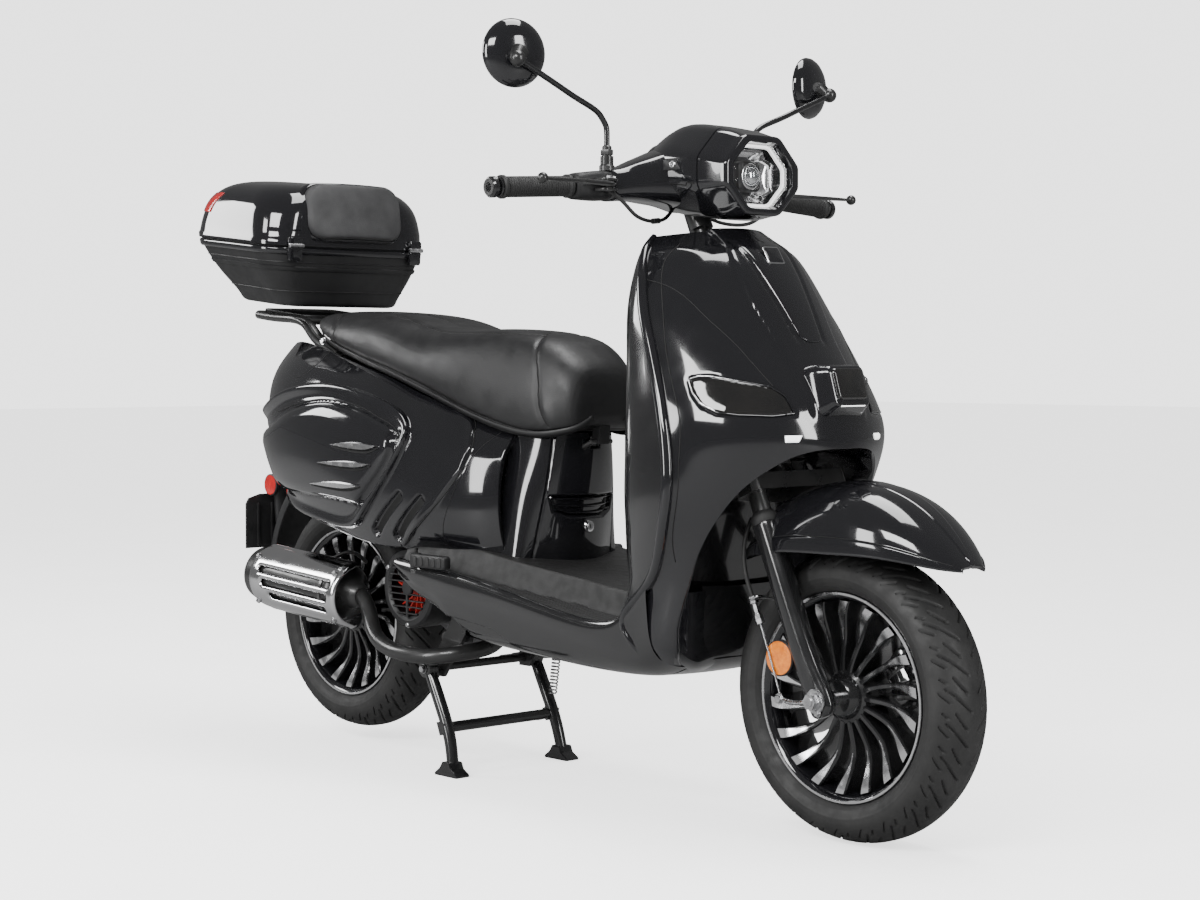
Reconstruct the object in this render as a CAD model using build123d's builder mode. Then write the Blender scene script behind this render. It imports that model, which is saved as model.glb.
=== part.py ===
from build123d import *
import os
from math import cos, radians, sin

# Retro step-through motor scooter with a top box, standing on its centre stand.
# Frame: +X forward, +Y to the rider's left, +Z up, millimetres.  The origin lies on the ground, under the
# middle of the overall length and width.  Sections are drawn from the point midway between the axles, and
# save() moves every finished piece into the shared frame.  Every sub-part is one named node in parts/.

# ---------------------------------------------------------------- driving dimensions
WHEELBASE = 1330.0
DATUM_X = 52.65             # the point midway between the axles lies this far ahead of the origin
TYRE_R = 235.0
TYRE_HALF_W = 59.0
RIM_R = 168.0
RIM_HALF_W = 48.0
REAR_LIFT = 26.0            # the rear wheel hangs clear of the ground on the centre stand
RAKE = 24.0                 # steering axis, degrees back from vertical
FORK_OFFSET = 20.0          # fork legs ahead of the steering axis
FORK_HALF = 88.0            # half distance between the fork legs
AXLE_R, SHAFT_R = 7.5, 12.0
DISC_R, DISC_Y = 95.0, 55.0
SLIDER_R, STANCHION_R = 21.0, 15.5
SLIDER_TOP, STANCHION_FOOT = 228.0, 92.0            # heights along the fork
BRIDGE_LOW, BRIDGE_TOP = 350.0, 378.0
HEAD_LOW, HEAD_TOP, STEM_TOP = 412.0, 640.0, 838.0
STAND_PIVOT = (-288.0, 192.0)
SHOCK_TOP, SHOCK_LOW, SHOCK_Y = (-565.0, 668.0), (-636.0, 392.0), 104.0
STAND_FOOT_X = -219.0
ENGINE_PIVOT = (-262.0, 250.0)
CRANK = (-340.0, 340.0)
SEAT_HINGE = (50.0, 624.0)
LID_HINGE = (-688.0, 1000.0)
BOX_TILT = 6.0              # the top box climbs towards the rear
KEY_SPOT = (322.0, 62.0, 800.0)
SKIN = 4.0                  # wall of the large mouldings
GAP = 0.3                   # clearance left between neighbouring pieces that only touch
RUN = 0.05                  # radial running clearance of pins and shafts

FRONT_AXLE = (WHEELBASE / 2, 0, TYRE_R)
REAR_AXLE = (-WHEELBASE / 2, 0, TYRE_R + REAR_LIFT)
SIN, COS = sin(radians(RAKE)), cos(radians(RAKE))

# The fork plane: origin on the front axle, local z up the fork legs, local x forwards, local y to the left.
FORK = Plane(origin=FRONT_AXLE, x_dir=(COS, 0, SIN), z_dir=(-SIN, 0, COS))
# The wheel planes: z along the axle towards the left.
FRONT_WHEEL = Plane(origin=FRONT_AXLE, x_dir=(1, 0, 0), z_dir=(0, 1, 0))
REAR_WHEEL = Plane(origin=REAR_AXLE, x_dir=(1, 0, 0), z_dir=(0, 1, 0))

os.makedirs("parts", exist_ok=True)


def save(part, name):
    """Moves a finished piece into the shared frame, labels it and writes its STEP file."""
    shift = Location((DATUM_X, 0, 0))
    if part.children:
        placed = Compound(children=[child.moved(shift) for child in part.children])
    else:
        placed = part.moved(shift)
    placed.label = name
    export_step(placed, f"parts/{name}.step")


def fork_point(x, y, z):
    """World point of a point given in the fork plane's own coordinates."""
    return FORK.from_local_coords(Vector(x, y, z))


def both(y):
    """The same offset on the right and on the left."""
    return (-y, y)


def fork_at(x, y, z):
    """A plane parallel to the fork plane, moved to a local point."""
    return Plane(origin=fork_point(x, y, z), x_dir=FORK.x_dir, z_dir=FORK.z_dir)


STEM = fork_at(-FORK_OFFSET, 0, 0)                    # steering axis: origin level with the front axle


def across(x, y, z):
    """A plane whose normal runs to the left (+Y): local x is world x and local y is world -z."""
    return Plane(origin=(x, y, z), x_dir=(1, 0, 0), z_dir=(0, 1, 0))


def tube(points, radius, bend=0):
    """A round bar swept along a line with bends of the given radius."""
    with BuildPart() as bar:
        with BuildLine() as path:
            if len(points) > 2:
                FilletPolyline(*points, radius=bend)
            else:
                Line(*points)
        with BuildSketch(Plane(path.line @ 0, z_dir=path.line % 0)):
            Circle(radius)
        sweep(path=path.line)
    return bar.part


def slab(points, y, depth):
    """A side-view outline of (x, z) points extruded by depth towards +Y from the plane at y."""
    with BuildPart() as plate:
        with BuildSketch(across(0, y, 0)):
            with BuildLine():
                Polyline(*[(x, -z) for x, z in points], close=True)
            make_face()
        extrude(amount=depth)
    return plate.part


def octagon(plane, width, height, corner):
    """An eight-sided section of full width and height with cut corners, for lofts."""
    w, h, c = width / 2, height / 2, corner
    with BuildSketch(plane) as section:
        with BuildLine():
            Polyline((w - c, h), (w, h - c), (w, c - h), (w - c, -h), (c - w, -h), (-w, c - h), (-w, h - c),
                     (c - w, h), close=True)
        make_face()
    return section.sketch


def largest(shape):
    """The biggest solid of a boolean's result, without its slivers."""
    return Part() + sorted(shape.solids(), key=lambda solid: -solid.volume)[0]


# ---------------------------------------------------------------- wheels
SPOKES = 18
HUB_R = 34.0


def build_rim(plane, hub_low, hub_high):
    """A cast wheel: hub, eighteen flared blades and a barrel with two lips; plane's z is the axle."""
    with BuildPart() as rim:
        with BuildSketch(Plane(origin=plane.origin, x_dir=plane.x_dir, z_dir=-plane.y_dir)):
            with BuildLine():                      # local x is the radius, local y runs along the axle
                Polyline((146, -42), (160, -RIM_HALF_W), (RIM_R, -RIM_HALF_W), (RIM_R, -42), (153, -42),
                         (153, 42), (RIM_R, 42), (RIM_R, RIM_HALF_W), (160, RIM_HALF_W), (146, 42),
                         close=True)
            make_face()
            with BuildLine():
                Polyline((12, hub_low), (HUB_R - 8, hub_low), (HUB_R, -30), (HUB_R, 30),
                         (HUB_R - 8, hub_high), (12, hub_high), close=True)
            make_face()
            with BuildLine():
                Polyline((AXLE_R + RUN, hub_low), (12.5, hub_low), (12.5, hub_high), (AXLE_R + RUN, hub_high),
                         close=True)
            make_face()
        revolve(axis=Axis(plane.origin, plane.z_dir))
        with BuildSketch(plane.offset(-34)):           # flared blades between hub and barrel
            with PolarLocations(0, SPOKES):
                Polygon((HUB_R - 4, -4), (100, -4.5), (149, -10), (149, 8), (100, 3.5), (HUB_R - 4, 4),
                        align=None)
        extrude(amount=68)
        with BuildSketch(Plane(origin=plane.origin, x_dir=plane.x_dir, z_dir=-plane.y_dir)):
            with BuildLine():                      # dishes the blades towards the hub on both sides
                Polyline((HUB_R + 0.5, -36), (HUB_R + 0.5, -24), (80, -16), (120, -22), (141, -35.5),
                         (141, -36), close=True)
            make_face()
            with BuildLine():
                Polyline((HUB_R + 0.5, 36), (HUB_R + 0.5, 24), (80, 16), (120, 22), (141, 35.5), (141, 36),
                         close=True)
            make_face()
        revolve(axis=Axis(plane.origin, plane.z_dir), mode=Mode.SUBTRACT)
    return rim.part


def build_tyre(plane):
    """A tubeless tyre: beads between the rim lips, bulging walls and a round crown."""
    with BuildPart() as tyre:
        with BuildSketch(Plane(origin=plane.origin, x_dir=plane.x_dir, z_dir=-plane.y_dir)):
            with BuildLine():
                Spline((RIM_R + GAP, -41.7), (177, -54), (193, -TYRE_HALF_W), (213, -54), (229, -32),
                       (TYRE_R, 0),
                       (229, 32), (213, 54), (193, TYRE_HALF_W), (177, 54), (RIM_R + GAP, 41.7))
                Polyline((RIM_R + GAP, 41.7), (153.3, 41.7), (153.3, 27), (170, 40), (200, 46), (222, 22),
                         (222, -22), (200, -46), (170, -40), (153.3, -27), (153.3, -41.7),
                         (RIM_R + GAP, -41.7))
            make_face()
        revolve(axis=Axis(plane.origin, plane.z_dir))
    return tyre.part


save(build_rim(FRONT_WHEEL, -48, 50), "front_rim")
save(build_tyre(FRONT_WHEEL), "front_tyre")
with BuildPart() as rear_rim:                         # the gearbox shaft is part of the driven wheel
    add(build_rim(REAR_WHEEL, -52, 52))
    with BuildSketch(REAR_WHEEL.offset(-66)):
        Circle(SHAFT_R)
    extrude(amount=66 + 108)
    with BuildSketch(REAR_WHEEL.offset(-66)):
        RegularPolygon(17, 6)
    extrude(amount=13)
save(rear_rim.part, "rear_rim")
save(build_tyre(REAR_WHEEL), "rear_tyre")

with BuildPart() as front_disc:
    with BuildSketch(FRONT_WHEEL.offset(DISC_Y)):
        Circle(DISC_R)
        Circle(62, mode=Mode.SUBTRACT)
        with PolarLocations(78, 24):
            Circle(4, mode=Mode.SUBTRACT)
    extrude(amount=4)
    with BuildSketch(FRONT_WHEEL.offset(DISC_Y)):
        Circle(24)
        with PolarLocations(43, 5):
            Rectangle(46, 12)
        Circle(13, mode=Mode.SUBTRACT)
    extrude(amount=4)
    with BuildSketch(FRONT_WHEEL.offset(50 + GAP)):
        Circle(22)
        Circle(13, mode=Mode.SUBTRACT)
    extrude(amount=DISC_Y - 50 - GAP)
save(front_disc.part, "front_disc")

# ---------------------------------------------------------------- front fork

with BuildPart() as fork_sliders:
    for y in both(FORK_HALF):
        with BuildSketch(fork_at(0, y, -26)):
            Circle(SLIDER_R)
        extrude(amount=SLIDER_TOP + 26)
        with BuildSketch(fork_at(0, y, SLIDER_TOP - 22)):
            Circle(SLIDER_R + 4)
        extrude(amount=22)
        with BuildSketch(fork_at(0, y, 18)):
            Circle(STANCHION_R + RUN)
        extrude(amount=SLIDER_TOP, mode=Mode.SUBTRACT)
        with BuildSketch(fork_at(0, y, 70)):          # reflector tab behind each leg
            with Locations((-40, 0)):
                Rectangle(44, 6)
        extrude(amount=36)
    with BuildSketch(fork_at(0, FORK_HALF, 30)):      # caliper ear on the left leg
        with Locations((-38, -14)):
            Rectangle(44, 12)
    extrude(amount=60)
    with BuildSketch(FRONT_WHEEL.offset(-130)):
        Circle(AXLE_R + RUN)
    extrude(amount=260, mode=Mode.SUBTRACT)
save(fork_sliders.part, "fork_sliders")

LEG_IN, LEG_OUT = FORK_HALF - SLIDER_R, FORK_HALF + SLIDER_R
with BuildPart() as front_axle:
    with BuildSketch(FRONT_WHEEL.offset(-LEG_OUT - 12)):
        Circle(AXLE_R)
    extrude(amount=2 * LEG_OUT + 26)
    for low in (-LEG_OUT - 10, LEG_OUT + GAP):
        with BuildSketch(FRONT_WHEEL.offset(low)):
            RegularPolygon(13, 6)
        extrude(amount=10 - GAP)
    for low, high in ((-LEG_IN + GAP, -48 - GAP), (59 + GAP, LEG_IN - GAP)):
        with BuildSketch(FRONT_WHEEL.offset(low)):
            Circle(11.5)
        extrude(amount=high - low)
save(front_axle.part, "front_axle")

with BuildPart() as brake_caliper:                    # twin-piston caliper astride the disc
    with BuildSketch(fork_at(-78, 0, 60)):
        with Locations((0, DISC_Y + 2)):
            RectangleRounded(46, 42, 7)
    extrude(amount=62, both=True)
    chamfer(brake_caliper.edges().group_by(Axis.Y)[0], 5)
    with BuildSketch(FRONT_WHEEL.offset(DISC_Y - 1.5)):
        Circle(DISC_R + 3)
    extrude(amount=7, mode=Mode.SUBTRACT)
    with BuildSketch(fork_at(-38, 0, 20)):            # leaves the ear and the fork leg free
        with Locations((0, 74)):
            Rectangle(44 + 2 * GAP, 12 + 2 * GAP)
    extrude(amount=90, mode=Mode.SUBTRACT)
    with BuildSketch(FRONT_WHEEL.offset(20)):         # room inside the rim barrel
        Circle(158)
        Circle(140, mode=Mode.SUBTRACT)
    extrude(amount=80, mode=Mode.SUBTRACT)
save(brake_caliper.part, "brake_caliper")

with BuildPart() as fork_reflectors:
    for y in both(FORK_HALF):
        outward = 1 if y > 0 else -1
        with BuildSketch(Plane(origin=fork_point(-50, y + outward * (3 + GAP), 88), x_dir=(COS, 0, SIN),
                               z_dir=(0, outward, 0))):
            Circle(28)
        extrude(amount=8, taper=12)
save(fork_reflectors.part, "fork_reflectors")

with BuildPart() as steering_stem:
    with BuildSketch(STEM.offset(BRIDGE_LOW)):        # lower bridge between the two legs
        with BuildLine():
            Polyline((FORK_OFFSET + 24, FORK_HALF + 24), (FORK_OFFSET - 24, FORK_HALF + 24), (-28, 30),
                     (-28, -30),
                     (FORK_OFFSET - 24, -FORK_HALF - 24), (FORK_OFFSET + 24, -FORK_HALF - 24), close=True)
        make_face()
    extrude(amount=BRIDGE_TOP - BRIDGE_LOW)
    fillet(steering_stem.edges().filter_by(Axis(FRONT_AXLE, FORK.z_dir)), 12)
    with BuildSketch(STEM.offset(BRIDGE_LOW)):
        Circle(13)
    extrude(amount=STEM_TOP - BRIDGE_LOW)
    for y in both(FORK_HALF):
        with BuildSketch(fork_at(0, y, STANCHION_FOOT)):
            Circle(STANCHION_R)
        extrude(amount=BRIDGE_TOP + 12 - STANCHION_FOOT)
stem_solid = steering_stem.part
with BuildPart() as head_bearings:                    # upper and lower races on the stem
    for low in (HEAD_LOW - 13, HEAD_TOP + 1):
        with BuildSketch(STEM.offset(low)):
            Circle(24)
            Circle(13 + RUN, mode=Mode.SUBTRACT)
        extrude(amount=12)
save(Compound(children=[stem_solid, head_bearings.part]), "steering_stem")

# ---------------------------------------------------------------- front mudguard
FENDER_TOP = 343.0                                    # crest radius above the axle
FENDER_SKIN = 5.0


def hood(inset, half_width):
    """The hood's side view moved inwards by inset, extruded to both sides."""
    x0, z0 = FRONT_AXLE[0], FRONT_AXLE[2]
    with BuildPart() as block:
        with BuildSketch(Plane(origin=(0, 0, 0), x_dir=(1, 0, 0), z_dir=(0, -1, 0))):
            with BuildLine():
                crest = Spline((x0 - 172 + inset, z0 + 205 - 3 * inset), (x0 - 140 + inset, z0 + 290 - inset),
                               (x0 - 10, z0 + FENDER_TOP - inset), (x0 + 150 - inset / 2, z0 + 290 - inset),
                               (x0 + 238 - inset, z0 + 216 - 3 * inset))
                Line(crest @ 1, crest @ 0)
            make_face()
        extrude(amount=half_width, both=True)
    return block.part


with BuildPart() as front_fender:                     # a deep hood, carried by the fork bridge
    add(hood(0, 116))
    with BuildSketch(Plane.XY.offset(400)):           # plan outline, narrow at the nose
        with BuildLine():
            rim_line = Spline((460, -95), (560, -116), (700, -112), (820, -88), (903, -20), (903, 20),
                              (820, 88), (700, 112), (560, 116), (460, 95))
            Line(rim_line @ 1, rim_line @ 0)
        make_face()
    extrude(amount=250, mode=Mode.INTERSECT)
    add(hood(FENDER_SKIN, 80), mode=Mode.SUBTRACT)
    with BuildSketch(Plane.XY.offset(400)):           # wide inside where the fork legs stand
        with Locations((560, 0)):
            Rectangle(150, 224)
    extrude(amount=152, mode=Mode.SUBTRACT)
    for y in both(FORK_HALF):
        with BuildSketch(fork_at(0, y, 0)):
            Circle(SLIDER_R + 8)
        extrude(amount=500, mode=Mode.SUBTRACT)
    with BuildSketch(STEM.offset(BRIDGE_LOW - GAP)):
        Rectangle(130, 240)
    extrude(amount=120, mode=Mode.SUBTRACT)
save(largest(front_fender.part), "front_fender")

# ---------------------------------------------------------------- handlebar and controls
BAR_R = 11.0
GRIP_IN, GRIP_OUT = (250, 165, 1062), (232, 395, 1049)


def grip_plane(side, distance):
    """A plane on the straight end of the bar, its z pointing outwards, distance mm from its inner end."""
    inner = Vector(GRIP_IN[0], side * GRIP_IN[1], GRIP_IN[2])
    outer = Vector(GRIP_OUT[0], side * GRIP_OUT[1], GRIP_OUT[2])
    way = (outer - inner).normalized()
    return Plane(origin=inner + way * distance, x_dir=Vector(1, 0, 0), z_dir=way)



def bar_side(side, radius):
    """One half of the handlebar: out from the clamp, up a little and straight along the grip."""
    return tube([(284, 0, 1046), (282, side * 55, 1048), (GRIP_IN[0], side * GRIP_IN[1], GRIP_IN[2]),
                 (GRIP_OUT[0], side * GRIP_OUT[1], GRIP_OUT[2])], radius, 35)


with BuildPart() as handlebar:
    for side in (-1, 1):
        add(bar_side(side, BAR_R))
    with BuildSketch(STEM.offset(STEM_TOP + GAP)):    # clamp on the top of the stem
        Circle(21)
    extrude(amount=62)
    for side in (-1, 1):                              # bar end weights
        with BuildSketch(grip_plane(side, 230)):
            Circle(14)
        extrude(amount=14)
save(handlebar.part, "handlebar")

GRIP_START, GRIP_LEN = 82.0, 140.0
for name, side in (("throttle_grip", -1), ("left_grip", 1)):
    with BuildPart() as grip:
        with BuildSketch(grip_plane(side, GRIP_START)):
            Circle(17)
        extrude(amount=GRIP_LEN)
        for place in (0, GRIP_LEN - 7):
            with BuildSketch(grip_plane(side, GRIP_START + place)):
                Circle(19.5)
            extrude(amount=7)
        with BuildSketch(grip_plane(side, GRIP_START - 1)):
            Circle(BAR_R + 2 * RUN)
        extrude(amount=GRIP_LEN + 2, mode=Mode.SUBTRACT)
    save(grip.part, name)

PERCH_START, PERCH_LEN = 6.0, 74.0
with BuildPart() as control_perches:                  # switch pods with the lever forks
    for side in (-1, 1):
        with BuildSketch(grip_plane(side, PERCH_START)):
            Circle(25)
        with BuildSketch(grip_plane(side, PERCH_START + PERCH_LEN)):
            Circle(21)
        loft()
        with BuildSketch(grip_plane(side, PERCH_START + 20)):
            with Locations((34, 0)):
                Rectangle(34, 26)
        extrude(amount=28)
        with BuildSketch(grip_plane(side, PERCH_START + 14)):
            with Locations((40, 0)):
                Rectangle(60, 13)
        extrude(amount=50, mode=Mode.SUBTRACT)
        with BuildSketch(grip_plane(side, PERCH_START - 1)):
            Circle(BAR_R + GAP)
        extrude(amount=PERCH_LEN + 2, mode=Mode.SUBTRACT)
        with BuildSketch(Plane.XY.offset(1040)):      # pivot screw through the fork of the perch
            with Locations((290, side * 199)):
                Circle(3)
        extrude(amount=34)
    with BuildSketch(Plane(origin=(216, -200, 1066), z_dir=(1, 0, 0))):
        Rectangle(14.6, 10.6)
    extrude(amount=20, mode=Mode.SUBTRACT)            # window of the starter button
perch_solids = control_perches.part.solids()
save(Compound(children=[Part() + s for s in perch_solids]), "control_perches")

with BuildPart() as starter_button:
    with BuildSketch(Plane(origin=(222.5, -200, 1066), z_dir=(1, 0, 0))):
        Rectangle(14, 10)
    extrude(amount=9)
save(starter_button.part, "starter_button")

LEVER_PIVOT = (290.0, 199.0)
for name, side in (("brake_lever_right", -1), ("brake_lever_left", 1)):
    with BuildPart() as lever:
        with BuildSketch(Plane.XY.offset(1055.5)):
            with BuildLine():
                Polyline((281, side * 190), (302, side * 190), (322, side * 250), (325, side * 366),
                         (313, side * 366), (306, side * 262), (281, side * 208), close=True)
            make_face()
        extrude(amount=9)
        fillet(lever.edges().filter_by(Axis.Z), 3.5)
        with Locations((319, side * 368, 1060)):
            Sphere(9)
        with BuildSketch(Plane.XY.offset(1040)):
            with Locations((LEVER_PIVOT[0], side * LEVER_PIVOT[1])):
                Circle(3 + RUN)
        extrude(amount=40, mode=Mode.SUBTRACT)
    save(lever.part, name)

# ---------------------------------------------------------------- headset
LAMP_X, LAMP_Z = 440.0, 1076.0
MIRROR_FOOT, MIRROR_BALL, TOE = (255, 172, 1092), (262, 372, 1254), 14.0


def headset_hull(grow):
    """The lamp housing; grow 0 gives the outer skin and a negative grow its cavity."""
    with BuildPart() as hull:
        for x, z, width, height, corner in ((LAMP_X - 2, LAMP_Z, 176, 128, 46), (390, 1080, 200, 150, 50),
                                            (310, 1092, 190, 156, 55), (235, 1086, 150, 104, 36),
                                            (196, 1080, 110, 60, 20)):
            add(octagon(Plane(origin=(x, 0, z), x_dir=(0, 1, 0), z_dir=(1, 0, 0)), width + 2 * grow,
                        height + 2 * grow, corner + 0.6 * grow))
        loft()
    return hull.part


def headset_arm(side, grow):
    """One of the two arms that reach out to the switch pods."""
    with BuildPart() as arm:
        for y, x, z, width, height in ((34, 280, 1078, 150, 96), (112, 268, 1072, 100, 72),
                                       (168, 252, 1062, 58, 52)):
            add(octagon(Plane(origin=(x, side * y, z), x_dir=(1, 0, 0), z_dir=(0, -1, 0)), width + 2 * grow,
                        height + 2 * grow, 14 + 0.6 * grow))
        loft()
    return arm.part


with BuildPart() as headset_cover:
    add(headset_hull(0))
    for side in (-1, 1):
        add(headset_arm(side, 0))
    add(headset_hull(-4), mode=Mode.SUBTRACT)
    for side in (-1, 1):
        add(headset_arm(side, -4), mode=Mode.SUBTRACT)
        add(bar_side(side, BAR_R + 2), mode=Mode.SUBTRACT)
    with BuildSketch(Plane(origin=(LAMP_X - 12, 0, LAMP_Z), x_dir=(0, 1, 0), z_dir=(1, 0, 0))):
        Rectangle(150, 118)
    extrude(amount=40, mode=Mode.SUBTRACT)
    with BuildSketch(STEM.offset(BRIDGE_TOP)):
        Circle(34)
    extrude(amount=STEM_TOP + 75 - BRIDGE_TOP, mode=Mode.SUBTRACT)
    for side in (-1, 1):
        with BuildSketch(grip_plane(side, -14)):
            Circle(20)
        extrude(amount=30, mode=Mode.SUBTRACT)
        with BuildSketch(Plane.XY.offset(1080)):
            with Locations((MIRROR_FOOT[0], side * MIRROR_FOOT[1])):
                Circle(13)
        extrude(amount=30, mode=Mode.SUBTRACT)
    with Locations((215, 0, 1112)):
        Box(60, 110, 60, mode=Mode.SUBTRACT)
with BuildPart() as instrument_panel:
    with BuildSketch(Plane(origin=(224, 0, 1116), x_dir=(0, 1, 0), z_dir=(-0.8, 0, 0.6))):
        RectangleRounded(104, 50, 16)
    extrude(amount=12, both=True)
save(Compound(children=[largest(headset_cover.part), instrument_panel.part]), "headset_cover")

with BuildPart() as headlight_unit:                   # reflector bowl with projector barrel
    add(octagon(Plane(origin=(LAMP_X - 10, 0, LAMP_Z), x_dir=(0, 1, 0), z_dir=(1, 0, 0)), 146, 114, 38))
    add(octagon(Plane(origin=(LAMP_X - 74, 0, LAMP_Z), x_dir=(0, 1, 0), z_dir=(1, 0, 0)), 90, 74, 24))
    loft()
    add(octagon(Plane(origin=(LAMP_X - 9, 0, LAMP_Z), x_dir=(0, 1, 0), z_dir=(1, 0, 0)), 138, 106, 36))
    add(octagon(Plane(origin=(LAMP_X - 70, 0, LAMP_Z), x_dir=(0, 1, 0), z_dir=(1, 0, 0)), 82, 66, 22))
    loft(mode=Mode.SUBTRACT)
    with BuildSketch(Plane(origin=(LAMP_X - 71, 0, LAMP_Z), x_dir=(0, 1, 0), z_dir=(1, 0, 0))):
        Circle(27)
    extrude(amount=44)
save(headlight_unit.part, "headlight_unit")

with BuildPart() as headlight_lens:
    add(octagon(Plane(origin=(LAMP_X - 10 + GAP, 0, LAMP_Z), x_dir=(0, 1, 0), z_dir=(1, 0, 0)), 146, 114, 38))
    add(octagon(Plane(origin=(LAMP_X + 5, 0, LAMP_Z), x_dir=(0, 1, 0), z_dir=(1, 0, 0)), 136, 104, 36))
    loft()
save(headlight_lens.part, "headlight_lens")

# ---------------------------------------------------------------- mirrors
with BuildPart() as mirror_stems:
    for side in (-1, 1):
        x, y, z = MIRROR_FOOT
        add(tube([(x, side * y, z), (x, side * y, 1168),
                  (MIRROR_BALL[0], side * MIRROR_BALL[1], MIRROR_BALL[2])], 5, 14))
        with BuildSketch(Plane.XY.offset(z)):
            with Locations((x, side * y)):
                Circle(11)
        extrude(amount=34)
        with Locations((MIRROR_BALL[0], side * MIRROR_BALL[1], MIRROR_BALL[2])):
            Sphere(9)
save(mirror_stems.part, "mirror_stems")

MIRROR_R = 56.0
for name, side in (("mirror_head_right", -1), ("mirror_head_left", 1)):
    face_way = Vector(-cos(radians(TOE)), -side * sin(radians(TOE)), 0)
    back = Vector(MIRROR_BALL[0], side * MIRROR_BALL[1], MIRROR_BALL[2]) + face_way * 14
    centre = Vector(back.X, back.Y - side * 12, back.Z + 14)
    face = Plane(origin=centre, x_dir=(0, 0, 1), z_dir=face_way)
    with BuildPart() as mirror_head:
        with BuildSketch(face):
            Circle(MIRROR_R - 14)
        with BuildSketch(face.offset(18)):
            Circle(MIRROR_R)
        loft()
        with BuildSketch(face.offset(18)):
            Circle(MIRROR_R)
        extrude(amount=6)
        with BuildSketch(face.offset(12)):
            Circle(MIRROR_R - 4)
        extrude(amount=20, mode=Mode.SUBTRACT)
        with Locations(back - face_way * 14):
            Sphere(14)
            Sphere(9 + RUN, mode=Mode.SUBTRACT)
        stem_way = Vector(0, -side * (MIRROR_BALL[1] - MIRROR_FOOT[1]), -(MIRROR_BALL[2] - 1168)).normalized()
        with BuildSketch(Plane(origin=back - face_way * 14 + stem_way * 6, z_dir=stem_way)):
            Circle(7.5)
        extrude(amount=16, mode=Mode.SUBTRACT)
        with BuildSketch(Plane(origin=back - face_way * 14 + stem_way * 21, z_dir=stem_way)):
            Circle(10.5)                              # room for the stem as the head tilts
        extrude(amount=44, mode=Mode.SUBTRACT)
    shell = Part() + sorted(mirror_head.part.solids(), key=lambda s: -s.volume)[0]
    with BuildPart() as mirror_glass:
        with BuildSketch(face.offset(12 + GAP)):
            Circle(MIRROR_R - 4 - GAP)
        extrude(amount=4)
    save(Compound(children=[shell, mirror_glass.part]), name)

# ---------------------------------------------------------------- main frame
HEAD_R = 27.0
RAIL_Y = 90.0
with BuildPart() as frame_tubes:
    with BuildSketch(STEM.offset(HEAD_LOW)):
        Circle(HEAD_R)
    extrude(amount=HEAD_TOP - HEAD_LOW)
    add(tube([(442, 0, 690), (384, 0, 560), (340, 0, 420), (330, 0, 318)], 21, 60))
    add(tube([(330, -RAIL_Y - 15, 318), (330, RAIL_Y + 15, 318)], 15))
    for side in (-1, 1):
        add(tube([(330, side * RAIL_Y, 318), (-150, side * RAIL_Y, 318), (-200, side * RAIL_Y, 345),
              (-330, side * 126, 560), (-520, side * 128, 690), (-700, side * 122, 742),
               (-820, side * 70, 752)],
             14, 40))
    add(tube([(-118, -RAIL_Y, 318), (-118, RAIL_Y, 318)], 10))
    add(tube([(-520, -128, 690), (-520, 128, 690)], 9))
    add(tube([(-820, -72, 752), (-820, 72, 752)], 9))
    for side in (-1, 1):                              # plates that carry the engine and stand pivots
        add(slab([(-150, 330), (-205, 345), (-300, 205), (-300, 176), (-270, 176), (-240, 215)],
                   side * 106 - 4, 8))
        add(tube([(-190, side * 96, 322), (-222, side * 150, 352), (-235, side * 190, 384)], 8, 20))
        with BuildSketch(Plane.XY.offset(384)):       # upright pin of the passenger peg
            with Locations((-235, side * 200)):
                Circle(4)
        extrude(amount=42)
        with BuildSketch(Plane.XY.offset(380)):
            with Locations((-235, side * 196)):
                Circle(13)
        extrude(amount=6)
    with BuildSketch(across(ENGINE_PIVOT[0], -110, ENGINE_PIVOT[1])):
        Circle(12)
    extrude(amount=220)
    with BuildSketch(across(STAND_PIVOT[0], -144, STAND_PIVOT[1])):
        Circle(8)
    extrude(amount=288)
    with BuildSketch(across(SEAT_HINGE[0], -26, SEAT_HINGE[1])):
        Circle(4)
    extrude(amount=52)
    add(tube([(SEAT_HINGE[0], -22, SEAT_HINGE[1]), (SEAT_HINGE[0] - 52, -22, SEAT_HINGE[1] - 22),
          (-60, -22, 560), (-75, -22, 440), (-75, -RAIL_Y, 318)], 5, 12))
    add(tube([(SHOCK_TOP[0], 128, 704), (SHOCK_TOP[0], 128, SHOCK_TOP[1]),
              (SHOCK_TOP[0], 92, SHOCK_TOP[1])], 8, 10))
    add(tube([(-150, RAIL_Y, 318), (-180, 128, 270), (-180, 158, 250)], 9, 16))
    with BuildSketch(across(-180, 150, 246)):         # side stand lug
        Circle(5)
    extrude(amount=38)
    with BuildSketch(STEM.offset(HEAD_LOW - 1)):
        Circle(17)
    extrude(amount=HEAD_TOP + 2 - HEAD_LOW, mode=Mode.SUBTRACT)
save(frame_tubes.part, "frame_tubes")

# ---------------------------------------------------------------- leg shield and inner panel
# z, keel x, shoulder x at 0.55 of the half width, edge x, half width, rear wall x
SHIELD = ((976, 405, 392, 330, 118, 292), (941, 461, 440, 338, 160, 290), (867, 515, 492, 372, 195, 292),
          (787, 565, 535, 410, 212, 298), (722, 610, 572, 440, 224, 304), (655, 636, 590, 464, 234, 308),
          (578, 622, 575, 474, 236, 310), (513, 596, 548, 460, 230, 306), (440, 556, 512, 436, 214, 300),
          (388, 520, 480, 400, 202, 298))


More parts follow.
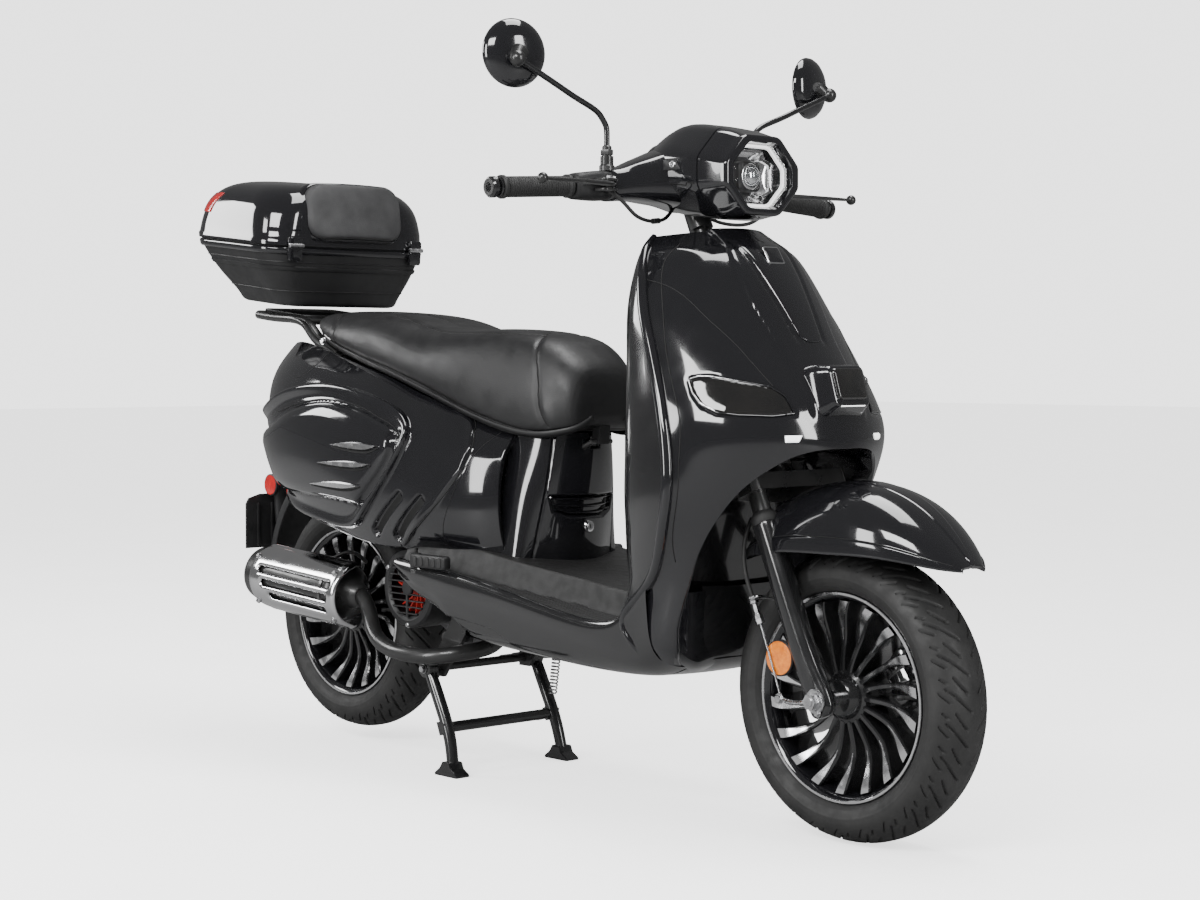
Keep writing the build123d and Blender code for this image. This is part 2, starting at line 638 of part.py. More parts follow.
def shield_hull(inset):
    """The closed hull of the front body moved inwards by inset, as horizontal sections."""
    with BuildPart() as hull:
        for z, keel, shoulder, edge, half, rear in SHIELD:
            if inset and z == SHIELD[0][0]:
                z = z - inset
            if inset and z == SHIELD[-1][0]:
                z = z - inset
            w = half - inset
            with BuildSketch(Plane.XY.offset(z)):
                with BuildLine():
                    front = Spline((edge - inset, -w), (shoulder - inset, -0.55 * w), (keel - inset, 0),
                                   (shoulder - inset, 0.55 * w), (edge - inset, w))
                    Polyline(front @ 1, (rear + inset, 0.72 * w), (rear + inset, -0.72 * w), front @ 0)
                make_face()
        loft()
    return hull.part


with BuildPart() as wheel_arch:                       # room for the steered wheel, hood and fork bridge
    add(slab([(408, 200), (410, 540), (424, 600), (800, 600), (800, 200)], -176, 352))
    add(slab([(408, 520), (424, 620), (470, 642), (800, 642), (800, 520)], -134, 268))
with BuildPart() as arch_lining:
    add(slab([(404, 200), (406, 540), (420, 604), (900, 604), (900, 200)], -180, 360))
    add(slab([(404, 520), (420, 622), (468, 646), (900, 646), (900, 520)], -138, 276))
with BuildPart() as front_half:
    add(slab([(330, 360), (372, 560), (352, 990), (900, 990), (900, 360)], -300, 600))
with BuildPart() as rear_half:
    add(slab([(330 - GAP, 360), (372 - GAP, 560), (352 - GAP, 990), (200, 990), (200, 360)], -300, 600))
with BuildPart() as stem_room:
    with BuildSketch(STEM.offset(300)):
        Circle(HEAD_R + 4)
    extrude(amount=STEM_TOP - 300)
    with Locations((322, 62, 800)):
        Cylinder(13.5, 90, rotation=(0, 90, 0))
    add(tube([(442, 0, 690), (384, 0, 560), (340, 0, 420), (330, 0, 318)], 23, 60))

outer = shield_hull(0)
thin = outer - shield_hull(SKIN)
lining = (arch_lining.part & outer) - wheel_arch.part
shield = (thin & front_half.part) - arch_lining.part + lining - stem_room.part
save(largest(shield), "leg_shield")
inner_panel = (thin & rear_half.part) - arch_lining.part - stem_room.part
save(largest(inner_panel), "inner_leg_panel")

with BuildPart() as front_lenses:                     # turn signals and nose lamp, proud of the shield
    for side in (-1, 1):
        with BuildSketch(Plane.XY.offset(690)):
            with Locations((575, side * 150)):
                Rectangle(90, 96)
        extrude(amount=66)
    with Locations((625, 0, 705)):
        Box(120, 64, 44)
    for side in (-1, 1):
        with Locations((625, side * 24, 662)):
            Box(100, 30, 12)
lenses = (front_lenses.part & shield_hull(-5)) - shield_hull(-GAP) - wheel_arch.part
save(Compound(children=[Part() + s for s in lenses.solids()]), "front_lenses")

KEY_R = 11.0
with BuildPart() as ignition_key:                     # lock barrel with the key standing in it
    with Locations((KEY_SPOT[0] - 10, KEY_SPOT[1], KEY_SPOT[2])):
        Cylinder(KEY_R, 46, rotation=(0, 90, 0))
        Box(96, 3, 20)
save(ignition_key.part, "ignition_key")

# ---------------------------------------------------------------- floor and belly
with BuildPart() as floor_board:
    with BuildSketch(Plane(origin=(0, 0, 0), x_dir=(1, 0, 0), z_dir=(0, -1, 0))):
        with BuildLine():
            Polyline((296, 352), (0, 388), (-302, 421), (-302, 409), (0, 374), (296, 338), close=True)
        make_face()
    extrude(amount=192, both=True)
    with BuildSketch(Plane.XY.offset(300)):           # plan outline: flat deck and two side rails
        with BuildLine():
            Polyline((296, -150), (240, -192), (-302, -196), (-302, -176), (-28, -172), (-28, 172),
                     (-302, 176), (-302, 196), (240, 192), (296, 150), close=True)
        make_face()
    extrude(amount=160, mode=Mode.INTERSECT)
    with BuildSketch(Plane.XY.offset(300)):
        with Locations((332, 0), (-75, -55)):
            Circle(30)
    extrude(amount=120, mode=Mode.SUBTRACT)
    for side in (-1, 1):                              # the peg's pin and bracket pass through the rails
        with BuildSketch(Plane.XY.offset(300)):
            with Locations((-234, side * 200)):
                Rectangle(36, 40)
        extrude(amount=160, mode=Mode.SUBTRACT)
save(largest(floor_board.part), "floor_board")

# x, bottom z, top z, bottom half width, top half width
BELLY = ((386, 262, 372, 140, 178), (300, 262, 336, 152, 190), (150, 264, 352, 152, 192),
         (0, 270, 370, 152, 192), (-140, 284, 388, 150, 192))


def belly(inset, rise):
    """Loft of the belly's cross sections, moved inwards by inset and raised at the top by rise."""
    with BuildPart() as tray:
        for x, low, high, half_low, half_high in BELLY:
            if x == BELLY[0][0]:
                x = x - inset
            with BuildSketch(Plane(origin=(x, 0, 0), x_dir=(0, 1, 0), z_dir=(1, 0, 0))):
                with BuildLine():
                    Polyline((-half_low + inset, low + inset), (half_low - inset, low + inset),
                             (half_high - inset, high + rise), (-half_high + inset, high + rise), close=True)
                make_face()
        loft(ruled=True)
    return tray.part


with BuildPart() as belly_inner:
    add(belly(SKIN, 60))
    with Locations((-140, 0, 380)):
        Box(40, 340, 180)
with BuildPart() as cowl_room:
    with BuildSketch(Plane(origin=(0, 0, 0), x_dir=(1, 0, 0), z_dir=(0, -1, 0))):
        with BuildLine():
            Polyline((290, 352), (0, 388.5), (-302, 421), (-302, 408.5), (0, 373.5), (296, 337.5), (296, 352),
                     close=True)
        make_face()
    extrude(amount=220, both=True)
    with Locations((-160, 150, 270)):
        Box(80, 90, 80)
save(largest(belly(0, 0) - belly_inner.part - cowl_room.part), "lower_cowl")

# ---------------------------------------------------------------- column under the seat nose
# z, front x, half width at the rear, rear x
COLUMN = ((398, 2, 128, -70), (440, 10, 122, -70), (530, 26, 112, -66), (600, 34, 100, -60),
          (618, 34, 96, -58))


def column(inset):
    """Loft of the column's horizontal sections, moved inwards by inset."""
    with BuildPart() as post:
        for z, front, half, rear in COLUMN:
            with BuildSketch(Plane.XY.offset(z)):
                with BuildLine():
                    nose = Spline((rear, -half + inset), (front - 22 - inset, -0.55 * half + inset / 2),
                                  (front - inset, 0), (front - 22 - inset, 0.55 * half - inset / 2),
                                  (rear, half - inset))
                    Line(nose @ 1, nose @ 0)
                make_face()
        loft(ruled=True)
    return post.part


with BuildPart() as hinge_slot:
    with Locations((20, -22, 612)):
        Box(140, 16, 50)
    with Locations((-76, 0, 508)):
        Box(14, 300, 260)
save(largest(column(0) - column(SKIN) - hinge_slot.part), "seat_front_panel")

# ---------------------------------------------------------------- rear body
# x, then (half width, z) from the top edge down to the lower edge
REAR_BODY = (
    (-76, (100, 640), (134, 600), (146, 520), (140, 460), (128, 436)),
    (-110, (108, 650), (148, 606), (164, 520), (158, 452), (146, 424)),
    (-220, (128, 682), (174, 632), (190, 545), (184, 462), (160, 424)),
    (-400, (138, 738), (192, 680), (208, 590), (200, 490), (176, 428)),
    (-560, (136, 778), (186, 722), (206, 628), (194, 524), (166, 452)),
    (-700, (112, 800), (164, 742), (182, 650), (168, 548), (136, 484)),
    (-800, (70, 800), (124, 742), (140, 660), (120, 572), (86, 520)),
    (-850, (34, 792), (78, 738), (92, 670), (76, 594), (44, 546)))
BODY_SKIN = 3.5
for name, side in (("body_shell_right", -1), ("body_shell_left", 1)):
    with BuildPart() as body_shell:
        for x, *points in REAR_BODY:
            outside = [(side * y, z) for y, z in points]
            inside = [(side * (y - BODY_SKIN), z) for y, z in points]
            with BuildSketch(Plane(origin=(x, 0, 0), x_dir=(0, 1, 0), z_dir=(1, 0, 0))):
                with BuildLine():
                    skin_out = Spline(*outside)
                    skin_in = Spline(*inside)
                    Line(skin_out @ 0, skin_in @ 0)
                    Line(skin_out @ 1, skin_in @ 1)
                make_face()
        loft()
    save(body_shell.part, name)

with BuildPart() as side_scoops:                      # raised intake trims on both flanks
    for side in (-1, 1):
        for x, y, height in ((-240, 178, 60), (-420, 205, 90), (-600, 204, 70)):
            with BuildSketch(Plane(origin=(x, side * y, 590 + (-240 - x) * 0.2), x_dir=(0, 1, 0),
                                   z_dir=(1, 0, 0))):
                Rectangle(20, height)
        loft()
with BuildPart() as scoop_void:                       # the flanks themselves, solid from side to side
    for x, *points in REAR_BODY:
        with BuildSketch(Plane(origin=(x, 0, 0), x_dir=(0, 1, 0), z_dir=(1, 0, 0))):
            with BuildLine():
                skin_right = Spline(*[(-y - GAP, z) for y, z in points])
                skin_left = Spline(*[(y + GAP, z) for y, z in points])
                Line(skin_right @ 0, skin_left @ 0)
                Line(skin_right @ 1, skin_left @ 1)
            make_face()
    loft()
scoops = side_scoops.part - scoop_void.part
save(Compound(children=[Part() + s for s in scoops.solids()]), "side_scoops")

with BuildPart() as storage_bucket:
    with BuildSketch(Plane(origin=(0, 0, 0), x_dir=(1, 0, 0), z_dir=(0, -1, 0))):
        with BuildLine():
            Polyline((-88, 636), (-100, 560), (-300, 556), (-470, 590), (-480, 742), close=True)
        make_face()
    extrude(amount=100, both=True)
    fillet(storage_bucket.edges().filter_by(Axis.Y), 14)
    offset(amount=-3, openings=storage_bucket.faces().sort_by(Axis.Z)[-1])
save(storage_bucket.part, "storage_bucket")

with BuildPart() as fuel_tank:
    with BuildSketch(Plane(origin=(0, 0, 0), x_dir=(1, 0, 0), z_dir=(0, -1, 0))):
        with BuildLine():
            Polyline((-540, 665), (-640, 622), (-770, 628), (-778, 740), (-540, 740), close=True)
        make_face()
    extrude(amount=68, both=True)
    fillet(fuel_tank.edges().filter_by(Axis.Y), 16)
    with BuildSketch(Plane.XY.offset(740)):
        with Locations((-650, 0)):
            Circle(34)
    extrude(amount=34)
save(fuel_tank.part, "fuel_tank")

with BuildPart() as tail_light:
    with BuildSketch(Plane(origin=(-868, 0, 700), x_dir=(0, 1, 0), z_dir=(-1, 0, 0.12))):
        RectangleRounded(128, 92, 30)
    extrude(amount=22)
    with BuildSketch(Plane(origin=(-852, 0, 700), x_dir=(0, 1, 0), z_dir=(-1, 0, 0.12))):
        RectangleRounded(56, 60, 20)
    extrude(amount=18)
save(tail_light.part, "tail_light")

PLATE_HALF_PITCH, PLATE_HOLE_R = 73.0, 3.5
with BuildPart() as rear_mudguard:                    # inner guard, tail arm and number plate bracket
    with BuildSketch(across(REAR_AXLE[0], -64, REAR_AXLE[2] + 56)):
        with BuildLine():
            outer_arc = CenterArc((0, 0), 264, 200, 118)
            inner_arc = CenterArc((0, 0), 260, 200, 118)
            Line(outer_arc @ 0, inner_arc @ 0)
            Line(outer_arc @ 1, inner_arc @ 1)
        make_face()
    extrude(amount=128)
    add(slab([(-912, 398), (-940, 520), (-862, 556), (-854, 532), (-918, 508), (-904, 398)], -50, 100))
    with BuildSketch(Plane(origin=(-962, 0, 0), x_dir=(0, 1, 0), z_dir=(1, 0, 0))):
        with BuildLine():
            Polyline((-95, 374), (95, 374), (95, 478), (60, 492), (-60, 492), (-95, 478), close=True)
        make_face()
    extrude(amount=5)
    with Locations((-944, 0, 470)):
        Box(36, 60, 30)
    with BuildSketch(Plane(origin=(-970, 0, 455), x_dir=(0, 1, 0), z_dir=(1, 0, 0))):
        with Locations((-PLATE_HALF_PITCH, 0), (PLATE_HALF_PITCH, 0)):
            Circle(PLATE_HOLE_R)
    extrude(amount=20, mode=Mode.SUBTRACT)
save(largest(rear_mudguard.part), "rear_mudguard")

# ---------------------------------------------------------------- carrier and top box
with BuildPart() as rear_carrier:
    for side in (-1, 1):
        add(tube([(-600, side * 100, 770), (-690, side * 104, 812), (-730, side * 104, 848),
                  (-905, side * 96, 866)], 9, 14))
    add(tube([(-905, -96, 866), (-905, 96, 866)], 9))
    add(tube([(-735, -104, 849.5), (-735, 104, 849.5)], 7))
    add(tube([(-600, -100, 770), (-600, 100, 770)], 9))
save(rear_carrier.part, "rear_carrier")

TILT_SIN, TILT_COS = sin(radians(BOX_TILT)), cos(radians(BOX_TILT))
BOX = Plane(origin=(LID_HINGE[0] - 12, 0, LID_HINGE[1]), x_dir=(-TILT_COS, 0, TILT_SIN),
            z_dir=(TILT_SIN, 0, TILT_COS))
BOX_LONG, BOX_WIDE, BOX_DEEP = 310.0, 408.0, 124.0


def box_section(height, front, long, wide, corner):
    """A rounded rectangle at a height above the rim, starting front mm behind the rim's front edge."""
    centre = BOX.from_local_coords(Vector(front + long / 2, 0, height))
    with BuildSketch(Plane(origin=centre, x_dir=BOX.x_dir, z_dir=BOX.z_dir)) as section:
        RectangleRounded(long, wide, corner)
    return section.sketch


def box_tub(inset):
    """The tapered lower half of the top box."""
    with BuildPart() as tub:
        add(box_section(-BOX_DEEP + inset, 14 + inset, 196 - 2 * inset, 290 - 2 * inset, 40))
        add(box_section(-BOX_DEEP * 0.45, 2 + inset, 272 - 2 * inset, 372 - 2 * inset, 60))
        add(box_section(0, inset, BOX_LONG - 2 * inset, BOX_WIDE - 2 * inset, 70))
        loft()
    return tub.part


def box_dome(inset):
    """The domed upper half of the top box."""
    with BuildPart() as dome:
        add(box_section(1.5, inset, BOX_LONG - 2 * inset, BOX_WIDE - 2 * inset, 70))
        add(box_section(60, 3 + inset, BOX_LONG - 8 - 2 * inset, BOX_WIDE - 12 - 2 * inset, 72))
        add(box_section(118 - inset, 18 + inset, BOX_LONG - 62 - 2 * inset, BOX_WIDE - 90 - 2 * inset, 76))
        loft()
    return dome.part


HINGE_Y = 149.0
with BuildPart() as base_lugs:                        # two outer cheeks and a pin per hinge
    for side in (-1, 1):
        for cheek in (-17, 11):
            add(slab([(-706, 972), (-694, 972), (-681, 995), (-681, 1005), (-692, 1006), (-706, 985)],
                       side * HINGE_Y + cheek, 6))
        with BuildSketch(across(LID_HINGE[0], side * HINGE_Y - 16, LID_HINGE[1])):
            Circle(3)
        extrude(amount=32)
save(largest(box_tub(0) - box_tub(SKIN) + base_lugs.part), "box_base")

with BuildPart() as lid_ears:
    for side in (-1, 1):
        add(slab([(-682, 993), (-682, 1008), (-704, 1022), (-706, 1010), (-696, 1004), (-694, 993)],
                   side * HINGE_Y - 10.5, 21))
        with BuildSketch(across(LID_HINGE[0], side * HINGE_Y - 16, LID_HINGE[1])):
            Circle(3 + RUN)
        extrude(amount=32, mode=Mode.SUBTRACT)
save(largest(box_dome(0) - box_dome(SKIN) + lid_ears.part), "box_lid")

with BuildPart() as box_pad:
    with BuildSketch(Plane(origin=(BOX.origin.X + 1 + GAP, 0, 1070), x_dir=(0, 1, 0), z_dir=(1, 0, 0.12))):
        RectangleRounded(230, 112, 34)
    extrude(amount=24)
    fillet(box_pad.edges().group_by(Axis.X)[-1], 9)
save(largest(box_pad.part - box_dome(-GAP)), "box_pad")

with BuildPart() as box_reflectors:
    for side in (-1, 1):
        corner = BOX.from_local_coords(Vector(262, -side * 168, 70))
        with BuildSketch(Plane(origin=corner, x_dir=(side, 1, 0), z_dir=(-1, side, 0))):
            RectangleRounded(110, 40, 12)
        extrude(amount=40, both=True)
reflectors = (box_reflectors.part & box_dome(-4)) - box_dome(-GAP)
save(Compound(children=[Part() + s for s in reflectors.solids()]), "box_reflectors")

# ---------------------------------------------------------------- seat
# x, lower edge z, crown z, half width at the lower edge, half width at the crown
SEAT = ((72, 668, 716, 52, 40), (40, 644, 762, 96, 70), (-34, 640, 812, 118, 96), (-160, 676, 824, 138, 116),
        (-300, 722, 832, 150, 124), (-386, 748, 850, 150, 126), (-500, 778, 862, 146, 122),
        (-600, 806, 866, 132, 106), (-692, 838, 868, 92, 66))
SEAT_SPLIT = 12.0                                     # depth of the pan below the cushion


def seat_loft(low_shift):
    """Loft of the seat's cross sections, with their lower edges raised."""
    with BuildPart() as pad:
        for x, low, high, half_low, half_high in SEAT:
            bottom, top = low + low_shift, high
            with BuildSketch(Plane(origin=(x, 0, 0), x_dir=(0, 1, 0), z_dir=(1, 0, 0))):
                with BuildLine():
                    crown = Spline((-half_low, bottom), (-half_high, bottom + 0.72 * (top - bottom)),
                                   (0, top),
                                   (half_high, bottom + 0.72 * (top - bottom)), (half_low, bottom))
                    Line(crown @ 1, crown @ 0)
                make_face()
        loft()
    return pad.part


cushion = seat_loft(SEAT_SPLIT + 1)
save(cushion, "seat_cushion")

with BuildPart() as seat_pan:
    for x, low, high, half_low, half_high in SEAT:
        with BuildSketch(Plane(origin=(x, 0, low + SEAT_SPLIT / 2), x_dir=(0, 1, 0), z_dir=(1, 0, 0))):
            Rectangle(2 * half_low - 10, SEAT_SPLIT)
    loft(ruled=True)
    with BuildSketch(across(SEAT_HINGE[0], -12, SEAT_HINGE[1])):
        with BuildLine():
            Polyline((-9, 4), (9, 4), (14, -42), (-9, -36), close=True)
        make_face()
    extrude(amount=24)
    with BuildSketch(across(SEAT_HINGE[0], -30, SEAT_HINGE[1])):
        Circle(4 + RUN)
    extrude(amount=60, mode=Mode.SUBTRACT)
save(largest(seat_pan.part - cushion), "seat_pan")

# ---------------------------------------------------------------- engine
CASE_Y, CASE_W = 72.0, 62.0
FAN_R, FAN_FACE_Y = 50.0, -140.0
CRANK_SHAFT_R = 8.0
with BuildPart() as crankcase:                        # transmission case on the left, crank chamber ahead
    with BuildSketch(across(0, CASE_Y, 0)):
        with BuildLine():
            Polyline((-262, -330), (-300, -250), (-470, -238), (-640, -205), (-716, -225), (-726, -290),
                     (-680, -335), (-470, -420), (-330, -420), close=True)
        make_face()
    extrude(amount=CASE_W)
    fillet(crankcase.edges().filter_by(Axis.Y), 22)
    with BuildSketch(across(CRANK[0], -60, CRANK[1])):
        Circle(76)
    extrude(amount=134)
    with BuildSketch(across(ENGINE_PIVOT[0], -62, ENGINE_PIVOT[1])):
        Circle(24)
    extrude(amount=124)
    add(slab([(-256, 262), (-300, 236), (-390, 280), (-330, 330)], -50, 100))
    with BuildSketch(across(-400, 133, 330)):         # kick starter shaft
        Circle(7)
    extrude(amount=27)
    for y in (86, 118):                               # ears and stud for the shock absorber
        add(slab([(-616, 340), (-660, 330), (-648, 402), (-624, 402)], y, 5))
    with BuildSketch(across(SHOCK_LOW[0], 88, SHOCK_LOW[1])):
        Circle(6)
    extrude(amount=32)
    for x in (-520, -600):                            # bracket ears for the silencer
        with BuildSketch(across(x, 66, 250)):
            Circle(8)
        extrude(amount=8)
    with BuildSketch(across(ENGINE_PIVOT[0], -64, ENGINE_PIVOT[1])):
        Circle(12 + RUN)
    extrude(amount=130, mode=Mode.SUBTRACT)
    with BuildSketch(across(REAR_AXLE[0], CASE_Y - 1, REAR_AXLE[2])):
        Circle(SHAFT_R + RUN)
    extrude(amount=40, mode=Mode.SUBTRACT)
    with BuildSketch(across(CRANK[0], -61, CRANK[1])):
        Circle(CRANK_SHAFT_R + RUN)
    extrude(amount=40, mode=Mode.SUBTRACT)
save(crankcase.part, "crankcase")

BARREL_X = CRANK[0] + 76 + GAP
with BuildPart() as cylinder:                         # finned barrel, head and rocker cover, lying forwards
    with BuildSketch(Plane(origin=(BARREL_X - 10, 0, CRANK[1] + 14), x_dir=(0, 1, 0), z_dir=(1, 0, 0))):
        RectangleRounded(76, 76, 16)
    extrude(amount=128)
    for k in range(9):
        with BuildSketch(Plane(origin=(BARREL_X + 6 + 7 * k, 0, CRANK[1] + 14), x_dir=(0, 1, 0),
                               z_dir=(1, 0, 0))):
            RectangleRounded(112, 104, 12)
        extrude(amount=2.6)
    with BuildSketch(Plane(origin=(BARREL_X + 76, 0, CRANK[1] + 14), x_dir=(0, 1, 0), z_dir=(1, 0, 0))):
        RectangleRounded(104, 96, 14)
    extrude(amount=34)
    with BuildSketch(across(CRANK[0], -62, CRANK[1])):
        Circle(76 + GAP)
    extrude(amount=140, mode=Mode.SUBTRACT)
save(largest(cylinder.part), "cylinder")

with BuildPart() as fan_cover:                        # cooling scroll with a louvred intake
    with BuildSketch(across(CRANK[0], FAN_FACE_Y, CRANK[1])):
        Circle(76)
    extrude(amount=-FAN_FACE_Y - 60 - GAP)
    with BuildSketch(across(CRANK[0], FAN_FACE_Y + 5, CRANK[1])):
        Circle(72)
    extrude(amount=80, mode=Mode.SUBTRACT)
    with BuildSketch(across(CRANK[0], FAN_FACE_Y - 1, CRANK[1])):
        Circle(FAN_R + 5)
    extrude(amount=10, mode=Mode.SUBTRACT)
    with BuildSketch(across(CRANK[0], FAN_FACE_Y, CRANK[1])):
        with GridLocations(0, 12, 1, 8):
            Rectangle(2 * FAN_R + 14, 3)
        Circle(FAN_R + 6, mode=Mode.INTERSECT)
        with Locations((0, 0)):
            Rectangle(4, 2 * FAN_R + 12)
    extrude(amount=4)
save(largest(fan_cover.part), "fan_cover")

with BuildPart() as cooling_fan:                      # radial fan on the end of the crankshaft
    with BuildSketch(across(CRANK[0], FAN_FACE_Y + 64, CRANK[1])):
        Circle(FAN_R)
    extrude(amount=4)
    with BuildSketch(across(CRANK[0], FAN_FACE_Y + 16, CRANK[1])):
        Circle(16)
    extrude(amount=50)
    with BuildSketch(across(CRANK[0], FAN_FACE_Y + 16, CRANK[1])):
        with PolarLocations(33, 14):
            Rectangle(36, 2.4, rotation=24)
    extrude(amount=49)
    with BuildSketch(across(CRANK[0], FAN_FACE_Y + 60, CRANK[1])):
        Circle(CRANK_SHAFT_R)
    extrude(amount=56)
save(largest(cooling_fan.part), "cooling_fan")

MUFFLER_Y, MUFFLER_R = -146.0, 56.0
MUFFLER_FRONT, MUFFLER_REAR = (-480, 314), (-830, 338)
with BuildPart() as exhaust:                          # header pipe and silencer beside the wheel
    add(tube([(-190, -34, 298), (-190, -34, 240), (-200, -125, 228), (-290, -172, 220), (-400, -168, 240),
              (-470, MUFFLER_Y, 312), (-500, MUFFLER_Y, 315.5)], 13, 22))
    front = Vector(MUFFLER_FRONT[0], MUFFLER_Y, MUFFLER_FRONT[1])
    rear = Vector(MUFFLER_REAR[0], MUFFLER_Y, MUFFLER_REAR[1])
    silencer = Plane(origin=front, x_dir=(0, 1, 0), z_dir=rear - front)
    with BuildSketch(silencer):
        Circle(24)
    with BuildSketch(silencer.offset(46)):
        Circle(MUFFLER_R)
    loft()
    with BuildSketch(silencer.offset(46)):
        Circle(MUFFLER_R)
    extrude(amount=280)
    with BuildSketch(silencer.offset(326)):
        Circle(MUFFLER_R)
    with BuildSketch(silencer.offset(342)):
        Circle(MUFFLER_R - 14)
    loft()
    with BuildSketch(silencer.offset(340)):
        with Locations((20, 0)):
            Circle(13)
    extrude(amount=22)
    with BuildSketch(silencer.offset(344)):
        with Locations((20, 0)):
            Circle(10)
    extrude(amount=20, mode=Mode.SUBTRACT)
save(exhaust.part, "exhaust")

with BuildPart() as muffler_shield:                   # slotted heat shield standing off the silencer
    with BuildSketch(silencer.offset(8)):
        Circle(MUFFLER_R + 9)
        Circle(MUFFLER_R + 6.5, mode=Mode.SUBTRACT)
        with Locations((60, 0)):
            Rectangle(120, 2 * MUFFLER_R + 60, mode=Mode.SUBTRACT)
    extrude(amount=290)
    for row in (-26, 0, 26):
        with BuildSketch(Plane(origin=silencer.origin, x_dir=silencer.z_dir, z_dir=(0, -1, 0))):
            with Locations((150, row)):
                SlotOverall(190, 9)
        extrude(amount=120, mode=Mode.SUBTRACT)
save(muffler_shield.part, "muffler_shield")

KICK_PIVOT = (-400.0, 330.0)
with BuildPart() as kick_lever:                       # folded along the transmission case
    with BuildSketch(across(KICK_PIVOT[0], 140, KICK_PIVOT[1])):
        Circle(15)
    extrude(amount=18)
    add(slab([(-404, 320), (-404, 341), (-560, 366), (-572, 360), (-570, 350)], 146, 9))
    with BuildSketch(across(-566, 146, 357)):
        Circle(9)
    extrude(amount=54)
    with BuildSketch(across(KICK_PIVOT[0], 139, KICK_PIVOT[1])):
        Circle(7 + RUN)
    extrude(amount=30, mode=Mode.SUBTRACT)
save(kick_lever.part, "kick_lever")

# ---------------------------------------------------------------- rear shock absorber
top = Vector(SHOCK_TOP[0], SHOCK_Y, SHOCK_TOP[1])
low = Vector(SHOCK_LOW[0], SHOCK_Y, SHOCK_LOW[1])
SHOCK = Plane(origin=top, x_dir=(0, 1, 0), z_dir=low - top)
SHOCK_LEN = (low - top).length
EYE_R, EYE_W, ROD_R = 15.0, 20.0, 6.0
with BuildPart() as shock_body:                       # damper tube hanging from the frame
    with BuildSketch(SHOCK.offset(12)):
        Circle(17)
    extrude(amount=150)
    with BuildSketch(SHOCK.offset(30)):
        Circle(28)
    extrude(amount=6)
    with BuildSketch(across(SHOCK_TOP[0], SHOCK_Y - EYE_W / 2, SHOCK_TOP[1])):
        Circle(EYE_R)
    extrude(amount=EYE_W)
    with BuildSketch(SHOCK.offset(60)):
        Circle(ROD_R + RUN)
    extrude(amount=120, mode=Mode.SUBTRACT)
    with BuildSketch(across(SHOCK_TOP[0], SHOCK_Y - EYE_W, SHOCK_TOP[1])):
        Circle(8 + RUN)
    extrude(amount=2 * EYE_W, mode=Mode.SUBTRACT)
save(shock_body.part, "shock_body")

with BuildPart() as shock_rod:                        # rod with the lower spring seat and a bushed eye
    with BuildSketch(SHOCK.offset(132)):
        Circle(ROD_R)
    extrude(amount=SHOCK_LEN - 132)
    with BuildSketch(SHOCK.offset(SHOCK_LEN - 44)):
        Circle(28)
    extrude(amount=6)
    with BuildSketch(across(SHOCK_LOW[0], SHOCK_Y - EYE_W / 2 + 3, SHOCK_LOW[1])):
        Circle(EYE_R + 1)
    extrude(amount=EYE_W - 6)
    with BuildSketch(across(SHOCK_LOW[0], SHOCK_Y - EYE_W, SHOCK_LOW[1])):
        Circle(10)
    extrude(amount=2 * EYE_W, mode=Mode.SUBTRACT)
save(shock_rod.part, "shock_rod")

with BuildPart() as shock_spring:
    SPRING_LEN = SHOCK_LEN - 44 - 36 - 8
    with BuildLine() as coil:
        Helix(pitch=SPRING_LEN / 8.5, height=SPRING_LEN, radius=22, center=SHOCK.origin + SHOCK.z_dir * 40,
              direction=SHOCK.z_dir)
    with BuildSketch(Plane(coil.line @ 0, z_dir=coil.line % 0)):
        Circle(3.6)
    sweep(path=coil.line, is_frenet=True)
save(shock_spring.part, "shock_spring")

# ---------------------------------------------------------------- stands and pegs
STAND_Y = 130.0
with BuildPart() as centre_stand:
    px, pz = STAND_PIVOT
    for side in (-1, 1):
        with BuildSketch(across(px, side * STAND_Y - 9, pz)):
            Circle(16)
        extrude(amount=18)
        add(tube([(px, side * STAND_Y, pz), (px + 36, side * STAND_Y, 130),
                 (STAND_FOOT_X + 8, side * (STAND_Y + 4), 20)], 11, 50))
        add(slab([(STAND_FOOT_X - 26, 0), (STAND_FOOT_X + 34, 0),
                 (STAND_FOOT_X + 20, 24), (STAND_FOOT_X - 6, 24)], side * (STAND_Y + 5) - 15, 30))
    add(tube([(px + 52, -STAND_Y, 86), (px + 52, STAND_Y, 86)], 9))
    add(tube([(-244, STAND_Y + 4, 100), (-290, 150, 72), (-318, 154, 66)], 8, 16))
    with BuildSketch(across(px, -160, pz)):
        Circle(8 + RUN)
    extrude(amount=320, mode=Mode.SUBTRACT)
save(centre_stand.part, "centre_stand")

with BuildPart() as side_stand:                       # folded back along the left side
    add(tube([(-180, 179, 246), (-250, 182, 200), (-420, 188, 172)], 9, 40))
    with BuildSketch(across(-180, 172, 246)):
        Circle(14)
    extrude(amount=14)
    with Locations((-426, 186, 170)):
        Box(44, 30, 8)
    with BuildSketch(across(-180, 140, 246)):
        Circle(5 + RUN)
    extrude(amount=60, mode=Mode.SUBTRACT)
save(side_stand.part, "side_stand")

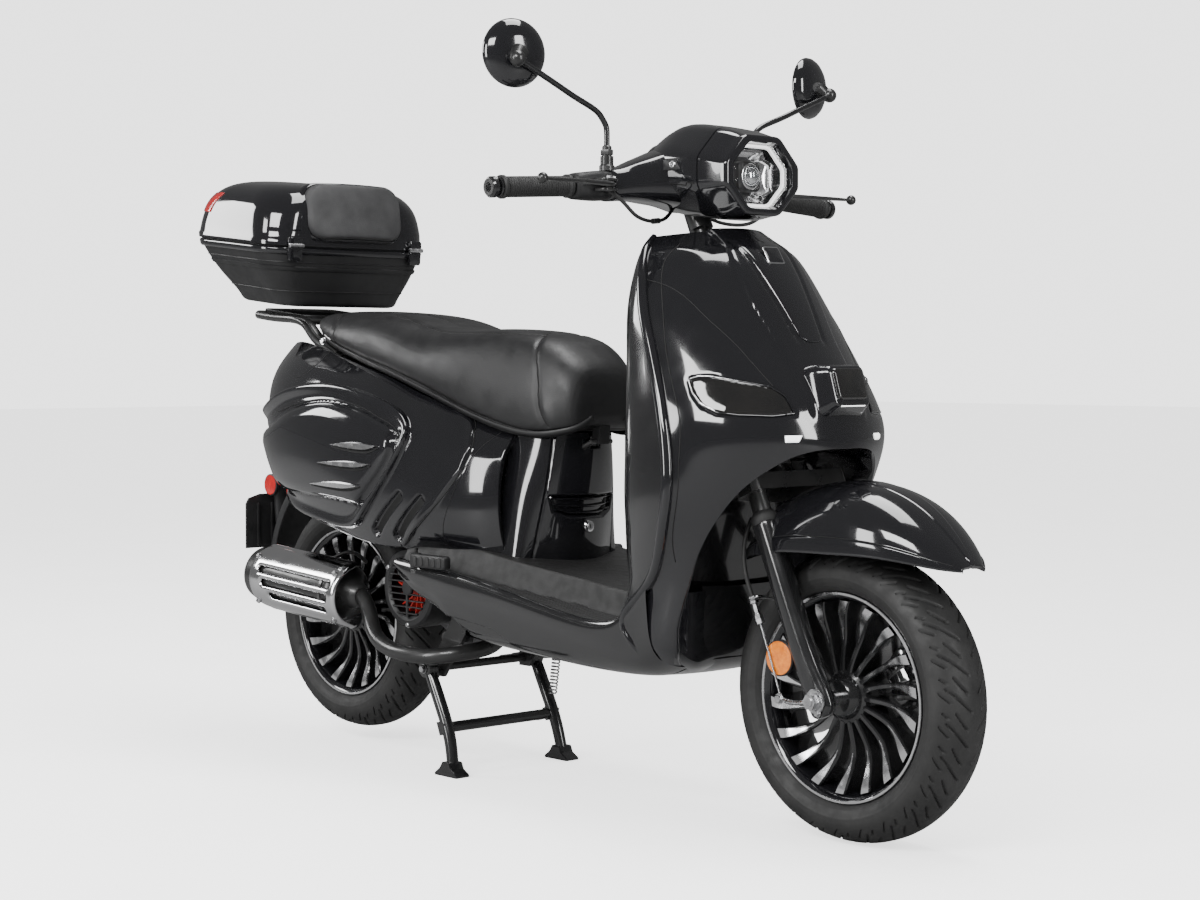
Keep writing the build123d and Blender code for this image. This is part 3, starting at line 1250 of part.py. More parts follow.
PEG_PIVOT = (-235.0, 200.0)
for name, side in (("peg_right", -1), ("peg_left", 1)):
    with BuildPart() as peg:                          # folded forwards along the flank
        with BuildSketch(Plane.XY.offset(388)):
            with Locations((PEG_PIVOT[0], side * PEG_PIVOT[1])):
                Circle(11)
        extrude(amount=30)
        with Locations((PEG_PIVOT[0] + 56, side * (PEG_PIVOT[1] + 12), 405)):
            Box(104, 16, 26)
        fillet(peg.edges().filter_by(Axis.Y), 5)
        with BuildSketch(Plane.XY.offset(380)):
            with Locations((PEG_PIVOT[0], side * PEG_PIVOT[1])):
                Circle(4 + RUN)
        extrude(amount=50, mode=Mode.SUBTRACT)
    save(peg.part, name)
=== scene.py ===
# Looks for the motor scooter: every piece rides on its CAD body, in the row frame, in metres.
from math import cos, pi, radians, sin, tau

import bmesh
import bpy
import numpy as np
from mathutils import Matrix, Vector
from mathutils.kdtree import KDTree


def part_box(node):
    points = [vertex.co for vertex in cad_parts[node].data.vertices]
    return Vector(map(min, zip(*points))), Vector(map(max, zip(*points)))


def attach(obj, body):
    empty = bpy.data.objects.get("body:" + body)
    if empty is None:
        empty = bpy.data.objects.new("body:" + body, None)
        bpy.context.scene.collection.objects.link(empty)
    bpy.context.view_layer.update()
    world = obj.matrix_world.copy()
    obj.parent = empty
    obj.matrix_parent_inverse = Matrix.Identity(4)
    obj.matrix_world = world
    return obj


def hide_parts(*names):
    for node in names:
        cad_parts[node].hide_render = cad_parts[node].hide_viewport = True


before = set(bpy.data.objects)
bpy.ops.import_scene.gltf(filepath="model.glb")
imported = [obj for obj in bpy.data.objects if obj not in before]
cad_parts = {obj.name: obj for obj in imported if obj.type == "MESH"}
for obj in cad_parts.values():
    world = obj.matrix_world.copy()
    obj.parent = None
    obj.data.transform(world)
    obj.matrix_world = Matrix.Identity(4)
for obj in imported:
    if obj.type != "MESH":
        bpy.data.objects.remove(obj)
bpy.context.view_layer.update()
MM = 0.001
MIDDLE = (0.05265, 0, 0)      # sizes below are in mm from the point midway between the axles; this places it
RIGHT, LEFT = -1, 1
SIDES = (RIGHT, LEFT)
NAMED = {RIGHT: "right", LEFT: "left"}


# ---------------------------------------------------------------- materials
class Shader:
    """A procedural material: one Principled node with small helpers that feed its inputs."""

    def __init__(self, name, color, roughness, metallic=0.0, coat=0.0, **inputs):
        self.material = bpy.data.materials.new("finish_" + name)
        self.material.use_nodes = True
        self.tree = self.material.node_tree
        self.main = self.tree.nodes["Principled BSDF"]
        self.main.inputs["Base Color"].default_value = (*color, 1)
        self.main.inputs["Roughness"].default_value = roughness
        self.main.inputs["Metallic"].default_value = metallic
        self.main.inputs["Coat Weight"].default_value = coat
        self.main.inputs["Coat Roughness"].default_value = 0.02
        for key, value in inputs.items():
            self.main.inputs[key.replace("_", " ")].default_value = value
        self.coords = self.tree.nodes.new("ShaderNodeTexCoord").outputs["Object"]
        self.normal = None

    def noise(self, scale, detail=3.0):
        """A noise pattern; scale is in features per metre."""
        node = self.tree.nodes.new("ShaderNodeTexNoise")
        node.inputs["Scale"].default_value = scale
        node.inputs["Detail"].default_value = detail
        self.tree.links.new(self.coords, node.inputs["Vector"])
        return node.outputs["Fac"]

    def cells(self, scale, feature="F1"):
        """A cellular pattern; scale is in cells per metre."""
        node = self.tree.nodes.new("ShaderNodeTexVoronoi")
        node.feature = feature
        node.inputs["Scale"].default_value = scale
        self.tree.links.new(self.coords, node.inputs["Vector"])
        return node.outputs["Distance"]

    def ramp(self, source, low, high, low_value, high_value):
        """Maps source from low..high to low_value..high_value, clamped."""
        node = self.tree.nodes.new("ShaderNodeMapRange")
        node.inputs["From Min"].default_value = low
        node.inputs["From Max"].default_value = high
        node.inputs["To Min"].default_value = low_value
        node.inputs["To Max"].default_value = high_value
        self.tree.links.new(source, node.inputs["Value"])
        return node.outputs["Result"]

    def vary_roughness(self, scale, low, high, detail=4.0):
        """Roughness drifts between low and high, like handling marks and dust."""
        value = self.ramp(self.noise(scale, detail), 0.35, 0.65, low, high)
        self.tree.links.new(value, self.main.inputs["Roughness"])
        return self

    def vary_color(self, scale, dark, light, detail=5.0):
        """Base colour drifts between two tones."""
        mix = self.tree.nodes.new("ShaderNodeMix")
        mix.data_type = "RGBA"
        mix.inputs["A"].default_value = (*dark, 1)
        mix.inputs["B"].default_value = (*light, 1)
        self.tree.links.new(self.ramp(self.noise(scale, detail), 0.3, 0.7, 0, 1), mix.inputs["Factor"])
        self.tree.links.new(mix.outputs["Result"], self.main.inputs["Base Color"])
        return self

    def bump(self, source, height, strength=1.0):
        """Adds relief, height in metres, on top of any earlier relief."""
        node = self.tree.nodes.new("ShaderNodeBump")
        node.inputs["Distance"].default_value = height
        node.inputs["Strength"].default_value = strength
        self.tree.links.new(source, node.inputs["Height"])
        if self.normal is not None:
            self.tree.links.new(self.normal, node.inputs["Normal"])
        self.normal = node.outputs["Normal"]
        self.tree.links.new(self.normal, self.main.inputs["Normal"])
        return self

    def worn_edges(self, color, amount=0.5):
        """Lightens convex edges, as handling does on painted and moulded parts."""
        geometry = self.tree.nodes.new("ShaderNodeNewGeometry")
        edge = self.ramp(geometry.outputs["Pointiness"], 0.53, 0.6, 0, amount)
        mix = self.tree.nodes.new("ShaderNodeMix")
        mix.data_type = "RGBA"
        mix.inputs["B"].default_value = (*color, 1)
        self.tree.links.new(edge, mix.inputs["Factor"])
        base = self.main.inputs["Base Color"]
        if base.links:
            self.tree.links.new(base.links[0].from_socket, mix.inputs["A"])
        else:
            mix.inputs["A"].default_value = base.default_value
        self.tree.links.new(mix.outputs["Result"], base)
        return self


def gloss_black():
    shader = Shader("gloss_black", (0.006, 0.006, 0.007), 0.12, coat=1.0)
    shader.vary_roughness(22, 0.07, 0.13)
    return shader.bump(shader.noise(90, 2), 0.00004, 0.25).material


def belly_black():
    shader = Shader("belly_black", (0.007, 0.007, 0.0075), 0.14, coat=1.0)
    shader.main.inputs["Coat Roughness"].default_value = 0.05
    shader.vary_roughness(30, 0.1, 0.18)
    return shader.bump(shader.noise(160, 2), 0.00005, 0.3).material


def matt_plastic():
    shader = Shader("matt_plastic", (0.014, 0.014, 0.0145), 0.5)
    shader.vary_color(14, (0.006, 0.006, 0.0065), (0.011, 0.011, 0.0115))
    shader.vary_roughness(40, 0.42, 0.58)
    return shader.bump(shader.noise(1400, 2), 0.00012, 0.5).material


def grained_mat():
    shader = Shader("grained_mat", (0.009, 0.009, 0.009), 0.5)
    shader.vary_roughness(60, 0.5, 0.66)
    return shader.bump(shader.cells(900), 0.0003, 0.6).material


def vinyl():
    shader = Shader("seat_vinyl", (0.008, 0.008, 0.0085), 0.42)
    shader.vary_color(9, (0.006, 0.006, 0.0065), (0.011, 0.011, 0.0115))
    shader.vary_roughness(30, 0.38, 0.52)
    shader.bump(shader.cells(620), 0.0003, 0.4)
    return shader.bump(shader.noise(45, 3), 0.0006, 0.3).material


def grey_pad():
    shader = Shader("grey_pad", (0.03, 0.03, 0.031), 0.6)
    shader.vary_color(30, (0.022, 0.022, 0.023), (0.036, 0.036, 0.037))
    shader.bump(shader.cells(800), 0.0004, 0.7)
    return shader.material


def tyre_rubber():
    shader = Shader("tyre_rubber", (0.012, 0.012, 0.012), 0.62)
    shader.vary_color(16, (0.008, 0.008, 0.008), (0.016, 0.0157, 0.0154))
    shader.vary_roughness(50, 0.5, 0.72)
    return shader.bump(shader.noise(700, 4), 0.0002, 0.5).material


def grip_rubber():
    shader = Shader("grip_rubber", (0.012, 0.012, 0.012), 0.6)
    shader.vary_roughness(60, 0.5, 0.7)
    return shader.bump(shader.cells(1000), 0.0002, 0.6).material


def satin_paint():
    shader = Shader("satin_paint", (0.012, 0.012, 0.012), 0.32, coat=0.3)
    shader.vary_roughness(35, 0.26, 0.42)
    shader.bump(shader.noise(500, 3), 0.00008, 0.5)
    return shader.worn_edges((0.06, 0.06, 0.06), 0.4).material


def satin_gloss():
    shader = Shader("satin_gloss", (0.008, 0.008, 0.0085), 0.2, coat=0.8)
    shader.main.inputs["Coat Roughness"].default_value = 0.08
    shader.vary_roughness(30, 0.15, 0.26)
    return shader.bump(shader.noise(420, 3), 0.00006, 0.4).material


def machined():
    shader = Shader("machined_silver", (0.78, 0.78, 0.79), 0.22, metallic=1.0)
    shader.vary_roughness(60, 0.16, 0.3)
    return shader.bump(shader.noise(1200, 2), 0.00004, 0.4).material


def chrome():
    shader = Shader("polished_chrome", (0.82, 0.82, 0.83), 0.1, metallic=1.0)
    shader.vary_roughness(18, 0.08, 0.2)
    return shader.bump(shader.noise(120, 3), 0.00008, 0.4).material


def plated_steel():
    shader = Shader("plated_steel", (0.6, 0.6, 0.61), 0.28, metallic=1.0)
    shader.vary_color(40, (0.5, 0.5, 0.51), (0.68, 0.68, 0.69))
    shader.vary_roughness(90, 0.2, 0.4)
    return shader.bump(shader.noise(900, 3), 0.00006, 0.5).material


def cast_alloy():
    shader = Shader("cast_alloy", (0.16, 0.16, 0.165), 0.5, metallic=0.8)
    shader.vary_color(25, (0.12, 0.12, 0.123), (0.2, 0.2, 0.205))
    return shader.bump(shader.noise(600, 5), 0.0003, 0.6).material


def fan_red():
    shader = Shader("fan_red", (0.42, 0.02, 0.015), 0.4)
    shader.vary_color(50, (0.36, 0.015, 0.012), (0.5, 0.03, 0.02))
    return shader.bump(shader.noise(800, 2), 0.0001, 0.4).material


def clear_lens():
    shader = Shader("clear_lens", (1, 1, 1), 0.02, Transmission_Weight=1.0, IOR=1.2)
    shader.main.inputs["Alpha"].default_value = 0.25
    return shader.bump(shader.noise(60, 1), 0.00003, 0.2).material


def smoked_lens():
    shader = Shader("smoked_lens", (0.007, 0.007, 0.007), 0.05, coat=1.0, Specular_IOR_Level=0.5)
    shader.vary_color(30, (0.006, 0.006, 0.006), (0.009, 0.0085, 0.008), 2)
    shader.bump(shader.noise(60, 2), 0.0001, 0.1)
    return shader.material


def red_lens():
    shader = Shader("red_lens", (0.34, 0.008, 0.008), 0.1, coat=1.0)
    shader.vary_color(50, (0.26, 0.005, 0.006), (0.42, 0.012, 0.01))
    return shader.bump(shader.cells(260), 0.0004, 0.4).material


def amber_lens():
    shader = Shader("amber_lens", (0.6, 0.15, 0.008), 0.14, coat=1.0)
    shader.vary_color(120, (0.45, 0.1, 0.005), (0.66, 0.19, 0.012))
    return shader.bump(shader.cells(330), 0.0005, 0.7).material


def amber_dim():
    shader = Shader("amber_dim", (0.2, 0.11, 0.05), 0.25, coat=1.0)
    shader.vary_color(90, (0.12, 0.07, 0.04), (0.26, 0.15, 0.07))
    return shader.bump(shader.cells(300), 0.0004, 0.5).material


def lamp_white():
    shader = Shader("lamp_white", (1, 1, 1), 0.3)
    shader.main.inputs["Emission Color"].default_value = (1, 1, 1, 1)
    shader.main.inputs["Emission Strength"].default_value = 1.1
    return shader.bump(shader.noise(300, 1), 0.00005, 0.3).material


# Near-black finish for joint lines; the same finish is also laid as painted shade in the flank slots, under the
# vent blades, along the shield rim groove, at the mudguard band step and in the seat lock's keyway.
def seam_and_shade_dark():
    shader = Shader("seam_and_shade_dark", (0.002, 0.002, 0.002), 0.7)
    return shader.bump(shader.noise(900, 1), 0.00005, 0.3).material


def mirror_glass():
    shader = Shader("mirror_glass", (0.8, 0.82, 0.84), 0.03, metallic=1.0)
    return shader.bump(shader.noise(8, 1), 0.00005, 0.2).material


GLOSS, BELLY, MATT, MAT_FLOOR = gloss_black(), belly_black(), matt_plastic(), grained_mat()
VINYL, PAD, TYRE, GRIP, SATIN = vinyl(), grey_pad(), tyre_rubber(), grip_rubber(), satin_paint()
SILVER, CHROME, STEEL, ALLOY, RED_FAN = machined(), chrome(), plated_steel(), cast_alloy(), fan_red()
CLEAR, SMOKE, RED, AMBER, WHITE = clear_lens(), smoked_lens(), red_lens(), amber_lens(), lamp_white()
SEAM_AND_SHADE, GLASS, AMBER_DIM, SATIN_GLOSS = seam_and_shade_dark(), mirror_glass(), amber_dim(), satin_gloss()

# ---------------------------------------------------------------- shape tools, in millimetres
def spline(points, count, closed=False):
    """count points along a smooth curve through the given points."""
    points = np.asarray(points, float)
    if closed:
        points = np.vstack([points[-3:], points, points[:4]])
    steps = np.linalg.norm(np.diff(points, axis=0), axis=1)
    knots = np.concatenate([[0], np.cumsum(np.sqrt(np.maximum(steps, 1e-6)))])
    gaps = np.diff(knots)
    size = len(points)
    matrix = np.eye(size)
    target = np.zeros_like(points)
    for i in range(1, size - 1):
        matrix[i, i - 1:i + 2] = gaps[i - 1], 2 * (gaps[i - 1] + gaps[i]), gaps[i]
        target[i] = 6 * ((points[i + 1] - points[i]) / gaps[i] - (points[i] - points[i - 1]) / gaps[i - 1])
    bend = np.linalg.solve(matrix, target)
    first, last = (knots[3], knots[-4]) if closed else (knots[0], knots[-1])
    places = np.linspace(first, last, count, endpoint=not closed)
    index = np.clip(np.searchsorted(knots, places, side="right") - 1, 0, size - 2)
    span = gaps[index][:, None]
    ahead = ((knots[index + 1] - places)[:, None]) / span
    behind = 1 - ahead
    return (ahead * points[index] + behind * points[index + 1]
            + ((ahead ** 3 - ahead) * bend[index] + (behind ** 3 - behind) * bend[index + 1]) * span ** 2 / 6)


def even(points, count):
    """The same curve with its points spread evenly along its length."""
    points = np.asarray(points, float)
    run = np.concatenate([[0], np.cumsum(np.linalg.norm(np.diff(points, axis=0), axis=1))])
    places = np.linspace(0, run[-1], count)
    return np.column_stack([np.interp(places, run, points[:, k]) for k in range(points.shape[1])])


def smooth(value, low, high):
    """0 below low, 1 above high and an S-curve between."""
    share = np.clip((np.asarray(value, float) - low) / (high - low), 0, 1)
    return share * share * (3 - 2 * share)


def skin(rows, across, along):
    """A smooth grid (along, across, 3) through rows of points."""
    lines = np.array([even(spline(row, across * 3), across) for row in rows])
    return np.stack([spline(lines[:, i], along) for i in range(across)], axis=1)


def normals_of(grid):
    """Unit normals at every point of a grid."""
    down = np.gradient(grid, axis=0)
    over = np.gradient(grid, axis=1)
    normal = np.cross(over, down)
    return normal / np.maximum(np.linalg.norm(normal, axis=2, keepdims=True), 1e-9)


def sample(grid, v, s):
    """Points of a grid at fractions v down and s across."""
    rows, columns = grid.shape[:2]
    i, j = np.clip(v, 0, 1) * (rows - 1), np.clip(s, 0, 1) * (columns - 1)
    a, b = np.minimum(i.astype(int), rows - 2), np.minimum(j.astype(int), columns - 2)
    i, j = (i - a)[..., None], (j - b)[..., None]
    return ((1 - i) * (1 - j) * grid[a, b] + i * (1 - j) * grid[a + 1, b] + (1 - i) * j * grid[a, b + 1]
            + i * j * grid[a + 1, b + 1])


def facing(grid, direction):
    """Normals of a grid, turned so that on the whole they face direction."""
    normal = normals_of(grid)
    return normal if (normal @ np.asarray(direction, float)).sum() > 0 else -normal


def both_halves(half):
    """Rows of (x, half width, z) from the centre plane outwards, made into full rows, left edge first."""
    out = []
    for row in half:
        out.append([(x, w, z) for x, w, z in row[:0:-1]] + [(x, -w, z) for x, w, z in row])
    return out


def flip(points):
    """The mirror image across the centre plane."""
    return np.asarray(points, float) * (1, -1, 1)


def piece(name, points, faces, material, body, stands_for=(), crease=40, thick=0.0, bevel=0.0, divide=0,
          weld=0.0):
    """One shown object that rides on a CAD body. Sizes in mm."""
    mesh = bpy.data.meshes.new(name)
    mesh.from_pydata((np.asarray(points, float) * MM + MIDDLE).tolist(), [], [list(f) for f in faces])
    mesh.materials.append(material)
    mesh.validate()
    work = bmesh.new()
    work.from_mesh(mesh)
    if weld:
        bmesh.ops.remove_doubles(work, verts=work.verts, dist=weld * MM)
    bmesh.ops.recalc_face_normals(work, faces=work.faces)
    work.to_mesh(mesh)
    work.free()
    mesh.shade_smooth()
    if crease:
        mesh.set_sharp_from_angle(angle=radians(crease))
    obj = bpy.data.objects.new(name, mesh)
    bpy.context.scene.collection.objects.link(obj)
    if divide:
        modifier = obj.modifiers.new("divide", "SUBSURF")
        modifier.levels = modifier.render_levels = divide
    if thick:
        modifier = obj.modifiers.new("thick", "SOLIDIFY")
        modifier.thickness = abs(thick) * MM
        modifier.offset = -1 if thick > 0 else 1
        modifier.use_even_offset = True
    if bevel:
        modifier = obj.modifiers.new("edges", "BEVEL")
        modifier.width = bevel * MM
        modifier.segments = 3
        modifier.limit_method = "ANGLE"
        modifier.angle_limit = radians(35)
        modifier.harden_normals = False
    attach(obj, body)
    if stands_for:
        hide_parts(*stands_for)
    return obj


def grid_faces(rows, columns, wrap_rows=False, wrap_columns=False, first=0):
    """Quads of a grid whose points are numbered row by row."""
    out = []
    for i in range(rows if wrap_rows else rows - 1):
        for j in range(columns if wrap_columns else columns - 1):
            k, m = (i + 1) % rows, (j + 1) % columns
            out.append((first + i * columns + j, first + i * columns + m, first + k * columns + m,
                        first + k * columns + j))
    return out


def joined(name, grids, material, body, stands_for=(), **more):
    """Several grids as one skin; their shared edges are welded."""
    points, faces = [], []
    for grid in grids:
        grid = np.asarray(grid, float)
        faces += grid_faces(*grid.shape[:2], first=len(points))
        points += grid.reshape(-1, 3).tolist()
    return piece(name, points, faces, material, body, stands_for, weld=0.02, **more)


def sheet(name, grid, material, body, stands_for=(), roll=(), out=None, radius=3.0, depth=6.0, **more):
    """A panel from a grid. roll names the edges (first, last, left, right) that turn inwards.
    out is the outward direction on the whole."""
    grid = np.asarray(grid, float)
    if roll:
        normal = facing(grid, out)
        grid = roll_edges(grid, normal, roll, radius, depth)
    rows, columns = grid.shape[:2]
    return piece(name, grid.reshape(-1, 3), grid_faces(rows, columns), material, body, stands_for, **more)


def roll_edges(grid, normal, edges, radius, depth):
    """Adds rows along the chosen edges that turn the panel inwards with a small radius."""
    for edge in edges:
        if edge in ("left", "right"):
            grid, normal = grid.transpose(1, 0, 2), normal.transpose(1, 0, 2)
        if edge in ("first", "left"):
            grid, normal = grid[::-1], normal[::-1]
        last, inner = grid[-1], normal[-1]
        away = last - grid[-2]
        away = away - (away * inner).sum(1, keepdims=True) * inner
        away /= np.maximum(np.linalg.norm(away, axis=1, keepdims=True), 1e-9)
        extra, turned = [], []
        for angle in (22, 45, 68, 90):
            s, c = sin(radians(angle)), cos(radians(angle))
            extra.append(last + radius * s * away - radius * (1 - c) * inner)
            turned.append(s * away + c * inner)
        extra.append(extra[-1] - depth * inner)
        turned.append(away)
        grid = np.concatenate([grid, np.array(extra)])
        normal = np.concatenate([normal, np.array(turned)])
        if edge in ("first", "left"):
            grid, normal = grid[::-1], normal[::-1]
        if edge in ("left", "right"):
            grid, normal = grid.transpose(1, 0, 2), normal.transpose(1, 0, 2)
    return grid


def loft(name, rings, material, body, stands_for=(), caps=(True, True), **more):
    """A closed skin through rings of points with the same count, with end caps."""
    rings = np.asarray(rings, float)
    count, around = rings.shape[:2]
    points = rings.reshape(-1, 3).tolist()
    faces = grid_faces(count, around, wrap_columns=True)
    for use, index in zip(caps, (0, count - 1)):
        if not use:
            continue
        centre = len(points)
        points.append(rings[index].mean(0).tolist())
        for j in range(around):
            faces.append((index * around + j, index * around + (j + 1) % around, centre))
    return piece(name, points, faces, material, body, stands_for, **more)


def frames_along(path):
    """Two unit normals at each point of a path, carried along without twist."""
    path = np.asarray(path, float)
    tangent = np.gradient(path, axis=0)
    tangent /= np.maximum(np.linalg.norm(tangent, axis=1, keepdims=True), 1e-9)
    side = np.cross(tangent[0], (0.0, 0.0, 1.0))
    if np.linalg.norm(side) < 0.1:
        side = np.cross(tangent[0], (0.0, 1.0, 0.0))
    side /= np.linalg.norm(side)
    sides = []
    for t in tangent:
        side = side - (side @ t) * t
        side = side / np.linalg.norm(side)
        sides.append(side)
    sides = np.array(sides)
    return sides, np.cross(tangent, sides)


def hose_rings(points, radius, around=16, count=0, flat=1.0):
    """Rings of a round bar along a smooth path; radius is a number or one per path point."""
    points = np.asarray(points, float)
    count = count or max(2, 8 * (len(points) - 1))
    path = spline(points, count) if len(points) > 2 else even(points, count)
    sizes = np.interp(np.linspace(0, 1, count), np.linspace(0, 1, np.size(radius)), np.atleast_1d(radius))
    sides, ups = frames_along(path)
    angles = np.linspace(0, tau, around, endpoint=False)
    return np.array([p + r * (np.cos(angles)[:, None] * s + flat * np.sin(angles)[:, None] * u)
                     for p, r, s, u in zip(path, sizes, sides, ups)])


def bar(name, points, radius, material, body, stands_for=(), around=16, count=0, flat=1.0, **more):
    """A round or flattened bar along a smooth path."""
    return loft(name, hose_rings(points, radius, around, count, flat), material, body, stands_for, **more)


def axes_of(direction):
    """Three unit axes whose last one is direction."""
    w = np.asarray(direction, float)
    w = w / np.linalg.norm(w)
    helper = np.array((0.0, 0.0, 1.0)) if abs(w[2]) < 0.9 else np.array((1.0, 0.0, 0.0))
    u = np.cross(helper, w)
    u /= np.linalg.norm(u)
    return u, np.cross(w, u), w


def turned_points(centre, direction, profile, around=48):
    """Rings of a turned shape: profile is (distance along direction, radius)."""
    u, v, w = axes_of(direction)
    angles = np.linspace(0, tau, around, endpoint=False)
    circle = np.cos(angles)[:, None] * u + np.sin(angles)[:, None] * v
    return np.array([np.asarray(centre, float) + a * w + r * circle for a, r in profile])


def turned(name, centre, direction, profile, material, body, stands_for=(), around=48, **more):
    """A turned solid with closed ends."""
    return loft(name, turned_points(centre, direction, profile, around), material, body, stands_for, **more)


def rounded_outline(width, height, corner, steps=6):
    """A rounded rectangle about the origin, as (u, v) points."""
    out = []
    for cx, cy, start in ((1, 1, 0), (-1, 1, 90), (-1, -1, 180), (1, -1, 270)):
        for k in range(steps + 1):
            a = radians(start + 90 * k / steps)
            out.append((cx * (width / 2 - corner) + corner * cos(a),
                        cy * (height / 2 - corner) + corner * sin(a)))
    return np.array(out)


def slab_rings(outline, centre, u, v, w, layers):
    """Rings of an outline in the plane of u and v: layers are (height along w, inset)."""
    outline = np.asarray(outline, float)
    middle = outline.mean(0)
    rings = []
    for height, inset in layers:
        reach = np.linalg.norm(outline - middle, axis=1, keepdims=True)
        drawn = middle + (outline - middle) * (1 - inset / np.maximum(reach, inset + 1e-6))
        rings.append(np.asarray(centre, float) + drawn[:, :1] * u + drawn[:, 1:] * v + height * w)
    return np.array(rings)


def plate(name, outline, centre, direction, thick, material, body, stands_for=(), edge=0.8, up=None, **more):
    """A plate with softened edges. outline is in the plane square to direction, up fixes its v axis."""
    u, v, w = axes_of(direction)
    if up is not None:
        v = np.asarray(up, float) - (np.asarray(up, float) @ w) * w
        v /= np.linalg.norm(v)
        u = np.cross(v, w)
    layers = ((0, edge), (edge * 0.3, edge * 0.3), (edge, 0), (thick - edge, 0),
              (thick - edge * 0.3, edge * 0.3),
              (thick, edge))
    return loft(name, slab_rings(outline, centre, u, v, w, layers), material, body, stands_for, **more)


def bolt(name, place, direction, size, material, body):
    """A hexagon head with a washer, standing on a surface."""
    u, v, w = axes_of(direction)
    angles = np.radians(np.arange(0, 360, 60))
    outline = size * np.column_stack([np.cos(angles), np.sin(angles)])
    washer = [(0, size * 1.25), (size * 0.12, size * 1.3), (size * 0.22, size * 1.25),
              (size * 0.22, size * 0.2)]
    turned(name + "_washer", place, direction, washer, material, body, around=24)
    layers = ((size * 0.2, 0), (size * 0.85, 0), (size * 1.0, size * 0.14))
    return loft(name, slab_rings(outline, place, u, v, w, layers), material, body, crease=25)


class Panel:
    """A dense smooth surface that details can be laid on, addressed by two of its coordinates."""

    def __init__(self, grid, out, plane):
        self.grid = np.asarray(grid, float)
        self.normal = facing(self.grid, out)
        self.plane = list(plane)

    def raise_by(self, height):
        """Moves every point along its normal by height(a, b) of its two coordinates."""
        a, b = (self.grid[..., k] for k in self.plane)
        self.grid = self.grid + height(a, b)[..., None] * self.normal
        self.normal = np.where((normals_of(self.grid) * self.normal).sum(-1, keepdims=True) > 0,
                               normals_of(self.grid), -normals_of(self.grid))

    def on(self, places, lift=0.0):
        """Points on the surface at the given pairs of coordinates, lifted along the normal."""
        places = np.atleast_2d(np.asarray(places, float))
        flat = self.grid[..., self.plane].reshape(-1, 2)
        points, normals = self.grid.reshape(-1, 3), self.normal.reshape(-1, 3)
        out = []
        for place in places:
            gap = ((flat - place) ** 2).sum(1)
            near = np.argpartition(gap, 4)[:5]
            near = near[np.linalg.norm(points[near] - points[near[np.argmin(gap[near])]], axis=1) < 60]
            weight = 1 / (gap[near] + 0.02)
            weight /= weight.sum()
            spot, normal = weight @ points[near], weight @ normals[near]
            normal /= np.linalg.norm(normal)
            rest = [k for k in range(3) if k not in self.plane][0]
            slope = normal[self.plane] @ (place - spot[self.plane])
            moved = spot.copy()
            moved[self.plane] = place
            if abs(normal[rest]) > 0.2:
                moved[rest] = spot[rest] - slope / normal[rest]
            out.append(moved + lift * normal)
        return np.array(out)

    def patch(self, near, far, across=12, along=30, lift=0.0, edge=0.0):
        """A grid between two lines laid on the surface, lifted, with rims that sink back if edge is given."""
        near, far = even(spline(near, 60) if len(near) > 2 else near, along), \
            even(spline(far, 60) if len(far) > 2 else far, along)
        shares = np.linspace(0, 1, across)
        flat = near[None] * (1 - shares[:, None, None]) + far[None] * shares[:, None, None]
        height = np.full((across, along), float(lift))
        if edge:
            height[0], height[-1], height[:, 0], height[:, -1] = (lift - edge,) * 4
        shape = self.on(flat.reshape(-1, 2)).reshape(across, along, 3)
        normal = facing(shape, self.normal.reshape(-1, 3).mean(0))
        return shape + height[..., None] * normal


def seam(name, panel, places, body, radius=0.9, material=None, count=60, lift=0.0):
    """A thin dark joint line laid on a panel."""
    line = even(spline(places, 80), count) if len(places) > 2 else even(places, count)
    return bar(name, panel.on(line, lift), radius, material or SEAM_AND_SHADE, body, around=6, count=count)


def inside(places, outline):
    """Whether each of the places is within a closed outline."""
    places, outline = np.asarray(places, float), np.asarray(outline, float)
    x, y = places[..., 0], places[..., 1]
    hit = np.zeros(x.shape, bool)
    for (x0, y0), (x1, y1) in zip(outline, np.roll(outline, -1, axis=0)):
        if y0 != y1:
            hit ^= ((y0 > y) != (y1 > y)) & (x < (x1 - x0) * (y - y0) / (y1 - y0) + x0)
    return hit


def depth_in(places, outline):
    """Signed distance to a closed outline, positive within it."""
    places, outline = np.asarray(places, float), np.asarray(outline, float)
    best = np.full(places.shape[:-1], 1e9)
    for a, b in zip(outline, np.roll(outline, -1, axis=0)):
        side = b - a
        share = np.clip(((places - a) @ side) / max(side @ side, 1e-9), 0, 1)
        best = np.minimum(best, np.linalg.norm(places - (a + share[..., None] * side), axis=-1))
    return np.where(inside(places, outline), best, -best)

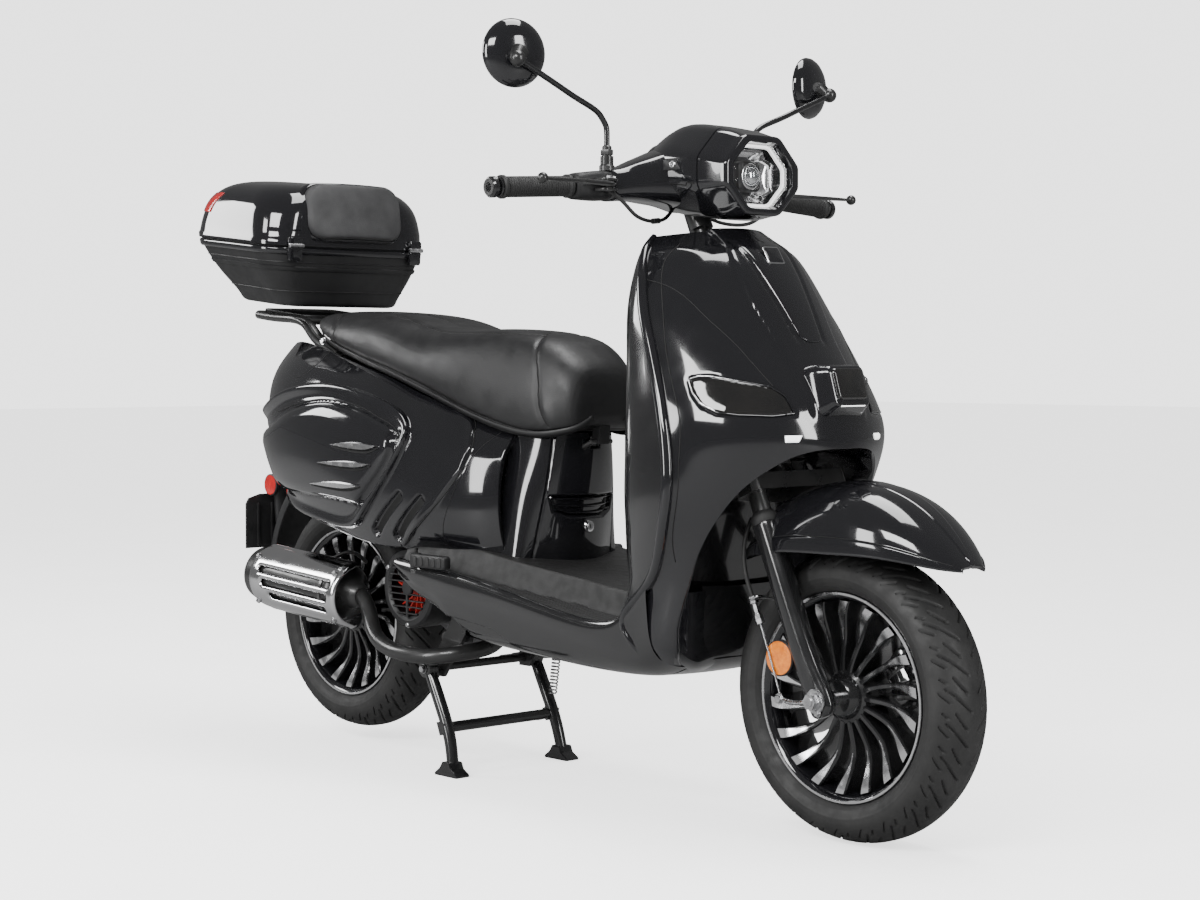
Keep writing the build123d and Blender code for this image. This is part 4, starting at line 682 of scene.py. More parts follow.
# ---------------------------------------------------------------- leg shield
# Half sections of the shield, centre plane to outer edge: (x, half width, z)
SHIELD_ROWS = (
    ((400, 0, 986), (395, 40, 985), (372, 80, 982), (318, 118, 976)),
    ((432, 0, 965), (422, 54, 965), (390, 106, 963), (328, 142, 960)),
    ((461, 0, 943), (448, 66, 945), (405, 128, 945), (338, 160, 941)),
    ((517, 0, 867), (500, 78, 868), (452, 150, 868), (372, 195, 867)),
    ((566, 0, 787), (548, 86, 788), (495, 168, 788), (410, 212, 787)),
    ((612, 0, 722), (590, 94, 722), (528, 180, 722), (440, 224, 722)),
    ((637, 0, 655), (612, 102, 655), (545, 195, 655), (464, 234, 655)),
    ((632, 0, 600), (598, 110, 600), (542, 190, 600), (474, 238, 600)),
    ((600, 0, 550), (570, 110, 550), (525, 186, 550), (472, 238, 550)),
    ((548, 0, 490), (530, 110, 490), (495, 186, 490), (452, 229, 490)),
    ((520, 0, 430), (505, 110, 430), (468, 190, 430), (418, 212, 430)),
    ((505, 0, 385), (490, 110, 385), (452, 190, 385), (370, 202, 385)),
    ((490, 0, 340), (475, 110, 340), (440, 190, 340), (330, 200, 340)),
    ((474, 0, 302), (458, 110, 302), (428, 184, 302), (350, 196, 303)),
    ((446, 0, 268), (434, 96, 268), (404, 158, 270), (360, 172, 274)))
# Edge of the wheel opening: (half width, z)
ARCH = ((0, 627), (40, 627), (78, 624), (103, 614), (126, 598), (152, 572), (172, 520), (184, 460),
        (188, 400),
        (189, 345), (184, 306), (162, 272))
# Outlines on the shield: (half width, z)
SIGNAL = ((200, 742), (181, 745), (153, 737), (112, 727), (97, 714), (90, 684), (126, 680), (170, 682),
          (193, 686), (203, 697), (204, 716))
SIGNAL_TOP, SIGNAL_LOW = ((203, 730), (192, 743), (153, 736), (112, 725), (98, 708)), \
    ((204, 700), (192, 686), (150, 682), (118, 682), (92, 684))
CREASE = ((976, 64), (929, 80), (862, 82), (805, 72), (745, 67), (672, 62))


def crease_at(z):
    """Half width of the raised centre band of the shield at height z."""
    return np.interp(z, [r[0] for r in CREASE[::-1]], [r[1] for r in CREASE[::-1]])


def shield_base():
    """The front surface of the shield, before the wheel opening is cut."""
    panel = Panel(skin(both_halves(SHIELD_ROWS), 181, 281), (1, 0, 0.3), (1, 2))
    panel.raise_by(lambda y, z: 5 * smooth(crease_at(z) - np.abs(y), -4, 5) * smooth(z, 668, 700))
    spots = np.stack([np.abs(panel.grid[..., 1]), panel.grid[..., 2]], -1)
    sunk = smooth(depth_in(spots, np.array(SIGNAL)), -2.5, 1.5)
    groove = np.exp(-((np.abs(spots[..., 0]) - spear_at(spots[..., 1]) - 5) / 3.2) ** 2) \
        * smooth(spots[..., 1], 792, 806) * smooth(970 - spots[..., 1], 0, 10)
    panel.grid = panel.grid - (3 * sunk + 3.5 * groove)[..., None] * panel.normal
    panel.normal = facing(panel.grid, (1, 0, 0.3))
    return panel


def spear_at(z):
    """Half width of the long badge panel on the centre band."""
    return np.interp(z, (800, 850, 905, 955, 970), (24, 33, 43, 51, 53))


def shield_half(grid, side):
    """One half of the shield, from the centre plane and the wheel opening out to the rim."""
    middle = grid.shape[1] // 2
    half = grid[:, middle:] if side == RIGHT else grid[:, middle::-1]
    flat = np.abs(half[..., 1:]).reshape(-1, 2)
    line = even(spline(ARCH, 200), 90)
    spots = np.array([np.argmin(((flat - p) ** 2).sum(1)) for p in line])
    rows, columns = half.shape[:2]
    arch = np.column_stack([spots // columns / (rows - 1), spots % columns / (columns - 1)])
    arch[:, 0] = np.convolve(np.pad(arch[:, 0], 4, "edge"), np.ones(9) / 9, "valid")
    arch[:, 1] = np.convolve(np.pad(arch[:, 1], 4, "edge"), np.ones(9) / 9, "valid")
    arch[0, 1], arch[-1, 0] = 0, 1
    top = arch[0, 0]
    keel = np.column_stack([np.linspace(0, top, 90), np.zeros(90)])
    inner = np.vstack([keel, arch[1:]])
    outer = np.interp(np.linspace(0, 1, len(inner)), (0, 0.5, 1), (0, top * 0.93, 1))
    shares = np.linspace(0, 1, 74)
    v = inner[:, :1] * (1 - shares) + outer[:, None] * shares
    s = inner[:, 1:] * (1 - shares) + shares
    return sample(half, v, s), len(keel) - 1


def opening_lip(edge, inward):
    """Rounded flange along the wheel opening; edge is the boundary and inward the row beside it."""
    away = edge - inward
    away /= np.maximum(np.linalg.norm(away, axis=1, keepdims=True), 1e-6)
    back = np.array((-1.0, 0, 0)) - (away @ np.array((-1.0, 0, 0)))[:, None] * away
    back /= np.linalg.norm(back, axis=1, keepdims=True)
    rows = [edge + 7 * sin(radians(a)) * away + 7 * (1 - cos(radians(a))) * back for a in range(0, 91, 15)]
    rows.append(rows[-1] + 26 * back)
    return np.array(rows)


def build_shield():
    panel = shield_base()
    grids, lips = [], []
    for side in SIDES:
        half, start = shield_half(panel.grid, side)
        grids.append(roll_edges(half, facing(half, (1, 0, 0)), ("first",), 4, 6))
        lips.append(opening_lip(half[start:, 0], half[start:, 1]))
        rim = half[:, -1]
        bar("shield_rim_" + NAMED[side], rim[::6] + (-3.0, 2.0 * side, 0), (5, 9, 10, 10, 10, 9.5, 8, 5),
            GLOSS,
            "frame", around=20, count=120, flat=1.0)
        # A dark line laid where the rim tube meets the shield: painted shade of the groove there.
        inner = spline([(w * side, z) for w, z in ((118, 962), (150, 938), (183, 866), (204, 787), (217, 715),
                                                  (226, 655), (230, 600), (228, 540), (219, 488),
                                                  (205, 446))], 90)
        bar("rim_groove_painted_shade_" + NAMED[side], panel.on(inner, 0.2), 0.9, SEAM_AND_SHADE, "frame", around=6, count=90)
        seam("shield_seam_" + NAMED[side], panel,
             [(side * w, z) for w, z in ((186, 906), (172, 893), (161, 867), (152, 835), (135, 797),
                                         (123, 763),
                                         (110, 729))], "frame")
    joined("shield_skin", grids, GLOSS, "frame", ("leg_shield",), crease=55)
    joined("wheel_opening_lip", lips, GLOSS, "frame", crease=60)
    return panel


def build_shield_details(panel):
    """Badge panel, nose lamp, turn signals and marker lights."""
    heights = np.linspace(802, 968, 60)
    rows = []
    for z in heights:
        width = spear_at(z) * smooth(z, 796, 812) ** 0.25
        spots = [(w * width, z) for w in np.linspace(-1, 1, 33)]
        lift = 3.0 - 4.0 * np.abs(np.linspace(-1, 1, 33)) ** 14
        line = panel.on(spots)
        rows.append(line + lift[:, None] * facing(np.stack([line, line + (0, 0, -1)]), (1, 0, 0.3))[0])
    sheet("badge_panel", rows, GLOSS, "frame", roll=("first", "left", "right"), out=(1, 0, 0.4), radius=2,
          depth=4)
    slope = Vector((1, 0, 0.62)).normalized()
    centre = panel.on([(0, 940)], 3)[0]
    plate("badge_frame", rounded_outline(38, 34, 4), centre, slope, 3.0, CHROME, "frame", up=(0, 0, 1))
    plate("badge_face", rounded_outline(33, 29, 3), centre + 2.2 * np.array(slope), slope, 1.6, GLOSS,
          "frame",
          up=(0, 0, 1))
    nose_axis = Vector((1, 0, 0.3)).normalized()
    u, v, w = axes_of(nose_axis)
    base = panel.on([(0, 722)], 0)[0]
    outline = rounded_outline(104, 84, 16, 8)
    layers = ((-26, -4), (-8, -3), (4, 0), (12, 5), (20, 9), (24, 11), (26, 14))
    loft("nose_housing", slab_rings(outline, base, u, v, w, layers), GLOSS, "frame", ("front_lenses",),
         crease=50)
    loft("nose_lens", slab_rings(rounded_outline(70, 52, 8, 8), base + 3 * v, u, v, w,
                                 ((20, 0), (27, 0), (29.5, 1.5), (30.5, 4))), SMOKE, "frame", crease=60)
    loft("nose_light", slab_rings(rounded_outline(60, 6, 2.5), base - 31 * v, u, v, w,
                                  ((18, 0), (24, 0), (25, 1))),
         WHITE, "frame", crease=60)
    for side in SIDES:
        name = NAMED[side]
        top = [(side * w, z) for w, z in SIGNAL_TOP]
        low = [(side * w, z) for w, z in SIGNAL_LOW]
        sheet("signal_lens_" + name, panel.patch(top, low, 16, 60, 3.4, 3.0), SMOKE, "frame", crease=60)
        sheet("signal_inner_" + name, panel.patch(
            [(side * w, z) for w, z in ((186, 726), (110, 712))],
            [(side * w, z) for w, z in ((184, 704), (106, 698))],
            6, 30, 1.5, 1.0), AMBER_DIM, "frame")
        line = [(side * w, z) for w, z in SIGNAL + SIGNAL[:1]]
        bar("signal_edge_" + name, panel.on(even(line, 140), 2.6), 1.0, GLOSS, "frame", around=8, count=140)
        bright = [(side * w, z) for w, z in ((193, 688), (202, 700), (204, 716), (201, 738), (192, 745),
                                             (181, 745),
                                             (153, 737))]
        bar("signal_trim_" + name, panel.on(even(bright, 60), 3.6), 0.8, SILVER, "frame", around=8, count=60)
        marker = panel.patch([(side * 85, 651), (side * 113, 651)], [(side * 91, 640), (side * 112, 640)],
                             5, 14,
                             2.6, 2.6)
        sheet("marker_light_" + name, marker, WHITE, "frame")


def build_wheel_well():
    """Lining behind the front wheel: a smooth convex guard closed to the shield's opening."""
    rows = []
    for side_w, z in even(spline(ARCH, 120), 60):
        face = np.interp(z, (342, 385, 430, 490, 550, 600, 627), (440, 452, 468, 492, 524, 590, 618))
        wide = max(side_w, 1.0)
        back = np.interp(z, (342, 430, 540, 600, 627), (392, 402, 412, 440, 500))
        rows.append([(back + 14, 0, z), (back + 12, wide * 0.45, z), (back, wide * 0.86, z),
                     (back + 10, wide * 0.98, z + 1), (face - 18, wide, z)])
    return sheet("wheel_well", skin(both_halves(rows), 90, 60), BELLY, "frame", crease=70)


def build_inner_panel():
    """The rider's side of the shield, with a glove pocket and the key plate."""
    heights = [row[-1] for row in SHIELD_ROWS]
    half = []
    for (x, w, z), back in zip(heights, (292, 292, 291, 291, 297, 303, 308, 310, 309, 306, 300, 297, 280)):
        back = min(back, x - 2)
        half.append([(back, 0, z), (back, 0.45 * w, z), (back + 1, 0.74 * w, z),
                     (back + (x - back) * 0.35, 0.93 * w, z),
                     (x - 3, w - 3, z)])
    panel = Panel(skin(both_halves(half), 121, 161), (-1, 0, 0), (1, 2))
    pocket = np.array([(-104, 690), (-104, 560), (104, 560), (104, 690)])
    door = np.array([(-92, 905), (-118, 730), (118, 730), (92, 905)])
    spots = np.stack([panel.grid[..., 1], panel.grid[..., 2]], -1)
    lower = 22 * smooth(depth_in(spots, pocket), 0, 14)
    raised = 4 * smooth(depth_in(spots, door), -2, 5)
    panel.grid = panel.grid + (raised - lower)[..., None] * panel.normal
    sheet("inner_panel", panel.grid, BELLY, "frame", ("inner_leg_panel",), crease=55)
    plate("hook_base", rounded_outline(26, 40, 8), (287, 0, 712), (-1, 0, 0), 4, SATIN, "frame", up=(0, 0, 1))
    bar("bag_hook", [(285, 0, 716), (262, 0, 708), (252, 0, 716), (250, 0, 730)], (4.5, 4.5, 4, 3.5), SATIN,
        "frame",
        count=24)


# ---------------------------------------------------------------- front mudguard
# Stations from rear to tip: (crest x, crest z, edge x, edge half width, edge z)
GUARD = ((500, 500, 486, 78, 448), (545, 546, 540, 98, 460), (610, 570, 600, 106, 468),
         (686, 577, 680, 107, 470),
         (760, 562, 755, 100, 470), (820, 530, 820, 82, 464), (868, 486, 868, 54, 455),
         (892, 459, 892, 28, 451))


def build_mudguard():
    rows = []
    for x, z, edge_x, w, edge_z in GUARD:
        row = []
        for a in range(0, 91, 9):
            across, drop = sin(radians(a)) ** 0.84, 1 - cos(radians(a)) ** 0.84
            row.append((x + (edge_x - x) * drop, w * across, z + (edge_z - z) * drop))
        rows.append(row)
    grid = skin(both_halves(rows), 141, 140)
    panel = Panel(grid, (0.2, 0, 1), (0, 2))
    fraction = np.abs(np.linspace(-1, 1, 141))[None, :, None]
    band = 2.2 * smooth(fraction, 0.86, 0.875)
    spine = 1.6 * (1 - smooth(fraction, 0.10, 0.13))
    panel.grid = panel.grid + (band + spine) * panel.normal
    sheet("mudguard_skin", panel.grid, GLOSS, "steering", ("front_fender",),
          roll=("left", "right", "last", "first"),
          out=(0.2, 0, 1), radius=2.5, depth=5, crease=50, thick=0)
    under = panel.grid - 4.5 * panel.normal
    sheet("mudguard_underside", under[2:-2, 2:-2], MATT, "steering")
    # Dark lines along the foot of the raised edge band: painted shade in the step.
    for side in SIDES:
        column = 70 + side * 60
        line = panel.grid[4:-6:3, column] + 0.3 * panel.normal[4:-6:3, column]
        bar("mudguard_band_painted_shade_" + NAMED[side], line, 0.8, SEAM_AND_SHADE, "steering", around=6, count=len(line))

# ---------------------------------------------------------------- wheels
FRONT_HUB, REAR_HUB = (665.0, 0.0, 235.0), (-665.0, 0.0, 261.0)
TYRE_PROFILE = ((168, 41), (170, 46), (177, 53), (186, 57.5), (196, 59), (206, 57), (216, 51), (225, 40),
                (231, 26),
                (234.5, 12), (235, 0))
# Tread grooves on one side, as (angle in pitches, distance from the crown along the tread), with widths in mm
GROOVES = (((0.00, 9), (0.20, 22), (0.48, 38), (0.70, 52)), ((0.52, 16), (0.72, 26), (0.98, 37)),
           ((0.30, 47), (0.44, 55), (0.60, 63)), ((0.86, 49), (1.00, 58)))


def build_tyre(name, hub, body, node):
    """Round tyre with curved tread grooves cut across each shoulder and fine ribs on the walls."""
    outer = spline(TYRE_PROFILE, 64)
    radii, half = np.concatenate([outer[:, 0], outer[-2::-1, 0]]), np.concatenate([outer[:, 1],
                                                                                   -outer[-2::-1, 1]])
    along = np.concatenate([[0], np.cumsum(np.hypot(np.diff(radii), np.diff(half)))])
    from_crown = along - along[63]
    pitches, per = 26, 30
    around = pitches * per
    turn = np.arange(around) / per
    depth = np.zeros((around, len(radii)))
    mm_per_pitch = tau * 232 / pitches
    for shift, sign in ((0.0, 1), (0.5, -1)):
        s = from_crown * sign
        for groove in GROOVES:
            line = spline(groove, 14)
            for a, b in zip(line[:-1], line[1:]):
                for wrap in (-2, -1, 0, 1):
                    u = ((turn - shift) % 1.0 - wrap)[:, None] * mm_per_pitch
                    p = np.stack([u + 0 * s[None], s[None] + 0 * u], -1)
                    a2, b2 = np.array((a[0] * mm_per_pitch, a[1])), np.array((b[0] * mm_per_pitch, b[1]))
                    side = b2 - a2
                    share = np.clip(((p - a2) @ side) / (side @ side), 0, 1)
                    gap = np.linalg.norm(p - (a2 + share[..., None] * side), axis=-1)
                    depth = np.maximum(depth, 3.6 * (1 - smooth(gap, 0.9, 2.4)))
    wall = np.abs(from_crown)
    ribs = 0.7 * (np.exp(-((wall - 83) / 1.2) ** 2) + np.exp(-((wall - 97) / 1.2) ** 2))
    shell = radii[None] - depth + 0 * turn[:, None]
    side_push = half + np.sign(half) * ribs
    angle = turn * tau / pitches
    x = hub[0] + shell * np.cos(angle)[:, None]
    z = hub[2] + shell * np.sin(angle)[:, None]
    y = hub[1] + side_push[None] + 0 * angle[:, None]
    grid = np.stack([x, y, z], -1)
    return piece(name, grid.reshape(-1, 3), grid_faces(around, len(radii), wrap_rows=True), TYRE, body,
                 (node,),
                 crease=45)


def spoke_rings(start, hub):
    """Cross sections of one spoke from hub to rim, wider at the rim, as deep as the wheel, with its face height."""
    rings, faces = [], []
    for share in np.linspace(0, 1, 19):
        r = 40 + share * 114
        angle = start - 0.2 * share ** 1.5
        half = 4.6 + 5.4 * smooth(share, 0.3, 1.0)
        face = 33 - 7 * smooth(share, 0, 0.45) + 15 * smooth(share, 0.45, 0.98)
        centre = np.array((hub[0] + r * cos(angle), 0, hub[2] + r * sin(angle)))
        across = np.array((-sin(angle), 0, cos(angle)))
        outline = [(-half, 2.5 - face), (2 - half, -face), (half - 2, -face), (half, 2.5 - face),
                   (half, face - 2.5),
                   (half - 2, face), (2 - half, face), (-half, face - 2.5)]
        rings.append([centre + u * across + np.array((0, v, 0)) for u, v in outline])
        faces.append((centre, across, half, face))
    return np.array(rings), faces


def build_rim(name, hub, body, nodes, low, high):
    """Cast wheel: drum, 18 swept spokes with machined wedge faces, and a bright edge ring."""
    axis = (0, 1, 0)
    barrel = ((-48, 168), (-47, 164), (-44, 161), (-40, 157), (-30, 153), (0, 151), (30, 153), (40, 157),
              (44, 161),
              (47, 164), (48, 168), (44, 170), (40, 168), (0, 166), (-40, 168), (-44, 170))
    points = turned_points(hub, axis, barrel, 144).reshape(-1, 3)
    piece(name, points, grid_faces(len(barrel), 144, wrap_rows=True, wrap_columns=True), GLOSS, body, nodes,
          crease=35)
    points, faces = [], []
    tips = {RIGHT: ([], []), LEFT: ([], [])}
    for k in range(18):
        rings, stations = spoke_rings(k * tau / 18, hub)
        faces += grid_faces(len(rings), 8, wrap_columns=True, first=len(points))
        points += rings.reshape(-1, 3).tolist()
        for side, (spots, quads) in tips.items():
            first = len(spots)
            for centre, across, half, face in stations[8:]:
                share = (np.linalg.norm(centre - hub) - 90) / 64
                wide = (half - 1.4) * (0.2 + 0.8 * smooth(share, 0, 0.9))
                for u, v in ((-wide, -0.6), (0.4 - wide, 0.7), (wide - 0.4, 0.7), (wide, -0.6)):
                    spots.append(tuple(centre + u * across + np.array((0, side * (face + v), 0))))
            rows = len(stations) - 8
            quads += grid_faces(rows, 4, wrap_columns=True, first=first)
            last = first + 4 * rows - 4
            quads += [(first, first + 1, first + 2, first + 3), (last, last + 1, last + 2, last + 3)]
    piece(name + "_spokes", points, faces, SATIN_GLOSS, body, crease=35)
    for side, (spots, quads) in tips.items():
        ring = [(side * 47.6, 163.4), (side * 48.8, 164.2), (side * 48.8, 167.6), (side * 47.8, 168.4)]
        points = turned_points(hub, axis, ring, 144).reshape(-1, 3)
        piece(name + "_edge_" + NAMED[side], points, grid_faces(4, 144, wrap_rows=True, wrap_columns=True),
              SILVER,
              body, crease=50)
        piece(name + "_tips_" + NAMED[side], spots, quads, SILVER, body, crease=35)
    hub_profile = ((low, 20), (low, 26), (low + 3, 30), (-34, 36), (-31, 42), (-27, 44), (27, 44), (31, 42),
                   (34, 36), (high - 3, 30), (high, 26), (high, 20))
    turned(name + "_hub", hub, axis, hub_profile, SATIN_GLOSS, body, around=64, crease=35)


def build_wheels():
    build_tyre("front_tyre_tread", FRONT_HUB, "front_wheel", "front_tyre")
    build_tyre("rear_tyre_tread", REAR_HUB, "rear_wheel", "rear_tyre")
    build_rim("front_wheel_rim", FRONT_HUB, "front_wheel", ("front_rim",), -52, 52)
    build_rim("rear_wheel_rim", REAR_HUB, "rear_wheel", ("rear_rim",), -60, 62)
    for name, hub, body in (("front", FRONT_HUB, "front_wheel"), ("rear", REAR_HUB, "rear_wheel")):
        stem = np.array((hub[0] + 150, -20, hub[2] + 14))
        bar(name + "_valve", [stem, stem + (-14, -12, 0), stem + (-22, -22, 0)], (4.5, 4, 3.4), GRIP, body,
            count=12)
        turned(name + "_valve_cap", stem + (-22, -22, 0), (-0.6, -0.8, 0),
               ((0, 3), (1, 4.4), (9, 4.4), (11, 3)),
               MATT, body, around=12)


def build_front_axle():
    """Fork legs, axle ends, caliper dressing, reflectors and the cable with its adjuster."""
    u = np.array((cos(radians(24)), 0, sin(radians(24))))
    w = np.array((-sin(radians(24)), 0, cos(radians(24))))

    def fork(x, y, z):
        return np.array(FRONT_HUB) + x * u + np.array((0, y, 0)) + z * w

    first = True
    for side in SIDES:
        name = NAMED[side]
        sections = []
        for height, front, back, wide in ((-26, 9, -16, 9), (-20, 18, -24, 13), (0, 22, -26, 15),
                                          (26, 20, -27, 15.5),
                                          (60, 17, -26, 17), (140, 17, -25, 19), (230, 20, -22, 21),
                                          (292, 22, -22, 22), (300, 21, -21, 21), (302, 17, -17, 17)):
            ring = []
            for k in range(28):
                a = k * tau / 28
                cx, cy = (abs(cos(a)) ** 0.8) * (1 if cos(a) >= 0 else -1), (abs(sin(a)) ** 0.8) * \
                    (1 if sin(a) >= 0 else -1)
                middle, reach = (front + back) / 2, (front - back) / 2
                ring.append(fork(middle + reach * cx, side * 88 + wide * cy, height))
            sections.append(ring)
        rings = np.array([spline(line, 46) for line in np.array(sections).transpose(1, 0,
                                                                                    2)]).transpose(1, 0, 2)
        loft("fork_leg_" + name, rings, SATIN_GLOSS, "fork_lower", ("fork_sliders",) if first else (),
             crease=50)
        first = False
        turned("fork_dust_seal_" + name, fork(0, side * 88, 296), w,
               ((0, 21), (3, 23), (14, 23), (18, 20), (22, 17)),
               GRIP, "fork_lower", around=40)
        end = fork(0, side * 102, 0)
        turned("axle_collar_" + name, end, (0, side, 0), ((0, 19), (3, 19.5), (5, 18), (5, 12)), STEEL,
               "fork_lower",
               around=40)
        bolt("axle_nut_" + name, end + (0, side * 5, 0), (0, side, 0), 11, STEEL, "fork_lower")
        centre = fork(-50, side * 92, 88)
        turned("reflector_rim_" + name, centre, (0, side, 0),
               ((0, 27), (1, 29.5), (7, 29.5), (8.4, 28), (8.4, 25)),
               MATT, "fork_lower", around=64)
        turned("reflector_lens_" + name, centre, (0, side, 0), ((6, 27.5), (8.6, 27), (9.6, 22), (10.2, 12),
                                                              (10.4, 3)), AMBER, "fork_lower",
               ("fork_reflectors",) if side == RIGHT else (), around=64)
        plate("reflector_bracket_" + name, rounded_outline(46, 16, 5), fork(-34, side * 90, 96),
              (0, side, 0), 3,
              SATIN, "fork_lower")
        bolt("fork_pinch_bolt_" + name, fork(-2, side * 104, -19), (0, side, 0), 5, STEEL, "fork_lower")
    bar("brake_arm", [fork(-16, -101, 4), fork(-44, -106, 12), fork(-66, -106, 26)], (8, 7, 6), STEEL,
        "fork_lower",
        count=20, flat=0.5)
    bolt("brake_arm_bolt", fork(-66, -109, 26), (0, -1, 0), 7, STEEL, "fork_lower")
    turned("cable_adjuster", fork(-62, -104, 150), w,
           ((0, 3), (0, 7.5), (16, 7.5), (17, 5), (34, 5), (35, 8), (46, 8),
                                                      (47, 3)), STEEL, "fork_lower", around=6, crease=25)
    bar("brake_cable_low", [fork(-66, -105, 30), fork(-64, -104, 90), fork(-62, -104, 150)], 2, STEEL,
        "fork_lower",
        around=10)
    bar("brake_cable", [fork(-62, -104, 196), fork(-60, -104, 240), fork(-48, -98, 285),
                        fork(-34, -80, 320)], 3.6,
        GRIP, "fork_lower", around=12)
    plate("cable_bracket", rounded_outline(30, 22, 4), fork(-54, -98, 190), w, 3, STEEL, "fork_lower")
    bar("bracket_arm", [fork(-20, -94, 176), fork(-40, -98, 186), fork(-60, -100, 192)], 5, SATIN,
        "fork_lower",
        flat=0.4)

# ---------------------------------------------------------------- rear body
# x and five (half width, z) points from the upper edge down to the lower edge
FLANK = (
    (-70, (104, 640), (132, 600), (144, 520), (138, 456), (126, 420)),
    (-110, (108, 652), (148, 606), (164, 520), (158, 452), (146, 420)),
    (-220, (128, 684), (174, 632), (192, 545), (186, 462), (164, 424)),
    (-320, (134, 712), (186, 660), (203, 570), (196, 472), (172, 422)),
    (-400, (138, 738), (192, 684), (210, 590), (202, 488), (176, 424)),
    (-560, (136, 778), (187, 724), (208, 628), (196, 522), (166, 448)),
    (-700, (112, 804), (165, 744), (184, 650), (170, 548), (136, 478)),
    (-800, (74, 806), (126, 744), (142, 660), (122, 572), (88, 512)),
    (-850, (36, 796), (80, 740), (94, 670), (78, 594), (46, 540)),
    (-868, (6, 786), (20, 734), (26, 668), (20, 604), (8, 556)))
# Outlines on the flank: (x, z)
COWL_RIM = ((-885, 640), (-801, 676), (-686, 708), (-589, 722), (-506, 722), (-423, 709), (-343, 687),
            (-290, 662),
            (-270, 636), (-282, 596), (-320, 545), (-364, 500), (-412, 464), (-461, 452), (-522, 455),
            (-599, 464),
            (-700, 478), (-800, 500), (-885, 530))
COWL_FACE = ((-885, 612), (-754, 640), (-646, 672), (-553, 689), (-484, 689), (-402, 676), (-351, 659),
             (-311, 643),
             (-290, 624), (-294, 596), (-320, 558), (-356, 521), (-392, 500), (-430, 500), (-494, 505),
             (-596, 508), (-720, 512), (-885, 545))
FRONT_SEAM = ((-322, 760), (-250, 712), (-206, 686), (-164, 664), (-145, 643), (-131, 612), (-141, 571),
              (-195, 504),
              (-262, 452), (-305, 424))


def build_flank(side):
    name = NAMED[side]
    rows = [[(x, side * y, z) for y, z in spots] for x, *spots in FLANK]
    panel = Panel(skin(rows, 150, 380), (0, side, 0.1), (0, 2))
    spots = panel.grid[..., [0, 2]]
    rim = depth_in(spots, spline(COWL_RIM, 140, closed=True))
    face = depth_in(spots, spline(COWL_FACE, 140, closed=True))
    front = depth_in(spots, np.array(FRONT_SEAM + ((-60, 400), (-40, 800))))
    height = 13 * smooth(rim, -2, 5) - 9 * smooth(rim, 6, 26) * smooth(-face, -14, 4)
    height = height + 7 * smooth(face, -2, 30) - 3 * np.exp(-((face - 1) / 2.2) ** 2)
    height = height - 3 * smooth(front, -2, 3) + 1.5 * np.exp(-((front + 4) / 5) ** 2)
    height = height * smooth(spots[..., 0], -866, -800)
    for slot in (((-288, 518), (-373, 448)), ((-231, 513), (-313, 442))):
        a, b = np.array(slot[0]), np.array(slot[1])
        share = np.clip(((spots - a) @ (b - a)) / ((b - a) @ (b - a)), 0, 1)
        gap = np.linalg.norm(spots - (a + share[..., None] * (b - a)), axis=-1)
        height = height - 9 * (1 - smooth(gap, 8.5, 11.5))
    grip = np.array(((-304, 628), (-299, 604), (-326, 560), (-389, 503)))
    line = spline(grip, 30)
    gap = np.min(np.linalg.norm(spots[:, :, None] - line[None, None], axis=-1), axis=2)
    height = height - 6 * (1 - smooth(gap, 4.5, 8.5))
    panel.grid = panel.grid + height[..., None] * panel.normal
    panel.normal = facing(panel.grid, (0, side, 0.1))
    sheet("flank_" + name, panel.grid, GLOSS, "frame", ("body_shell_" + name,),
          roll=("left", "right", "first"),
          out=(0, side, 0.1), radius=3, depth=8, crease=60)
    # Dark strips laid in the two recessed slots: painted shade.
    for k, slot in enumerate((((-288, 518), (-373, 448)), ((-231, 513), (-313, 442)))):
        a, b = np.array(slot[0]), np.array(slot[1])
        across = np.array((b - a)[::-1]) * (1, -1) / np.linalg.norm(b - a) * 7.5
        sheet("flank_slot_%d_%s" % (k, name), panel.patch([a + across, b + across],
                                                          [a - across, b - across], 4, 30,
                                                          0.8), SEAM_AND_SHADE, "frame")
    seam("flank_seam_" + name, panel, FRONT_SEAM, "frame", 1.1, count=120)
    seam("cowl_seam_" + name, panel, [(-700, 668), (-646, 672 + 6), (-553, 694), (-484, 694), (-402, 681),
                                      (-351, 663), (-308, 646), (-287, 626)], "frame", 0.9, lift=0.4,
                                      count=90)
    seam("tail_seam_" + name, panel, ((-600, 788), (-606, 760), (-622, 742), (-660, 736)), "frame", 0.8)
    seam("sweep_seam_" + name, panel, ((-96, 640), (-128, 590), (-160, 520), (-184, 460), (-190, 424)),
         "frame", 0.7)
    blades = (((-455, 611), (-385, 617), (-322, 611), (-352, 602)),
              ((-500, 576), (-402, 581), (-340, 577), (-372, 569)),
              ((-536, 535), (-440, 541), (-373, 536), (-404, 529)))
    for k, (tip, top, nose, low) in enumerate(blades):
        upper, under = spline((tip, top, nose), 30), spline((tip, low, nose), 30)
        sheet("vent_blade_%d_%s" % (k, name), panel.patch(upper, under, 8, 40, 7, 6), SILVER, "frame",
              ("side_scoops",) if k == 0 and side == RIGHT else (), crease=60)
        # A dark strip just below each blade: painted shade beneath it.
        drop = np.array((0, -5.0))
        sheet("vent_gap_painted_shade_%d_%s" % (k, name), panel.patch(under + (2, -1), under + drop, 4, 30, 1.0), SEAM_AND_SHADE,
              "frame")
    return panel


